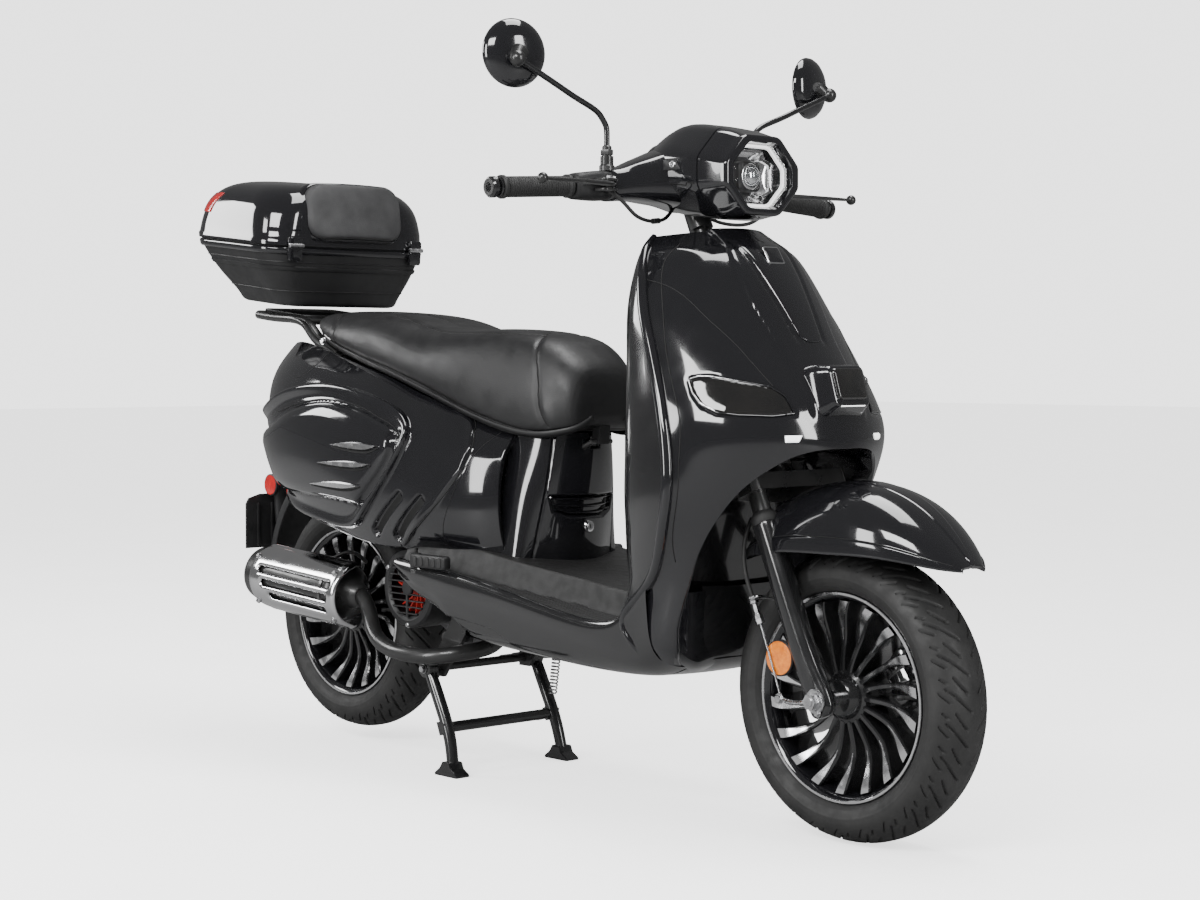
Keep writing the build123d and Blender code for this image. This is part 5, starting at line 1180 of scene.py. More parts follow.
def build_tail():
    """Tail lamp lens and the bezel round it."""
    low, high = (np.array(corner - Vector(MIDDLE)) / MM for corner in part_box("tail_light"))
    rear, cz = low[0], (low[2] + high[2]) / 2
    wide, tall = (high - low)[1:]
    rings = []
    for x, w, h, lift in ((rear + 52, 0.98, 0.98, 0), (rear + 24, 0.94, 0.94, 0), (rear + 8, 0.8, 0.84, 2),
                          (rear + 1, 0.55, 0.6, 4), (rear, 0.2, 0.25, 5)):
        outline = rounded_outline(wide * w, tall * h, 0.32 * tall * h, 8)
        rings.append([(x, y, cz + z + lift) for y, z in outline])
    loft("tail_lens", rings, RED, "frame", ("tail_light",), crease=60)
    rings = [[(x, y, cz + z) for y, z in rounded_outline(wide + g, tall + g, 30 + g / 2, 8)]
             for x, g in ((rear + 60, 10), (rear + 26, 12), (rear + 20, 8), (rear + 20, -2))]
    loft("tail_bezel", rings, CHROME, "frame", crease=50)


def build_column():
    """Glossy post under the seat nose, with its recessed grille, pocket slot and lock."""
    stations = ((398, 4, 128), (440, 12, 122), (530, 26, 112), (600, 34, 100), (640, 36, 94))
    rows = [[(front, 0, z), (front - 10, half * 0.38, z), (front - 36, half * 0.76, z), (-40, half * 0.95, z),
             (-84, half + 4, z)] for z, front, half in stations]
    panel = Panel(skin(both_halves(rows), 181, 140), (1, 0, 0), (1, 2))
    spots = panel.grid[..., [1, 2]]
    grille = depth_in(spots, np.array(((-78, 528), (-70, 498), (-40, 486), (40, 486), (70, 498), (78, 528))))
    slot = depth_in(spots, np.array(((-10, 632), (-10, 612), (12, 612), (12, 632))))
    edge = np.abs(np.abs(spots[..., 0]) - np.interp(spots[..., 1], (398, 640), (96, 70)))
    panel.grid = panel.grid - (10 * smooth(grille, -1, 5) + 6 * smooth(slot, -1, 3)
                               + 2.5 * (1 - smooth(edge, 0.5, 3)))[..., None] * panel.normal
    panel.normal = facing(panel.grid, (1, 0, 0))
    sheet("column_skin", panel.grid, GLOSS, "frame", ("seat_front_panel",), crease=60)
    for k, z in enumerate((524, 511, 499)):
        reach = 76 - 5 * k
        line = [(y, z - 4 + 4 * (y / reach) ** 2) for y in np.linspace(-reach, reach, 30)]
        bar("column_louvre_%d" % k, panel.on(line, 3.5), (2.0, 3.2, 3.2, 3.2, 2.0), GLOSS, "frame", around=10,
            count=40, flat=0.6)
    spot = panel.on([(0, 470)], 0)[0]
    turned("seat_lock_rim", spot, (1, 0, 0.05), ((-1, 11), (2, 11.5), (4, 10), (4.6, 7)), CHROME, "frame")
    turned("seat_lock_barrel", spot, (1, 0, 0.05), ((3.4, 7), (5.4, 6.6), (5.6, 2)), STEEL, "frame")
    # The keyway is a dark plate: painted shade.
    plate("seat_lock_keyway_painted_shade", rounded_outline(1.6, 7, 0.7), spot + (5.5, 0, 0), (1, 0, 0.05), 0.6, SEAM_AND_SHADE,
          "frame",
          edge=0.1)
    return panel


# ---------------------------------------------------------------- floor and lower side panels
# Edge of the floor seen from the side: (x, z)
SILL = ((-320, 404), (-296, 403), (-181, 393), (-94, 384), (18, 366), (125, 350), (200, 338), (250, 333),
        (290, 338),
        (328, 356), (356, 378), (384, 404), (404, 436), (420, 470), (434, 510))


def sill_at(x):
    """Height of the floor's outer edge at x."""
    line = spline(SILL, 120)
    return np.interp(x, line[:, 0], line[:, 1])


def build_floor():
    """Ribbed floor with a raised rear hump and a smooth roll up to the shield."""
    xs = np.linspace(-300, 330, 260)
    half = np.interp(xs, (-300, -180, 0, 200, 290, 330), (188, 192, 193, 190, 176, 150))
    shares = np.linspace(-1, 1, 301)
    grid = np.zeros((len(xs), len(shares), 3))
    grid[..., 0] = xs[:, None]
    grid[..., 1] = shares[None] * half[:, None]
    y, x = grid[..., 1], grid[..., 0]
    base = (sill_at(xs) - 5)[:, None] + 0 * y
    hump_half = np.interp(x, (-300, -62, 60, 240, 330), (170, 158, 132, 96, 70))
    hump = np.interp(x, (-300, -62, 60, 240, 330), (42, 52, 66, 96, 130))
    rise = smooth(hump_half + 14 - np.abs(y), 0, 26) * smooth(hump, 0, 60) * hump * smooth(330 - x, -80, 60)
    ribs = np.zeros_like(y)
    for k in range(5):
        line = half[:, None] - 16 - 11.5 * k
        gap = np.abs(np.abs(y) - line)
        start = (-70, -34, 10, 60, 110)[k]
        ribs = np.maximum(ribs, 2.6 * (1 - smooth(gap, 2.2, 4.2)) * smooth(x, start, start + 12)
                          * smooth(300 - 6 * k - x, 0, 14))
    grid[..., 2] = base + np.minimum(rise, 46) + ribs * (rise < 2)
    sheet("floor_mat", grid, MAT_FLOOR, "frame", ("floor_board",), roll=("left", "right", "last"),
          out=(0, 0, 1),
          radius=3, depth=10, crease=60)


def build_side_panel(side):
    """The S-shaped panel that flows from the shield's lower edge back under the floor to the engine."""
    name = NAMED[side]
    # x, sill half width, waist half width, waist z, chine half width, chine z, keel half width, keel z
    stations = ((-300, 198, 202, 392, 196, 384, 186, 380), (-262, 200, 206, 380, 196, 362, 180, 354),
                (-205, 201, 207, 372, 192, 340, 166, 322), (-170, 201, 207, 366, 188, 322, 158, 296),
                (-140, 201, 207, 360, 184, 310, 150, 272), (-60, 201, 206, 350, 184, 300, 140, 256),
                (60, 201, 206, 338, 186, 292, 138, 248), (200, 200, 205, 318, 188, 280, 132, 240),
                (300, 200, 204, 318, 188, 274, 122, 240), (352, 204, 206, 340, 190, 280, 116, 246),
                (392, 208, 210, 366, 194, 296, 112, 262))
    rows = []
    for x, sill, waist, wz, chine, cz, keel, kz in stations:
        top = float(sill_at(x))
        rows.append([(x, side * (sill - 9), top), (x, side * (sill + 1), top - 2.5),
                     (x, side * waist, min(wz, top - 10)),
                     (x, side * chine, cz), (x, side * (chine + keel) / 2, (cz + kz) / 2 - 10),
                     (x, side * keel, kz)])
    panel = Panel(skin(rows, 110, 260), (0, side, 0), (0, 2))
    spots = panel.grid[..., [0, 2]]
    recess = depth_in(spots, np.array(((-186, 300), (-160, 305), (-100, 299), (-40, 293), (-8, 270),
                                       (-112, 268),
                                       (-168, 277))))
    panel.grid = panel.grid - (4 * smooth(recess, -1, 3))[..., None] * panel.normal
    panel.normal = facing(panel.grid, (0, side, 0))
    sheet("side_panel_" + name, panel.grid, BELLY, "frame", ("lower_cowl",) if side == RIGHT else (),
          roll=("first", "right"), out=(0, side, 0), radius=3, depth=10, crease=55)
    edge = [(x, z - 9) for x, z in SILL[1:10]]
    seam("sill_seam_" + name, panel, edge, "frame", 0.9, count=110)
    return panel


def build_belly():
    """Underside between the two side panels."""
    rows = []
    for x, keel, kz in ((-150, 150, 268), (-60, 140, 256), (60, 138, 248), (200, 132, 240), (300, 122, 240),
                        (352, 116, 246), (400, 110, 270), (424, 110, 330), (430, 120, 400)):
        rows.append([(x, 0, kz - 4), (x, keel * 0.5, kz - 3), (x, keel, kz)])
    sheet("belly_pan", skin(both_halves(rows), 50, 80), BELLY, "frame", roll=("first",), out=(0, 0, -1),
          radius=3,
          depth=6)


def build_pegs():
    """Folded passenger pegs in their recesses."""
    for side in SIDES:
        name = NAMED[side]
        u, v, w = np.array((1.0, 0, 0)), np.array((0, 0, 1.0)), np.array((0, float(side), 0))
        outline = rounded_outline(104, 24, 7)
        middle = (-235 + 56, side * 204, 405)
        loft("peg_block_" + name, slab_rings(outline, middle, u, v, w,
                                             ((0, 1), (1, 0), (13, 0), (15, 1.6), (16, 4))),
             MATT, "foot_peg_" + name, ("peg_" + name,), crease=50)
        for k in range(5):
            plate("peg_tread_%d_%s" % (k, name), rounded_outline(10, 18, 2.5),
                  np.array(middle) + (-34 + 18 * k, side * 15, 0),
                  (0, side, 0), 2.2, GRIP, "foot_peg_" + name, up=(0, 0, 1))
        turned("peg_knuckle_" + name, (-235, side * 200, 390), (0, 0, 1),
               ((0, 9), (1.5, 11), (25, 11), (27, 9)),
               SATIN, "foot_peg_" + name, around=32)

# ---------------------------------------------------------------- top box
BOX_ORIGIN = np.array((-700.0, 0, 1000.0))
BOX_BACK = np.array((-cos(radians(6)), 0, sin(radians(6))))
BOX_UP = np.array((sin(radians(6)), 0, cos(radians(6))))
# height above the rim, front set-back, length, width, corner radius
TUB_ROWS = ((-124, 22, 180, 272, 40), (-120, 16, 192, 286, 42), (-108, 13, 204, 300, 46),
            (-74, 7, 244, 344, 56),
            (-40, 3, 278, 380, 62), (-18, 1, 298, 398, 68))
BELT_ROWS = ((-19, 1, 298, 398, 68), (-18, -2, 306, 406, 71), (-15, -4, 310, 410, 72), (-8, -4, 312, 412, 72),
             (-5, -2, 310, 410, 71), (-4, 1, 306, 404, 70))
LID_ROWS = ((-2, 0.5, 308, 406, 70), (-1, -3, 314, 412, 72), (8, -3, 315, 413, 72), (12, 0, 311, 408, 71),
            (30, 0, 309, 405, 72), (60, 4, 301, 395, 76), (84, 10, 286, 376, 80), (104, 22, 258, 340, 84),
            (116, 40, 214, 290, 84), (121, 66, 158, 226, 70), (123, 96, 96, 150, 46),
            (123.4, 126, 34, 60, 16))


def box_point(back, y, height):
    """A point of the box: distance behind the rim's front edge, sideways, above the rim."""
    return BOX_ORIGIN + back * BOX_BACK + np.array((0, y, 0)) + height * BOX_UP


def box_rings(rows, count=0):
    """Rings of rounded rectangles stacked along the box's own up direction."""
    out = []
    for height, front, long, wide, corner in rows:
        outline = rounded_outline(long, wide, corner, 14)
        out.append([box_point(front + long / 2 + u, v, height) for u, v in outline])
    rings = np.array(out)
    if count:
        rings = np.array([spline(rings[:, j], count) for j in range(rings.shape[1])]).transpose(1, 0, 2)
    return rings


def build_box():
    """Tub with its moulded lines, belt band, domed lid, padded back rest, hinges and corner reflectors."""
    loft("box_tub", box_rings(TUB_ROWS, 40), MATT, "frame", ("box_base",), crease=60)
    loft("box_belt", box_rings(BELT_ROWS), GLOSS, "frame", crease=60)
    lid = box_rings(LID_ROWS)
    top = np.array([spline(lid[4:, j], 60) for j in range(lid.shape[1])]).transpose(1, 0, 2)
    loft("box_lid_shell", np.concatenate([lid[:4], top]), GLOSS, "lid", ("box_lid",), crease=60)
    gap = box_rings(((-4.5, 2, 304, 402, 69), (-1.5, 2, 304, 402, 69)))
    loft("box_gap", gap, SEAM_AND_SHADE, "lid", caps=(False, False))
    for k, height in enumerate((-34, -92)):
        ring = box_rings(TUB_ROWS, 100)
        row = int(np.argmin(np.abs((ring - BOX_ORIGIN).mean(1) @ BOX_UP - height)))
        line = np.vstack([ring[row], ring[row][:1]])
        bar("box_line_%d" % k, line, 1.3, MATT, "frame", around=8, count=200)
    band = box_rings(((-52, 2.2, 268, 370, 61), (-50, 0.6, 274, 377, 63), (-44, 0.2, 279, 383, 64),
                      (-42, 2.4, 275, 378, 63)))
    loft("box_band", band, MATT, "frame", caps=(False, False), crease=50)
    build_back_rest()
    for side in SIDES:
        name = NAMED[side]
        for lift, body, tall in ((-16, "frame", 30), (8, "lid", 22)):
            outline = rounded_outline(30, tall, 5)
            plate("box_hinge_%s_%s" % (body, name), outline, box_point(-1, side * 149, lift), -BOX_BACK, 11,
                  GLOSS,
                  body, edge=3, up=BOX_UP)
        pin = box_point(-12, side * 149 - 17, 0)
        turned("box_hinge_pin_" + name, pin, (0, 1, 0), ((0, 3), (0.6, 4.4), (33.4, 4.4), (34, 3)), STEEL,
               "frame",
               around=20)
        rows = []
        for height in np.linspace(52, 92, 14):
            k = (height - 52) / 40
            ring = box_rings(LID_ROWS[3:])
            fine = np.array([spline(ring[:, j], 120) for j in range(ring.shape[1])]).transpose(1, 0, 2)
            level = (fine - BOX_ORIGIN) @ BOX_UP
            line = []
            for j in range(fine.shape[1]):
                row = int(np.argmin(np.abs(level[:, j] - height)))
                line.append(fine[row, j])
            line = np.array(line)
            local_y = line[:, 1] * side
            back = (line - BOX_ORIGIN) @ BOX_BACK
            keep = line[(local_y > 60) & (back > 176 + 18 * k)]
            keep = keep[np.argsort((keep - BOX_ORIGIN) @ BOX_BACK - keep[:, 1] * side)]
            middle = np.array((BOX_ORIGIN + 150 * BOX_BACK)) * (1, 0, 1)
            out = keep - middle - ((keep - middle) @ BOX_UP)[:, None] * BOX_UP
            out /= np.linalg.norm(out, axis=1, keepdims=True)
            rows.append(even(keep + 2.2 * out, 60))
        sheet("box_reflector_" + name, np.array(rows), RED, "lid",
              ("box_reflectors",) if side == RIGHT else (),
              roll=("first", "last", "left", "right"), out=(-1, side, 0.3), radius=1.5, depth=3, crease=60)


def build_back_rest():
    """Grained pad in a rounded glossy frame on the front of the lid."""
    way = np.array((1, 0, 0.12)) / np.linalg.norm((1, 0, 0.12))
    u, w = np.array((0, 1.0, 0)), way
    v = np.cross(w, u)
    v = v if v[2] > 0 else -v
    outline = even(np.vstack([rounded_outline(232, 112, 36, 10), rounded_outline(232, 112, 36, 10)[:1]]),
                   121)[:-1]
    base = np.array((-698.7, 0, 1070.0))

    def ring(height, share):
        drawn = outline * share
        bow = -0.0012 * drawn[:, :1] ** 2 - 0.0016 * np.maximum(drawn[:, 1:], 0) ** 2
        return base + drawn[:, :1] * u + drawn[:, 1:] * v + (height + bow) * w

    layers = ((-14, 1), (10, 1), (18, 0.985), (22, 0.955), (24, 0.91), (25.2, 0.8), (25.6, 0.6), (25.6, 0.4),
              (25.6, 0.2), (25.6, 0.04))
    rings = np.array([ring(h, i) for h, i in layers])
    rings = np.array([spline(rings[:, j], 60) for j in range(rings.shape[1])]).transpose(1, 0, 2)
    loft("box_back_pad", rings, PAD, "lid", ("box_pad",), caps=(False, True), crease=0)
    rim = np.array([ring(h, i) for h, i in ((-16, 1.07), (6, 1.07), (9, 1.05), (9.5, 1.02), (7, 0.995))])
    loft("box_pad_frame", rim, GLOSS, "lid", caps=(False, False), crease=50)


# ---------------------------------------------------------------- carrier and rear mudguard
def build_carrier():
    """Flat angled brackets under the box, cross bars and the load plate."""
    for side in SIDES:
        name = NAMED[side]
        bar("carrier_arm_" + name, [(-600, side * 100, 774), (-690, side * 104, 814), (-730, side * 104, 846),
                                    (-820, side * 101, 858), (-905, side * 96, 866)], 9, SATIN, "frame",
            ("rear_carrier",) if side == RIGHT else (), count=50)
        strap = [(-596, side * 112, 786), (-660, side * 116, 822), (-694, side * 116, 848),
                 (-740, side * 112, 856)]
        bar("carrier_strap_" + name, strap, 9, SATIN, "frame", around=24, count=40, flat=0.35)
        bolt("carrier_bolt_" + name, (-640, side * 118, 808), (0, side, 0.3), 6, STEEL, "frame")
    for k, (x, z, reach, size) in enumerate(((-905, 866, 96, 9), (-735, 849.5, 104, 7), (-600, 774, 100, 9))):
        bar("carrier_cross_%d" % k, [(x, -reach, z), (x, reach, z)], size, SATIN, "frame", count=12)
    plate("carrier_plate", rounded_outline(170, 180, 24), (-822, 0, 866), BOX_UP, 5, MATT, "frame", edge=1.5,
          up=(0, 1, 0))
    for side in SIDES:
        for x in (-770, -872):
            bolt("carrier_plate_bolt_%d_%s" % (-x, NAMED[side]), (x, side * 60, 872 if x < -800 else 860),
                 BOX_UP, 5,
                 STEEL, "frame")


def build_rear_guard():
    """Textured guard over the rear wheel with its arm, plate bracket and side reflectors."""
    rows = []
    centre = (-665, 261 + 56)
    for angle in np.linspace(52, 168, 60):
        a = radians(angle)
        row = []
        for y, r in ((-66, 236), (-65, 252), (-58, 261), (-40, 265), (0, 266), (40, 265), (58, 261),
                     (65, 252),
                     (66, 236)):
            row.append((centre[0] + r * cos(a), y, centre[1] + r * sin(a)))
        rows.append(spline(row, 61))
    sheet("rear_guard", np.array(rows), MATT, "frame", ("rear_mudguard",), crease=45, thick=3)
    arm = [(-862, 0, 548), (-900, 0, 530), (-930, 0, 500), (-938, 0, 440), (-936, 0, 400)]
    rings = hose_rings(arm, (30, 34, 40, 36, 30), 24, 50, flat=0.42)
    loft("plate_arm", rings, MATT, "frame", crease=50)
    outline = np.array(((-95, -60), (95, -60), (95, 34), (88, 46), (60, 54), (-60, 54), (-88, 46), (-95, 34)))
    plate("plate_bracket", outline, (-958, 0, 434), (-1, 0, 0), 5, MATT, "frame", edge=1.4, up=(0, 0, 1))
    for k in (-2, -1, 0, 1, 2):
        plate("plate_rib_%d" % (k + 2), rounded_outline(4, 92, 1.8), (-956, 34 * k, 424), (1, 0, 0), 5,
              MATT, "frame",
              edge=0.8, up=(0, 0, 1))
    for side in SIDES:
        name = NAMED[side]
        spot = np.array((-930, side * 46, 508))
        bar("side_reflector_stalk_" + name, [(-930, side * 16, 500), spot], 6, MATT, "frame", count=10)
        turned("side_reflector_rim_" + name, spot, (0, side, 0), ((0, 20), (1, 23), (7, 23), (8, 21)), MATT,
               "frame")
        turned("side_reflector_" + name, spot, (0, side, 0), ((6, 21), (8.4, 20.6), (9.2, 14), (9.6, 4)), RED,
               "frame")
        bolt("plate_bolt_" + name, (-964, side * 73, 455), (-1, 0, 0), 5, STEEL, "frame")

# ---------------------------------------------------------------- seat
# Stations front to rear: x, lower z, crown z, lower half width, crown half width
SEAT_ROWS = ((74, 672, 706, 44, 30), (66, 655, 748, 74, 56), (40, 646, 776, 98, 78), (0, 642, 802, 112, 92),
             (-60, 648, 818, 124, 104), (-160, 676, 826, 140, 118), (-240, 704, 826, 147, 122),
             (-320, 730, 830, 150, 124), (-386, 750, 846, 150, 126), (-440, 764, 856, 149, 126),
             (-500, 780, 862, 146, 122), (-600, 808, 866, 134, 108), (-660, 828, 867, 112, 88),
             (-692, 842, 864, 90, 66))


def seat_ring(x, low, top, low_half, top_half, around=64):
    """One closed section of the cushion: flat below, swelling flank and a soft crown."""
    tall = top - low
    half = [(0, low), (low_half * 0.6, low), (low_half * 0.95, low + 2), (low_half + 3, low + tall * 0.16),
            (low_half + 1, low + tall * 0.42), (top_half + (low_half - top_half) * 0.45, low + tall * 0.72),
            (top_half * 0.9, top - tall * 0.10), (top_half * 0.62, top - tall * 0.015),
            (top_half * 0.3, top + 1),
            (0, top + 1.5)]
    right = even(spline(half, 90), around // 2 + 1)
    ring = [(x, -y, z) for y, z in right] + [(x, y, z) for y, z in right[-2:0:-1]]
    return np.array(ring)


def seat_rings(count=90):
    rows = np.array([seat_ring(*r) for r in SEAT_ROWS])
    return np.array([spline(rows[:, j], count) for j in range(rows.shape[1])]).transpose(1, 0, 2)


def seat_mesh():
    """Closed cushion mesh, as a Blender object."""
    rings = seat_rings()
    count, around = rings.shape[:2]
    points = rings.reshape(-1, 3).tolist()
    faces = grid_faces(count, around, wrap_columns=True)
    faces += [tuple(range(around)), tuple((count - 1) * around + j for j in range(around))]
    mesh = bpy.data.meshes.new("seat_cover")
    mesh.from_pydata((np.array(points) * MM + MIDDLE).tolist(), [], faces)
    work = bmesh.new()
    work.from_mesh(mesh)
    bmesh.ops.recalc_face_normals(work, faces=work.faces)
    work.to_mesh(mesh)
    work.free()
    obj = bpy.data.objects.new("seat_cover", mesh)
    bpy.context.scene.collection.objects.link(obj)
    return obj


def apply_modifiers(obj):
    """Replaces the object's mesh with its evaluated mesh."""
    graph = bpy.context.evaluated_depsgraph_get()
    mesh = bpy.data.meshes.new_from_object(obj.evaluated_get(graph))
    obj.modifiers.clear()
    obj.data = mesh


def coordinates(mesh):
    out = np.zeros(len(mesh.vertices) * 3)
    mesh.vertices.foreach_get("co", out)
    return out.reshape(-1, 3)


def inflate(obj, held, pressure, farthest, last_frame):
    """Lets the cover swell as cloth; held points stay and none moves farther than farthest metres."""
    before = coordinates(obj.data)
    group = obj.vertex_groups.new(name="held")
    for index in np.where(held)[0]:
        group.add([int(index)], 1.0, "REPLACE")
    cloth = obj.modifiers.new("cloth", "CLOTH")
    cloth.settings.quality = 6
    cloth.settings.mass = 0.3
    cloth.settings.tension_stiffness = 25
    cloth.settings.compression_stiffness = 25
    cloth.settings.bending_stiffness = 1.2
    cloth.settings.vertex_group_mass = "held"
    cloth.settings.use_pressure = True
    cloth.settings.uniform_pressure_force = pressure
    cloth.settings.effector_weights.gravity = 0
    cloth.collision_settings.use_collision = False
    cloth.point_cache.frame_start, cloth.point_cache.frame_end = 1, last_frame
    for number in range(1, last_frame + 1):
        bpy.context.scene.frame_set(number)
    apply_modifiers(obj)
    after = coordinates(obj.data)
    move = after - before
    length = np.linalg.norm(move, axis=1, keepdims=True)
    after = before + move * np.minimum(1, farthest / np.maximum(length, 1e-9))
    obj.data.vertices.foreach_set("co", after.ravel())
    bpy.context.scene.frame_set(1)


def build_seat():
    """Cushion with a cloth-swollen cover, pulled-in seams and piping."""
    obj = seat_mesh()
    remesh = obj.modifiers.new("even", "REMESH")
    remesh.mode = "VOXEL"
    remesh.voxel_size = 0.006
    apply_modifiers(obj)
    spots = (coordinates(obj.data) - MIDDLE) / MM
    lines = seat_lines()
    low = np.interp(spots[:, 0], [r[0] for r in SEAT_ROWS[::-1]], [r[1] for r in SEAT_ROWS[::-1]])
    held = spots[:, 2] < low + 14
    for line in lines.values():
        gap = np.full(len(spots), 1e9)
        for p in even(line, 160):
            gap = np.minimum(gap, np.linalg.norm(spots - p, axis=1))
        held |= gap < 5
    inflate(obj, held, 4.0, 0.006, 20)
    divide = obj.modifiers.new("divide", "SUBSURF")
    divide.levels = divide.render_levels = 1
    apply_modifiers(obj)
    spots = (coordinates(obj.data) - MIDDLE) / MM
    pull = np.zeros(len(spots))
    for line in lines.values():
        gap = np.full(len(spots), 1e9)
        for p in even(line, 260):
            gap = np.minimum(gap, ((spots - p) ** 2).sum(1))
        gap = np.sqrt(gap)
        pull = np.maximum(pull, 2.6 * np.exp(-(gap / 5.5) ** 2))
    normal = np.zeros(len(spots) * 3)
    obj.data.vertices.foreach_get("normal", normal)
    spots = spots - pull[:, None] * normal.reshape(-1, 3)
    obj.data.vertices.foreach_set("co", (spots * MM + MIDDLE).ravel())
    obj.data.materials.clear()
    obj.data.materials.append(VINYL)
    obj.data.shade_smooth()
    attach(obj, "seat")
    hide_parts("seat_cushion")
    tree = nearest_tree(spots)
    for key, line in lines.items():
        path = even(line, 200)
        path = np.array([spots[tree(p)] for p in path])
        for _ in range(4):
            path[1:-1] = (path[:-2] + 2 * path[1:-1] + path[2:]) / 4
        bar("seat_seam_" + key, path, 1.1, SEAM_AND_SHADE, "seat", around=8, count=200)


def nearest_tree(points):
    """A lookup from any place to the number of the nearest of the points."""
    tree = KDTree(len(points))
    for index, point in enumerate(points):
        tree.insert(point, index)
    tree.balance()
    return lambda p: tree.find(p)[1]


def seat_lines():
    """Seams of the cover: the front band, the long side lines, the rear cap and the raised passenger pad."""
    rings = seat_rings(181)
    xs = rings[:, :, 0].mean(1)

    def at(x, share, side):
        i = int(np.argmin(np.abs(xs - x)))
        around = rings.shape[1]
        j = int(round(share * around / 2))
        return rings[i, j if side == RIGHT else (around - j) % around]

    lines = {}
    band = [at(x, s, RIGHT) for x, s in ((22, 0.34), (14, 0.45), (2, 0.56), (-12, 0.66), (-34, 0.76),
                                         (-60, 0.86),
                                         (-78, 0.94), (-84, 1.0))]
    lines["front_band"] = spline(band + [flip(p) for p in band[-2::-1]], 160)
    for side in SIDES:
        name = NAMED[side]
        lines["side_" + name] = spline([at(x, s, side) for x, s in (
            (-60, 0.86), (-120, 0.80), (-200, 0.775), (-300, 0.77), (-370, 0.77), (-430, 0.78), (-480, 0.82),
            (-500, 0.88), (-488, 0.94))], 120)
        lines["pad_" + name] = spline([at(x, s, side) for x, s in (
            (-488, 0.94), (-440, 0.985), (-380, 1.0))], 60)
        lines["cap_" + name] = spline([at(x, s, side) for x, s in (
            (-560, 0.30), (-566, 0.42), (-580, 0.55), (-610, 0.66), (-650, 0.74), (-684, 0.80))], 80)
    return lines


def build_seat_pan():
    """Lower lip of the seat, just under the cushion."""
    for side in SIDES:
        edge = [(x, side * (half - 2), low + 1) for x, low, top, half, crown in SEAT_ROWS]
        lower = [(x, side * (half - 8), low - 10) for x, low, top, half, crown in SEAT_ROWS]
        grid = np.array([spline(edge, 100), spline(lower, 100)])
        sheet("seat_skirt_" + NAMED[side], grid, MATT, "seat", thick=2)

# ---------------------------------------------------------------- headset
# x, centre z, width, height, corner cut, corner softness
HEAD_ROWS = ((452, 1076, 156, 120, 42, 0.1), (450, 1076, 172, 130, 46, 0.12),
             (440, 1076.5, 180, 134, 48, 0.15),
             (412, 1079, 192, 146, 50, 0.2), (384, 1082, 200, 154, 52, 0.3), (344, 1088, 198, 158, 54, 0.45),
             (300, 1092, 188, 154, 52, 0.6), (260, 1090, 166, 132, 44, 0.7), (228, 1086, 144, 100, 32, 0.7),
             (204, 1082, 118, 70, 22, 0.7), (195, 1080, 90, 40, 12, 0.7))


def octagon_ring(x, z, width, height, cut, soft, steps=5):
    """A cut-cornered rectangle square to x, each corner rounded; soft 0 is sharp and 1 fully round."""
    w, h = width / 2, height / 2
    corners = np.array(((w, h - cut), (w - cut, h), (cut - w, h), (-w, h - cut), (-w, cut - h), (cut - w, -h),
                        (w - cut, -h), (w, cut - h)))
    out = []
    for k in range(8):
        before, here, after = corners[k - 1], corners[k], corners[(k + 1) % 8]
        reach = 0.08 + 0.42 * soft
        a, b = here + reach * (before - here), here + reach * (after - here)
        for t in np.linspace(0, 1, steps):
            out.append((1 - t) ** 2 * a + 2 * t * (1 - t) * here + t * t * b)
    return np.array([(x, y, z + v) for y, v in out])


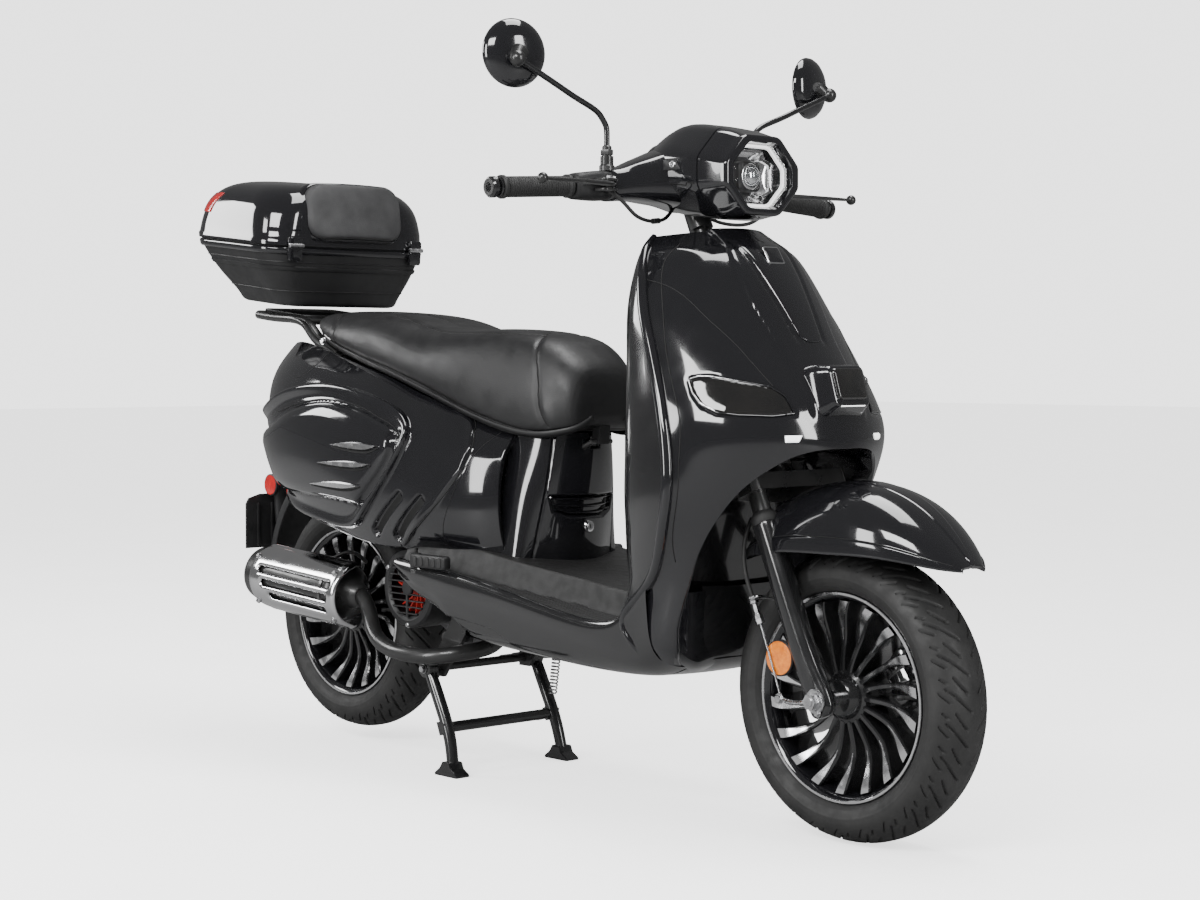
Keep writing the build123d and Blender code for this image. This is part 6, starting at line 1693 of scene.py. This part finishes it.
def build_headset():
    """Lamp cowl, main housing, arms, dash, seams and the side recesses."""
    rows = np.array([octagon_ring(*r) for r in HEAD_ROWS])
    rings = np.array([spline(rows[:, j], 90) for j in range(rows.shape[1])]).transpose(1, 0, 2)
    lip = [octagon_ring(451.5, 1076, 144, 110, 39, 0.1), octagon_ring(446, 1076, 140, 107, 38, 0.1),
           octagon_ring(430, 1076, 138, 105, 37.5, 0.1)]
    rings = np.concatenate([np.array(lip[::-1]), rings])
    split = 3 + int(np.argmin(np.abs(rings[3:, 0, 0] - 398)))
    cowl, body = rings[:split + 1], rings[split + 1:]
    centre = rings[split].mean(0)
    groove = centre + (rings[split] - centre) * 0.982
    groove_back = groove - (2.4, 0, 0)
    loft("headset_skin", np.concatenate([groove_back[None], body]), GLOSS, "steering", ("headset_cover",),
         caps=(False, True), crease=38)
    loft("headset_cowl", np.concatenate([cowl, groove[None]]), GLOSS, "steering", caps=(False, False),
         crease=34)
    loft("headset_gap", np.array([groove, groove_back]), SEAM_AND_SHADE, "steering", caps=(False, False))
    for side in SIDES:
        name = NAMED[side]
        sections = []
        for y, x, z, wide, tall, power in ((20, 296, 1082, 176, 122, 0.62), (60, 284, 1080, 140, 100, 0.62),
                                           (96, 272, 1075, 108, 82, 0.66), (128, 263, 1070, 84, 66, 0.7),
                                           (156, 256, 1064, 66, 56, 0.75), (172, 252, 1062, 58, 52, 0.75),
                                           (176, 252, 1062, 50, 44, 0.8)):
            ring = []
            for k in range(40):
                a = k * tau / 40
                c, s = cos(a), sin(a)
                ring.append((x + wide / 2 * abs(c) ** power * np.sign(c), side * y,
                             z + tall / 2 * abs(s) ** power * np.sign(s)))
            sections.append(ring)
        arm = np.array([spline(line, 40) for line in np.array(sections).transpose(1, 0, 2)]).transpose(1, 0,
                                                                                                       2)
        loft("headset_arm_" + name, arm, GLOSS, "steering", crease=50)
        low = []
        for ring in body[2:-14]:
            edge = ring[ring[:, 1] * side > 0]
            low.append(edge[np.argmin(np.abs(edge[:, 2] - 1062))])
        bar("headset_seam_" + name, even(np.array(low), 60), 1.0, SEAM_AND_SHADE, "steering", around=6, count=60)
        spot = np.array((338, side * 100, 1096))
        plate("headset_recess_" + name, rounded_outline(44, 20, 6), spot - (0, side * 3, 0),
              (0.1, side, 0.12), 3.4, MATT,
              "steering", up=(0, 0, 1))
        turned("headset_bolt_" + name, spot, (0.1, side, 0.12),
               ((0, 6), (1.4, 6), (2, 5), (2, 3.4), (0.6, 3.2)), STEEL,
               "steering", around=24)
    face = np.array((228, 0, 1112.0))
    plate("dash_bezel", rounded_outline(124, 66, 22), face + (6, 0, -4.5), (-0.8, 0, 0.6), 10, MATT,
          "steering",
          edge=3, up=(0.6, 0, 0.8))
    plate("dash_glass", rounded_outline(106, 50, 16), face, (-0.8, 0, 0.6), 4.5, SMOKE, "steering", edge=1.2,
          up=(0.6, 0, 0.8))


def build_headlight():
    """Reflector bowl, square projector, light ring and the clear octagonal lens."""
    z = 1076
    bowl = [octagon_ring(433, z, 138, 105, 37, 0.15), octagon_ring(424, z, 128, 96, 34, 0.2),
            octagon_ring(400, z, 104, 78, 27, 0.4), octagon_ring(378, z, 80, 62, 20, 0.6),
            octagon_ring(368, z, 40, 34, 10, 0.8)]
    loft("headlight_bowl", np.array(bowl)[::-1], SATIN_GLOSS, "steering", ("headlight_unit",),
         caps=(True, False),
         crease=30)
    ring = [octagon_ring(432, z, 137, 104, 37, 0.12), octagon_ring(434.5, z, 135, 102, 36.5, 0.12),
            octagon_ring(434.5, z, 127, 94.5, 34, 0.12), octagon_ring(431, z, 124, 92, 33, 0.12)]
    loft("headlight_ring", np.array(ring), WHITE, "steering", caps=(False, False), crease=40)
    for side in SIDES:
        fins = rounded_outline(30, 58, 6)
        plate("headlight_flap_" + NAMED[side], fins, (404, side * 40, z), (1, -side * 0.5, 0), 4, CHROME,
              "steering",
              up=(0, 0, 1))
    plate("headlight_hood", rounded_outline(84, 20, 6), (404, 0, z + 34), (1, 0, -0.45), 4, CHROME,
          "steering",
          up=(0, 0, 1))
    plate("headlight_tray", rounded_outline(84, 20, 6), (404, 0, z - 34), (1, 0, 0.45), 4, CHROME, "steering",
          up=(0, 0, 1))
    frame_outline = rounded_outline(54, 50, 10)
    plate("projector_frame", frame_outline, (396, 0, z), (1, 0, 0), 24, MATT, "steering", edge=4,
          up=(0, 0, 1))
    turned("projector_collar", (418, 0, z), (1, 0, 0), ((0, 22), (4, 22), (5, 20.5), (5, 18.5), (1, 18)),
           CHROME,
           "steering")
    dome = [(a, 18.5 * (1 - (a / 13) ** 2) ** 0.5) for a in np.linspace(0, 12.6, 14)]
    turned("projector_glass", (419, 0, z), (1, 0, 0), dome, GLASS, "steering", crease=0)
    lens = [octagon_ring(431, z, 138, 105, 37.5, 0.12), octagon_ring(441, z, 136, 103, 37, 0.14),
            octagon_ring(445, z, 124, 92, 33, 0.2), octagon_ring(447.5, z, 92, 68, 24, 0.4),
            octagon_ring(448.6, z, 40, 30, 10, 0.7)]
    loft("headlight_cover", np.array(lens), CLEAR, "steering", ("headlight_lens",), caps=(False, True),
         crease=30)


# ---------------------------------------------------------------- handlebar and mirrors
def grip_line(side):
    """Start and direction of the straight end of the bar."""
    start = np.array((250, side * 165, 1062.0))
    way = np.array((232, side * 395, 1049.0)) - start
    return start, way / np.linalg.norm(way)


def build_bars():
    """Ribbed grips, bar ends, switch pods with their buttons, lever forks, levers and cables."""
    for side in SIDES:
        name = NAMED[side]
        start, way = grip_line(side)
        body = "throttle" if side == RIGHT else "steering"
        profile = [(80, 14), (81, 18), (83, 19.6), (88, 19.6), (90, 17.6)]
        for k in range(26):
            base = 92 + 4.6 * k
            profile += [(base, 16.2), (base + 0.8, 17.2), (base + 3.0, 17.2), (base + 3.8, 16.2)]
        profile += [(213, 17.6), (215, 19.4), (220, 19.4), (222, 17), (222, 12)]
        turned("grip_rubber_" + name, start, way, profile, GRIP, body,
               ("throttle_grip" if side == RIGHT else "left_grip",), around=48, crease=30)
        ends = ((222, 10), (222.6, 16), (225, 17), (227, 16), (227.4, 11), (231, 11), (231.4, 16),
                (233, 17.4), (240, 17.4),
                (243, 15), (244, 8))
        turned("bar_end_" + name, start, way, ends, SATIN_GLOSS, "steering", around=48, crease=30)
        pod = []
        for along, wide, tall, power in ((6, 40, 42, 0.7), (9, 48, 48, 0.6), (30, 48, 50, 0.55),
                                         (58, 46, 46, 0.55),
                                         (74, 42, 42, 0.7), (79, 36, 36, 0.9)):
            middle = start + along * way
            ring = []
            for k in range(36):
                a = k * tau / 36
                c, s = cos(a), sin(a)
                ring.append(middle + (wide / 2 * abs(c) ** power * np.sign(c), 0,
                                      tall / 2 * abs(s) ** power * np.sign(s)))
            pod.append(ring)
        pod = np.array([spline(line, 30) for line in np.array(pod).transpose(1, 0, 2)]).transpose(1, 0, 2)
        loft("switch_pod_" + name, pod, MATT, "steering", ("control_perches",) if side == RIGHT else (),
             crease=40)
        middle = start + 42 * way
        bar("pod_seam_" + name, [middle + (24.4, -side * 34, 3), middle + (24.6, 0, 1),
                                 middle + (23.4, side * 30, -1)],
            0.7, SEAM_AND_SHADE, "steering", around=6)
        plate("lever_fork_top_" + name, rounded_outline(34, 30, 9), (283, side * 199, 1066), (0, 0, 1), 4.5,
              SATIN,
              "steering", edge=1.2, up=(1, 0, 0))
        plate("lever_fork_low_" + name, rounded_outline(34, 30, 9), (283, side * 199, 1049), (0, 0, 1), 4.5,
              SATIN,
              "steering", edge=1.2, up=(1, 0, 0))
        bolt("lever_pivot_bolt_" + name, (290, side * 199, 1070), (0, 0, 1), 5, STEEL, "steering")
        path = [(284, side * 191, 1060), (300, side * 205, 1060), (309, side * 236, 1060),
                (315, side * 280, 1060),
                (319, side * 330, 1060), (319, side * 362, 1060)]
        bar("lever_blade_" + name, path, (8, 9, 8.6, 7.4, 6.4, 5), SATIN, "lever_" + name,
            ("brake_lever_" + name,),
            around=20, count=60, flat=0.5)
        ball = [(9 * -cos(a), 9 * sin(a)) for a in np.linspace(0.25, pi - 0.12, 16)]
        turned("lever_ball_" + name, (319, side * 368, 1060), (0, side, 0), ball, SATIN, "lever_" + name,
               around=32)
        for k in range(2):
            spot = start + (20 + 26 * k) * way + np.array((-24, 0, 6 - 12 * k))
            plate("pod_switch_%d_%s" % (k, name), rounded_outline(15, 11, 3), spot, (-1, 0, 0.1), 5,
                  MATT if k else GRIP, "steering", up=(0, 0, 1))
        mirror_side(side)
    plate("starter_cap", rounded_outline(14, 10, 2.5), (229, -200, 1066), (-1, 0, 0), 8, RED, "starter",
          ("starter_button",), up=(0, 0, 1))
    loop = [(282, -190, 1050), (296, -170, 1030), (300, -150, 1012), (296, -120, 1004), (286, -96, 1004)]
    bar("cable_loop", loop, 3.2, GRIP, "steering", around=12, count=50)
    bar("cable_coupler", [(286, -96, 1004), (280, -76, 1006)], (5, 5), MATT, "steering", around=14, count=8)
    bar("cable_return", [(280, -76, 1006), (272, -52, 1012), (266, -28, 1030)], 3.2, GRIP, "steering",
        around=12,
        count=30)
    second = [(280, 190, 1050), (292, 168, 1030), (292, 140, 1012), (284, 108, 1006), (272, 60, 1014),
              (266, 30, 1034)]
    bar("cable_loop_left", second, 3.2, GRIP, "steering", around=12, count=60)


def mirror_side(side):
    """Mirror stem, its foot nut, ball joint, shell and glass."""
    name = NAMED[side]
    foot, ball = np.array((255, side * 172, 1092.0)), np.array((262, side * 372, 1254.0))
    path = np.array([foot, foot + (0, 0, 52), foot + (0, side * 2, 68), foot + (0.4, side * 10, 79),
                     foot + (1, side * 22, 90)])
    way = ball - path[-1]
    tail = [path[-1] + way * k for k in (0.25, 0.5, 0.75, 1.0)]
    bar("mirror_stem_" + name, np.vstack([path, tail]), 5, SATIN_GLOSS, "steering",
        ("mirror_stems",) if side == RIGHT else (), around=20, count=90)
    turned("mirror_foot_" + name, foot, (0, 0, 1),
           ((-6, 9), (-6, 13), (2, 13), (4, 11), (18, 11), (19, 8), (34, 8),
                                                    (36, 6)), SATIN, "steering", around=32, crease=30)
    plate("mirror_nut_" + name, [(11 * cos(k * pi / 3), 11 * sin(k * pi / 3)) for k in range(6)],
          foot + (0, 0, 20),
          (0, 0, 1), 9, SATIN, "steering", edge=1)
    face = np.array((-cos(radians(14)), -side * sin(radians(14)), 0))
    back = ball + 14 * face
    centre = back + (0, -side * 12, 14)
    shell = ((-1, 8), (0, 24), (2, 34), (6, 43), (11, 50), (17, 54.6), (22, 56), (24, 55.4), (24, 52.6),
             (20, 52))
    turned("mirror_shell_" + name, centre, face, shell, GLOSS, "mirror_" + name, ("mirror_head_" + name,),
           around=96,
           crease=45)
    turned("mirror_face_" + name, centre, face, ((15, 52), (20.5, 52), (21, 51)), GLASS, "mirror_" + name,
           around=96)
    knuckle = [(13 * -cos(a), 13 * sin(a)) for a in np.linspace(0.2, pi - 0.75, 18)]
    turned("mirror_socket_" + name, ball, face, knuckle[::-1], SATIN, "mirror_" + name, around=40)
    bar("mirror_neck_" + name, [ball + face * 6, centre + face * 1], (11, 15), SATIN, "mirror_" + name,
        around=28,
        count=12)

# ---------------------------------------------------------------- engine, exhaust, stands
MUFFLER_FRONT = np.array((-480, -146, 314.0))
MUFFLER_WAY = np.array((-350, 0, 24.0)) / np.linalg.norm((-350, 0, 24.0))
MUFFLER_UP = np.cross(np.array((0, -1.0, 0)), MUFFLER_WAY)
MUFFLER_UP = MUFFLER_UP if MUFFLER_UP[2] > 0 else -MUFFLER_UP


def muffler_point(along, turn, radius):
    """A point round the silencer: turn is the angle up from the outward direction."""
    out = np.array((0, -1.0, 0))
    return MUFFLER_FRONT + along * MUFFLER_WAY + radius * (cos(turn) * out + sin(turn) * MUFFLER_UP)


def build_exhaust():
    """Header pipe, silencer body with its end caps and outlet, and the slotted heat shield."""
    pipe = [(-190, -34, 298), (-190, -36, 256), (-194, -60, 236), (-204, -118, 228), (-236, -152, 222),
            (-290, -170, 221),
            (-350, -172, 226), (-405, -166, 246), (-445, -152, 284), (-476, -146, 313), (-500, -146, 315.5)]
    bar("header_pipe", pipe, 15, SATIN, "engine", ("exhaust",), around=28, count=120)
    body = ((-4, 18), (0, 23), (12, 27), (28, 40), (40, 50), (48, 55), (54, 56), (320, 56), (328, 54),
            (336, 48),
            (342, 40), (343, 20))
    turned("silencer_body", MUFFLER_FRONT, MUFFLER_WAY, body, SATIN, "engine", around=72, crease=35)
    turned("silencer_band", MUFFLER_FRONT, MUFFLER_WAY, ((58, 56), (58, 58), (66, 58), (66, 56)), SATIN,
           "engine",
           around=72)
    tip = muffler_point(340, 0, 18)
    turned("silencer_outlet", tip, MUFFLER_WAY, ((0, 13), (22, 13), (22, 10), (2, 10)), STEEL, "engine",
           around=40)
    rings = []
    for along, radius in ((6, 57), (8, 62), (14, 64.5), (24, 65), (278, 65), (290, 64), (298, 61.5),
                          (301, 57)):
        rings.append([muffler_point(along, radians(t), radius) for t in np.linspace(-88, 88, 89)])
    outer = np.array(rings)
    grid = np.array([even(outer[:, j], 150) for j in range(outer.shape[1])]).transpose(1, 0, 2)
    along = (grid - MUFFLER_FRONT) @ MUFFLER_WAY
    turn = np.radians(np.linspace(-88, 88, 89))[None] + 0 * along
    arc = turn * 65
    open_slots = np.full(along.shape, -1e9)
    for centre, low, high in ((-31, 44, 226), (-4, 36, 248), (23, 30, 262)):
        gap = np.maximum(0, np.maximum(low - along, along - high))
        open_slots = np.maximum(open_slots, 6.6 - np.hypot(gap, arc - centre))
    dip = smooth(open_slots, -5.5, -0.4) * 3.2
    middle = MUFFLER_FRONT + along[..., None] * MUFFLER_WAY
    out = grid - middle
    out /= np.linalg.norm(out, axis=2, keepdims=True)
    grid = grid - dip[..., None] * out
    edge = 2.0 * np.exp(-(((np.abs(arc) - 92) / 4) ** 2))
    grid = grid + edge[..., None] * out
    rows, columns = grid.shape[:2]
    faces = []
    for i in range(rows - 1):
        for j in range(columns - 1):
            if open_slots[i:i + 2, j:j + 2].max() < 1.2:
                faces.append((i * columns + j, i * columns + j + 1, (i + 1) * columns + j + 1,
                              (i + 1) * columns + j))
    piece("muffler_heat_shield", grid.reshape(-1, 3), faces, CHROME, "engine", ("muffler_shield",), crease=60,
          thick=1.8)
    for k, (along, turn) in enumerate(((22, 42), (22, -46), (284, 42), (284, -46))):
        spot = muffler_point(along, radians(turn), 65)
        way = spot - muffler_point(along, 0, 0)
        bolt("shield_bolt_%d" % k, spot, way, 5, STEEL, "engine")
    bar("silencer_bracket", [muffler_point(120, radians(100), 54), (-560, -110, 392), (-548, -84, 372)], 11,
        SATIN,
        "engine", count=20, flat=0.35)


def build_fan_cover():
    """Scroll round the fan with a louvred grille, and red fan blades behind it."""
    crank = np.array((-340, 0, 340.0))
    out = np.array((0, -1.0, 0))
    scroll = ((-82, 64), (-82, 72), (-60, 76), (-20, 77), (-4, 76), (0, 72), (1, 62), (-3, 57), (-3, 54))
    turned("fan_scroll", crank + 140 * out, out, [(a, r) for a, r in scroll], MATT, "engine", ("fan_cover",),
           around=72, caps=(False, False), crease=35)
    for k in range(9):
        z = -48 + 12 * k
        reach = (57 ** 2 - z * z) ** 0.5
        bar("fan_louvre_%d" % k, [crank + (-reach, -139, z), crank + (reach, -139, z)], 3.4, MATT, "engine",
            around=10,
            count=8, flat=0.5)
    bar("fan_upright", [crank + (0, -140, -56), crank + (0, -140, 56)], 3.4, MATT, "engine", around=10,
        count=8)
    turned("fan_grille_hub", crank + 136 * out, out, ((0, 15), (5, 15), (7, 13), (7.6, 6)), MATT, "engine")
    for k in range(3):
        a = radians(30 + 120 * k)
        bolt("fan_cover_bolt_%d" % k, crank + (70 * cos(a), -138, 70 * sin(a)), out, 4.5, STEEL, "engine")


def build_stands():
    """Centre stand with its feet and cross tube, side stand, spring and brackets."""
    px, pz = -288, 192
    for side in SIDES:
        name = NAMED[side]
        y = side * 130
        leg = [(px, y, pz), (px + 14, y, 168), (px + 36, y, 128), (-224, side * 131, 70),
               (-211, side * 134, 20)]
        bar("stand_leg_" + name, leg, (11, 12, 12, 11.5, 11), SATIN_GLOSS, "stand_centre",
            ("centre_stand",) if side == RIGHT else (), around=24, count=60)
        turned("stand_knuckle_" + name, (px, y - 11, pz), (0, 1, 0), ((0, 12), (1, 17), (21, 17), (22, 12)),
               SATIN_GLOSS, "stand_centre")
        foot = np.array(((-245, 0), (-180, 0), (-179, 4), (-196, 14), (-202, 26), (-224, 26), (-232, 14),
                         (-246, 4)))
        rings = [[(x, side * 135 + w, z) for x, z in foot] for w in (-16, -14, 14, 16)]
        drawn = np.array(rings)
        for k in (0, 3):
            middle = drawn[k].mean(0)
            drawn[k] = middle + (drawn[k] - middle) * (0.94, 1, 0.92)
        drawn[..., 2] = np.maximum(drawn[..., 2], 0.4)
        loft("stand_foot_" + name, drawn, SATIN_GLOSS, "stand_centre", crease=30)
        gusset = np.array(((-250, 96), (-226, 96), (-232, 74), (-240, 72)))
        rings = [[(x, y + w, z) for x, z in gusset] for w in (-12, 12)]
        loft("stand_gusset_" + name, np.array(rings), SATIN_GLOSS, "stand_centre", crease=30)
        bolt("stand_bolt_" + name, (px, y + side * 12, pz), (0, side, 0), 7, STEEL, "stand_centre")
    bar("stand_cross", [(px + 52, -130, 86), (px + 52, 130, 86)], 10, SATIN_GLOSS, "stand_centre",
        around=24, count=16)
    bar("stand_tang", [(-244, 134, 100), (-268, 144, 84), (-290, 150, 72), (-318, 154, 66)], (8, 8, 8, 7),
        SATIN_GLOSS, "stand_centre", around=20, count=30)
    path = [(-180, 179, 246), (-210, 180, 226), (-250, 182, 202), (-330, 185, 187), (-420, 188, 172)]
    bar("side_stand_leg", path, (11, 10, 9.5, 9, 8.5), SATIN_GLOSS, "stand_side", ("side_stand",), around=24,
        count=60)
    turned("side_stand_knuckle", (-180, 171, 246), (0, 1, 0), ((0, 10), (1, 15), (15, 15), (16, 10)),
           SATIN_GLOSS,
           "stand_side")
    plate("side_stand_foot", rounded_outline(46, 30, 7), (-426, 186, 166), (0.17, 0, 1), 8, SATIN_GLOSS,
          "stand_side",
          edge=2, up=(1, 0, 0))
    coil("stand_spring", (-206, 122, 236), (-226, 124, 124), 7.5, 1.5, 17, STEEL, "stand_centre")


def coil(name, start, end, radius, wire, turns, material, body, stands_for=()):
    """A helical spring between two points."""
    start, end = np.asarray(start, float), np.asarray(end, float)
    u, v, w = axes_of(end - start)
    length = np.linalg.norm(end - start)
    shares = np.linspace(0, 1, turns * 14)
    path = np.array([start + length * s * w + radius * (cos(tau * turns * s) * u + sin(tau * turns * s) * v)
                     for s in shares])
    tangent = np.gradient(path, axis=0)
    tangent /= np.linalg.norm(tangent, axis=1, keepdims=True)
    away = path - (start + np.outer(length * shares, w))
    away /= np.linalg.norm(away, axis=1, keepdims=True)
    third = np.cross(tangent, away)
    rings = np.array([p + wire * (np.cos(a)[:, None] * q + np.sin(a)[:, None] * r) for p, q, r, a in
                      zip(path, away, third, [np.linspace(0, tau, 10, endpoint=False)] * len(path))])
    return loft(name, rings, material, body, stands_for, crease=60)


def build_shock():
    """Damper tube, rod, coil spring, spring seats and rubber eyes."""
    top, low = np.array((-565, 104, 668.0)), np.array((-636, 104, 392.0))
    way = (low - top) / np.linalg.norm(low - top)
    reach = np.linalg.norm(low - top)
    turned("damper_tube", top, way, ((12, 12), (14, 17), (160, 17), (162, 8)), SATIN, "shock_upper",
           ("shock_body",),
           around=40)
    turned("spring_seat_top", top, way, ((28, 14), (29, 28), (35, 28.6), (37, 24)), SATIN, "shock_upper")
    turned("damper_rod", top, way, ((140, 6), (reach - 10, 6)), CHROME, "shock_lower", ("shock_rod",),
           around=24)
    turned("spring_seat_low", top, way, ((reach - 46, 24), (reach - 44, 28.6), (reach - 38, 28),
                                         (reach - 37, 14)),
           SATIN, "shock_lower")
    for name, eye, body in (("top", top, "shock_upper"), ("low", low, "shock_lower")):
        turned("shock_eye_" + name, eye + (0, -9, 0), (0, 1, 0),
               ((0, 8), (0, 14), (1, 15.5), (17, 15.5), (18, 14),
                                                                 (18, 8)), STEEL, body)
        turned("shock_bush_" + name, eye + (0, -10, 0), (0, 1, 0), ((0, 6), (0, 9), (20, 9), (20, 6)), GRIP,
               body)
    coil("shock_coil", top + 38 * way, top + (reach - 46) * way, 22.5, 3.7, 9, SATIN_GLOSS, "shock_upper",
         ("shock_spring",))


def build_splash():
    """Glossy panel behind the front wheel, from the shield's opening down to the belly."""
    rows = []
    for z, x, half in ((392, 424, 200), (350, 421, 203), (322, 417, 200), (296, 411, 188), (274, 402, 152),
                       (260, 388, 120), (250, 366, 98)):
        rows.append([(x, 0, z), (x + 1, half * 0.3, z), (x + 7, half * 0.6, z), (x + 10, half * 0.85, z),
                     (x - 4, half * 0.97, z), (min(x - 14, 396), half, z)])
    sheet("splash_panel", skin(both_halves(rows), 100, 70), GLOSS, "frame", roll=("last",), out=(1, 0, 0),
          radius=4,
          depth=10)
# CAD nodes that stay as they are get the material of their real finish.
KEPT = {
    "frame_tubes": SATIN, "inner_leg_panel": GLOSS, "storage_bucket": MATT, "fuel_tank": SATIN,
    "rear_mudguard": MATT, "rear_carrier": SATIN, "steering_stem": SATIN, "handlebar": SATIN,
    "brake_caliper": SATIN, "front_axle": STEEL, "front_disc": STEEL, "crankcase": ALLOY, "cylinder": ALLOY,
    "cooling_fan": RED_FAN, "fan_cover": MATT, "exhaust": SATIN, "muffler_shield": CHROME,
    "centre_stand": SATIN, "side_stand": SATIN, "seat_pan": MATT, "shock_body": SATIN, "shock_rod": STEEL,
    "shock_spring": STEEL, "kick_lever": STEEL, "ignition_key": STEEL, "peg_right": MATT, "peg_left": MATT,
    "leg_shield": GLOSS, "floor_board": MAT_FLOOR, "lower_cowl": BELLY, "seat_front_panel": GLOSS,
    "body_shell_right": GLOSS, "body_shell_left": GLOSS, "side_scoops": GLOSS, "tail_light": RED,
    "box_base": MATT, "box_lid": GLOSS, "box_pad": PAD, "box_reflectors": RED, "front_lenses": SMOKE,
    "front_fender": GLOSS, "headset_cover": GLOSS, "headlight_unit": CHROME, "headlight_lens": CLEAR,
    "left_grip": GRIP, "throttle_grip": GRIP, "control_perches": MATT, "mirror_stems": SATIN,
    "mirror_head_right": GLOSS, "mirror_head_left": GLOSS, "brake_lever_right": SATIN,
    "brake_lever_left": SATIN, "starter_button": MATT, "fork_sliders": SATIN, "fork_reflectors": AMBER,
    "front_rim": SATIN, "front_tyre": TYRE, "rear_rim": SATIN, "rear_tyre": TYRE, "seat_cushion": VINYL}
for node, material in KEPT.items():
    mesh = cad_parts[node].data
    mesh.materials.clear()
    mesh.materials.append(material)

# ---------------------------------------------------------------- build
shield = build_shield()
build_shield_details(shield)
build_wheel_well()
build_inner_panel()
build_mudguard()
build_wheels()
build_front_axle()
for one in SIDES:
    build_flank(one)
    build_side_panel(one)
build_tail()
build_column()
build_floor()
build_belly()
build_pegs()
build_box()
build_carrier()
build_rear_guard()
build_seat()
build_seat_pan()
build_headset()
build_headlight()
build_bars()
build_exhaust()
build_fan_cover()
build_stands()
build_shock()
build_splash()


# ---------------------------------------------------------------- studio and camera
def area_light(name, place, target, size, power):
    """A large soft rectangular light."""
    data = bpy.data.lights.new(name, "AREA")
    data.shape = "RECTANGLE"
    data.size, data.size_y = size
    data.energy = power
    lamp = bpy.data.objects.new(name, data)
    lamp.location = Vector(place) + Vector(MIDDLE)
    lamp.rotation_euler = (Vector(target) - Vector(place)).to_track_quat("-Z", "Y").to_euler()
    bpy.context.scene.collection.objects.link(lamp)


def studio():
    """White floor and backdrop; glossy surfaces see a darker room with softboxes in it."""
    world = bpy.data.worlds.new("studio")
    world.use_nodes = True
    tree = world.node_tree
    room = tree.nodes["Background"]
    room.inputs["Color"].default_value = (1, 1, 1, 1)
    path = tree.nodes.new("ShaderNodeLightPath")
    strength = tree.nodes.new("ShaderNodeMapRange")
    strength.inputs["To Min"].default_value = 1.0
    strength.inputs["To Max"].default_value = 0.16
    tree.links.new(path.outputs["Is Glossy Ray"], strength.inputs["Value"])
    total = tree.nodes.new("ShaderNodeMath")
    total.operation = "MULTIPLY_ADD"
    total.inputs[1].default_value = 1.7
    tree.links.new(path.outputs["Is Camera Ray"], total.inputs[0])
    tree.links.new(strength.outputs["Result"], total.inputs[2])
    tree.links.new(total.outputs[0], room.inputs["Strength"])
    bpy.context.scene.world = world
    shader = Shader("studio_floor", (0.97, 0.97, 0.97), 0.7)
    shader.vary_roughness(3, 0.65, 0.75)
    shader.bump(shader.noise(40, 2), 0.0002, 0.2)
    shader.main.inputs["Emission Color"].default_value = (1, 1, 1, 1)
    seen = shader.tree.nodes.new("ShaderNodeLightPath").outputs["Is Camera Ray"]
    shader.tree.links.new(shader.ramp(seen, 0, 1, 0, 1.5), shader.main.inputs["Emission Strength"])
    mirrored = shader.tree.nodes.new("ShaderNodeLightPath").outputs["Is Glossy Ray"]
    shader.tree.links.new(shader.ramp(mirrored, 0, 1, 0.97, 0.2), shader.main.inputs["Base Color"])
    mesh = bpy.data.meshes.new("studio_floor")
    reach = 30.0
    mesh.from_pydata([(-reach, -reach, 0), (reach, -reach, 0), (reach, reach, 0), (-reach, reach, 0)], [],
                     [(0, 1, 2, 3)])
    mesh.materials.append(shader.material)
    floor = bpy.data.objects.new("studio_floor", mesh)
    bpy.context.scene.collection.objects.link(floor)
    area_light("key_softbox", (1.6, -3.6, 3.2), (0, 0, 0.5), (2.4, 1.2), 170)
    area_light("front_softbox", (4.6, 0.6, 1.9), (0.3, 0, 0.6), (0.7, 2.6), 90)
    area_light("side_softbox", (-0.6, -4.2, 1.7), (-0.3, 0, 0.6), (0.9, 2.2), 90)
    area_light("rear_softbox", (-4.0, -2.2, 2.4), (-0.4, 0, 0.6), (1.2, 1.6), 80)
    area_light("top_softbox", (0.2, 0.6, 4.0), (0, 0, 0.5), (2.6, 1.4), 110)


def camera():
    """Three-quarter view of the scooter's right side, slightly above the axles, looking a little down."""
    data = bpy.data.cameras.new("camera")
    data.lens, data.sensor_width = 66.6, 36.0
    data.clip_start = 0.05
    eye = bpy.data.objects.new("camera", data)
    eye.location = Vector((3.0064, -2.6788, 0.7678)) + Vector(MIDDLE)
    eye.rotation_euler = (radians(90 - 2.28), 0, radians(47.84))
    bpy.context.scene.collection.objects.link(eye)
    bpy.context.scene.camera = eye


studio()
camera()
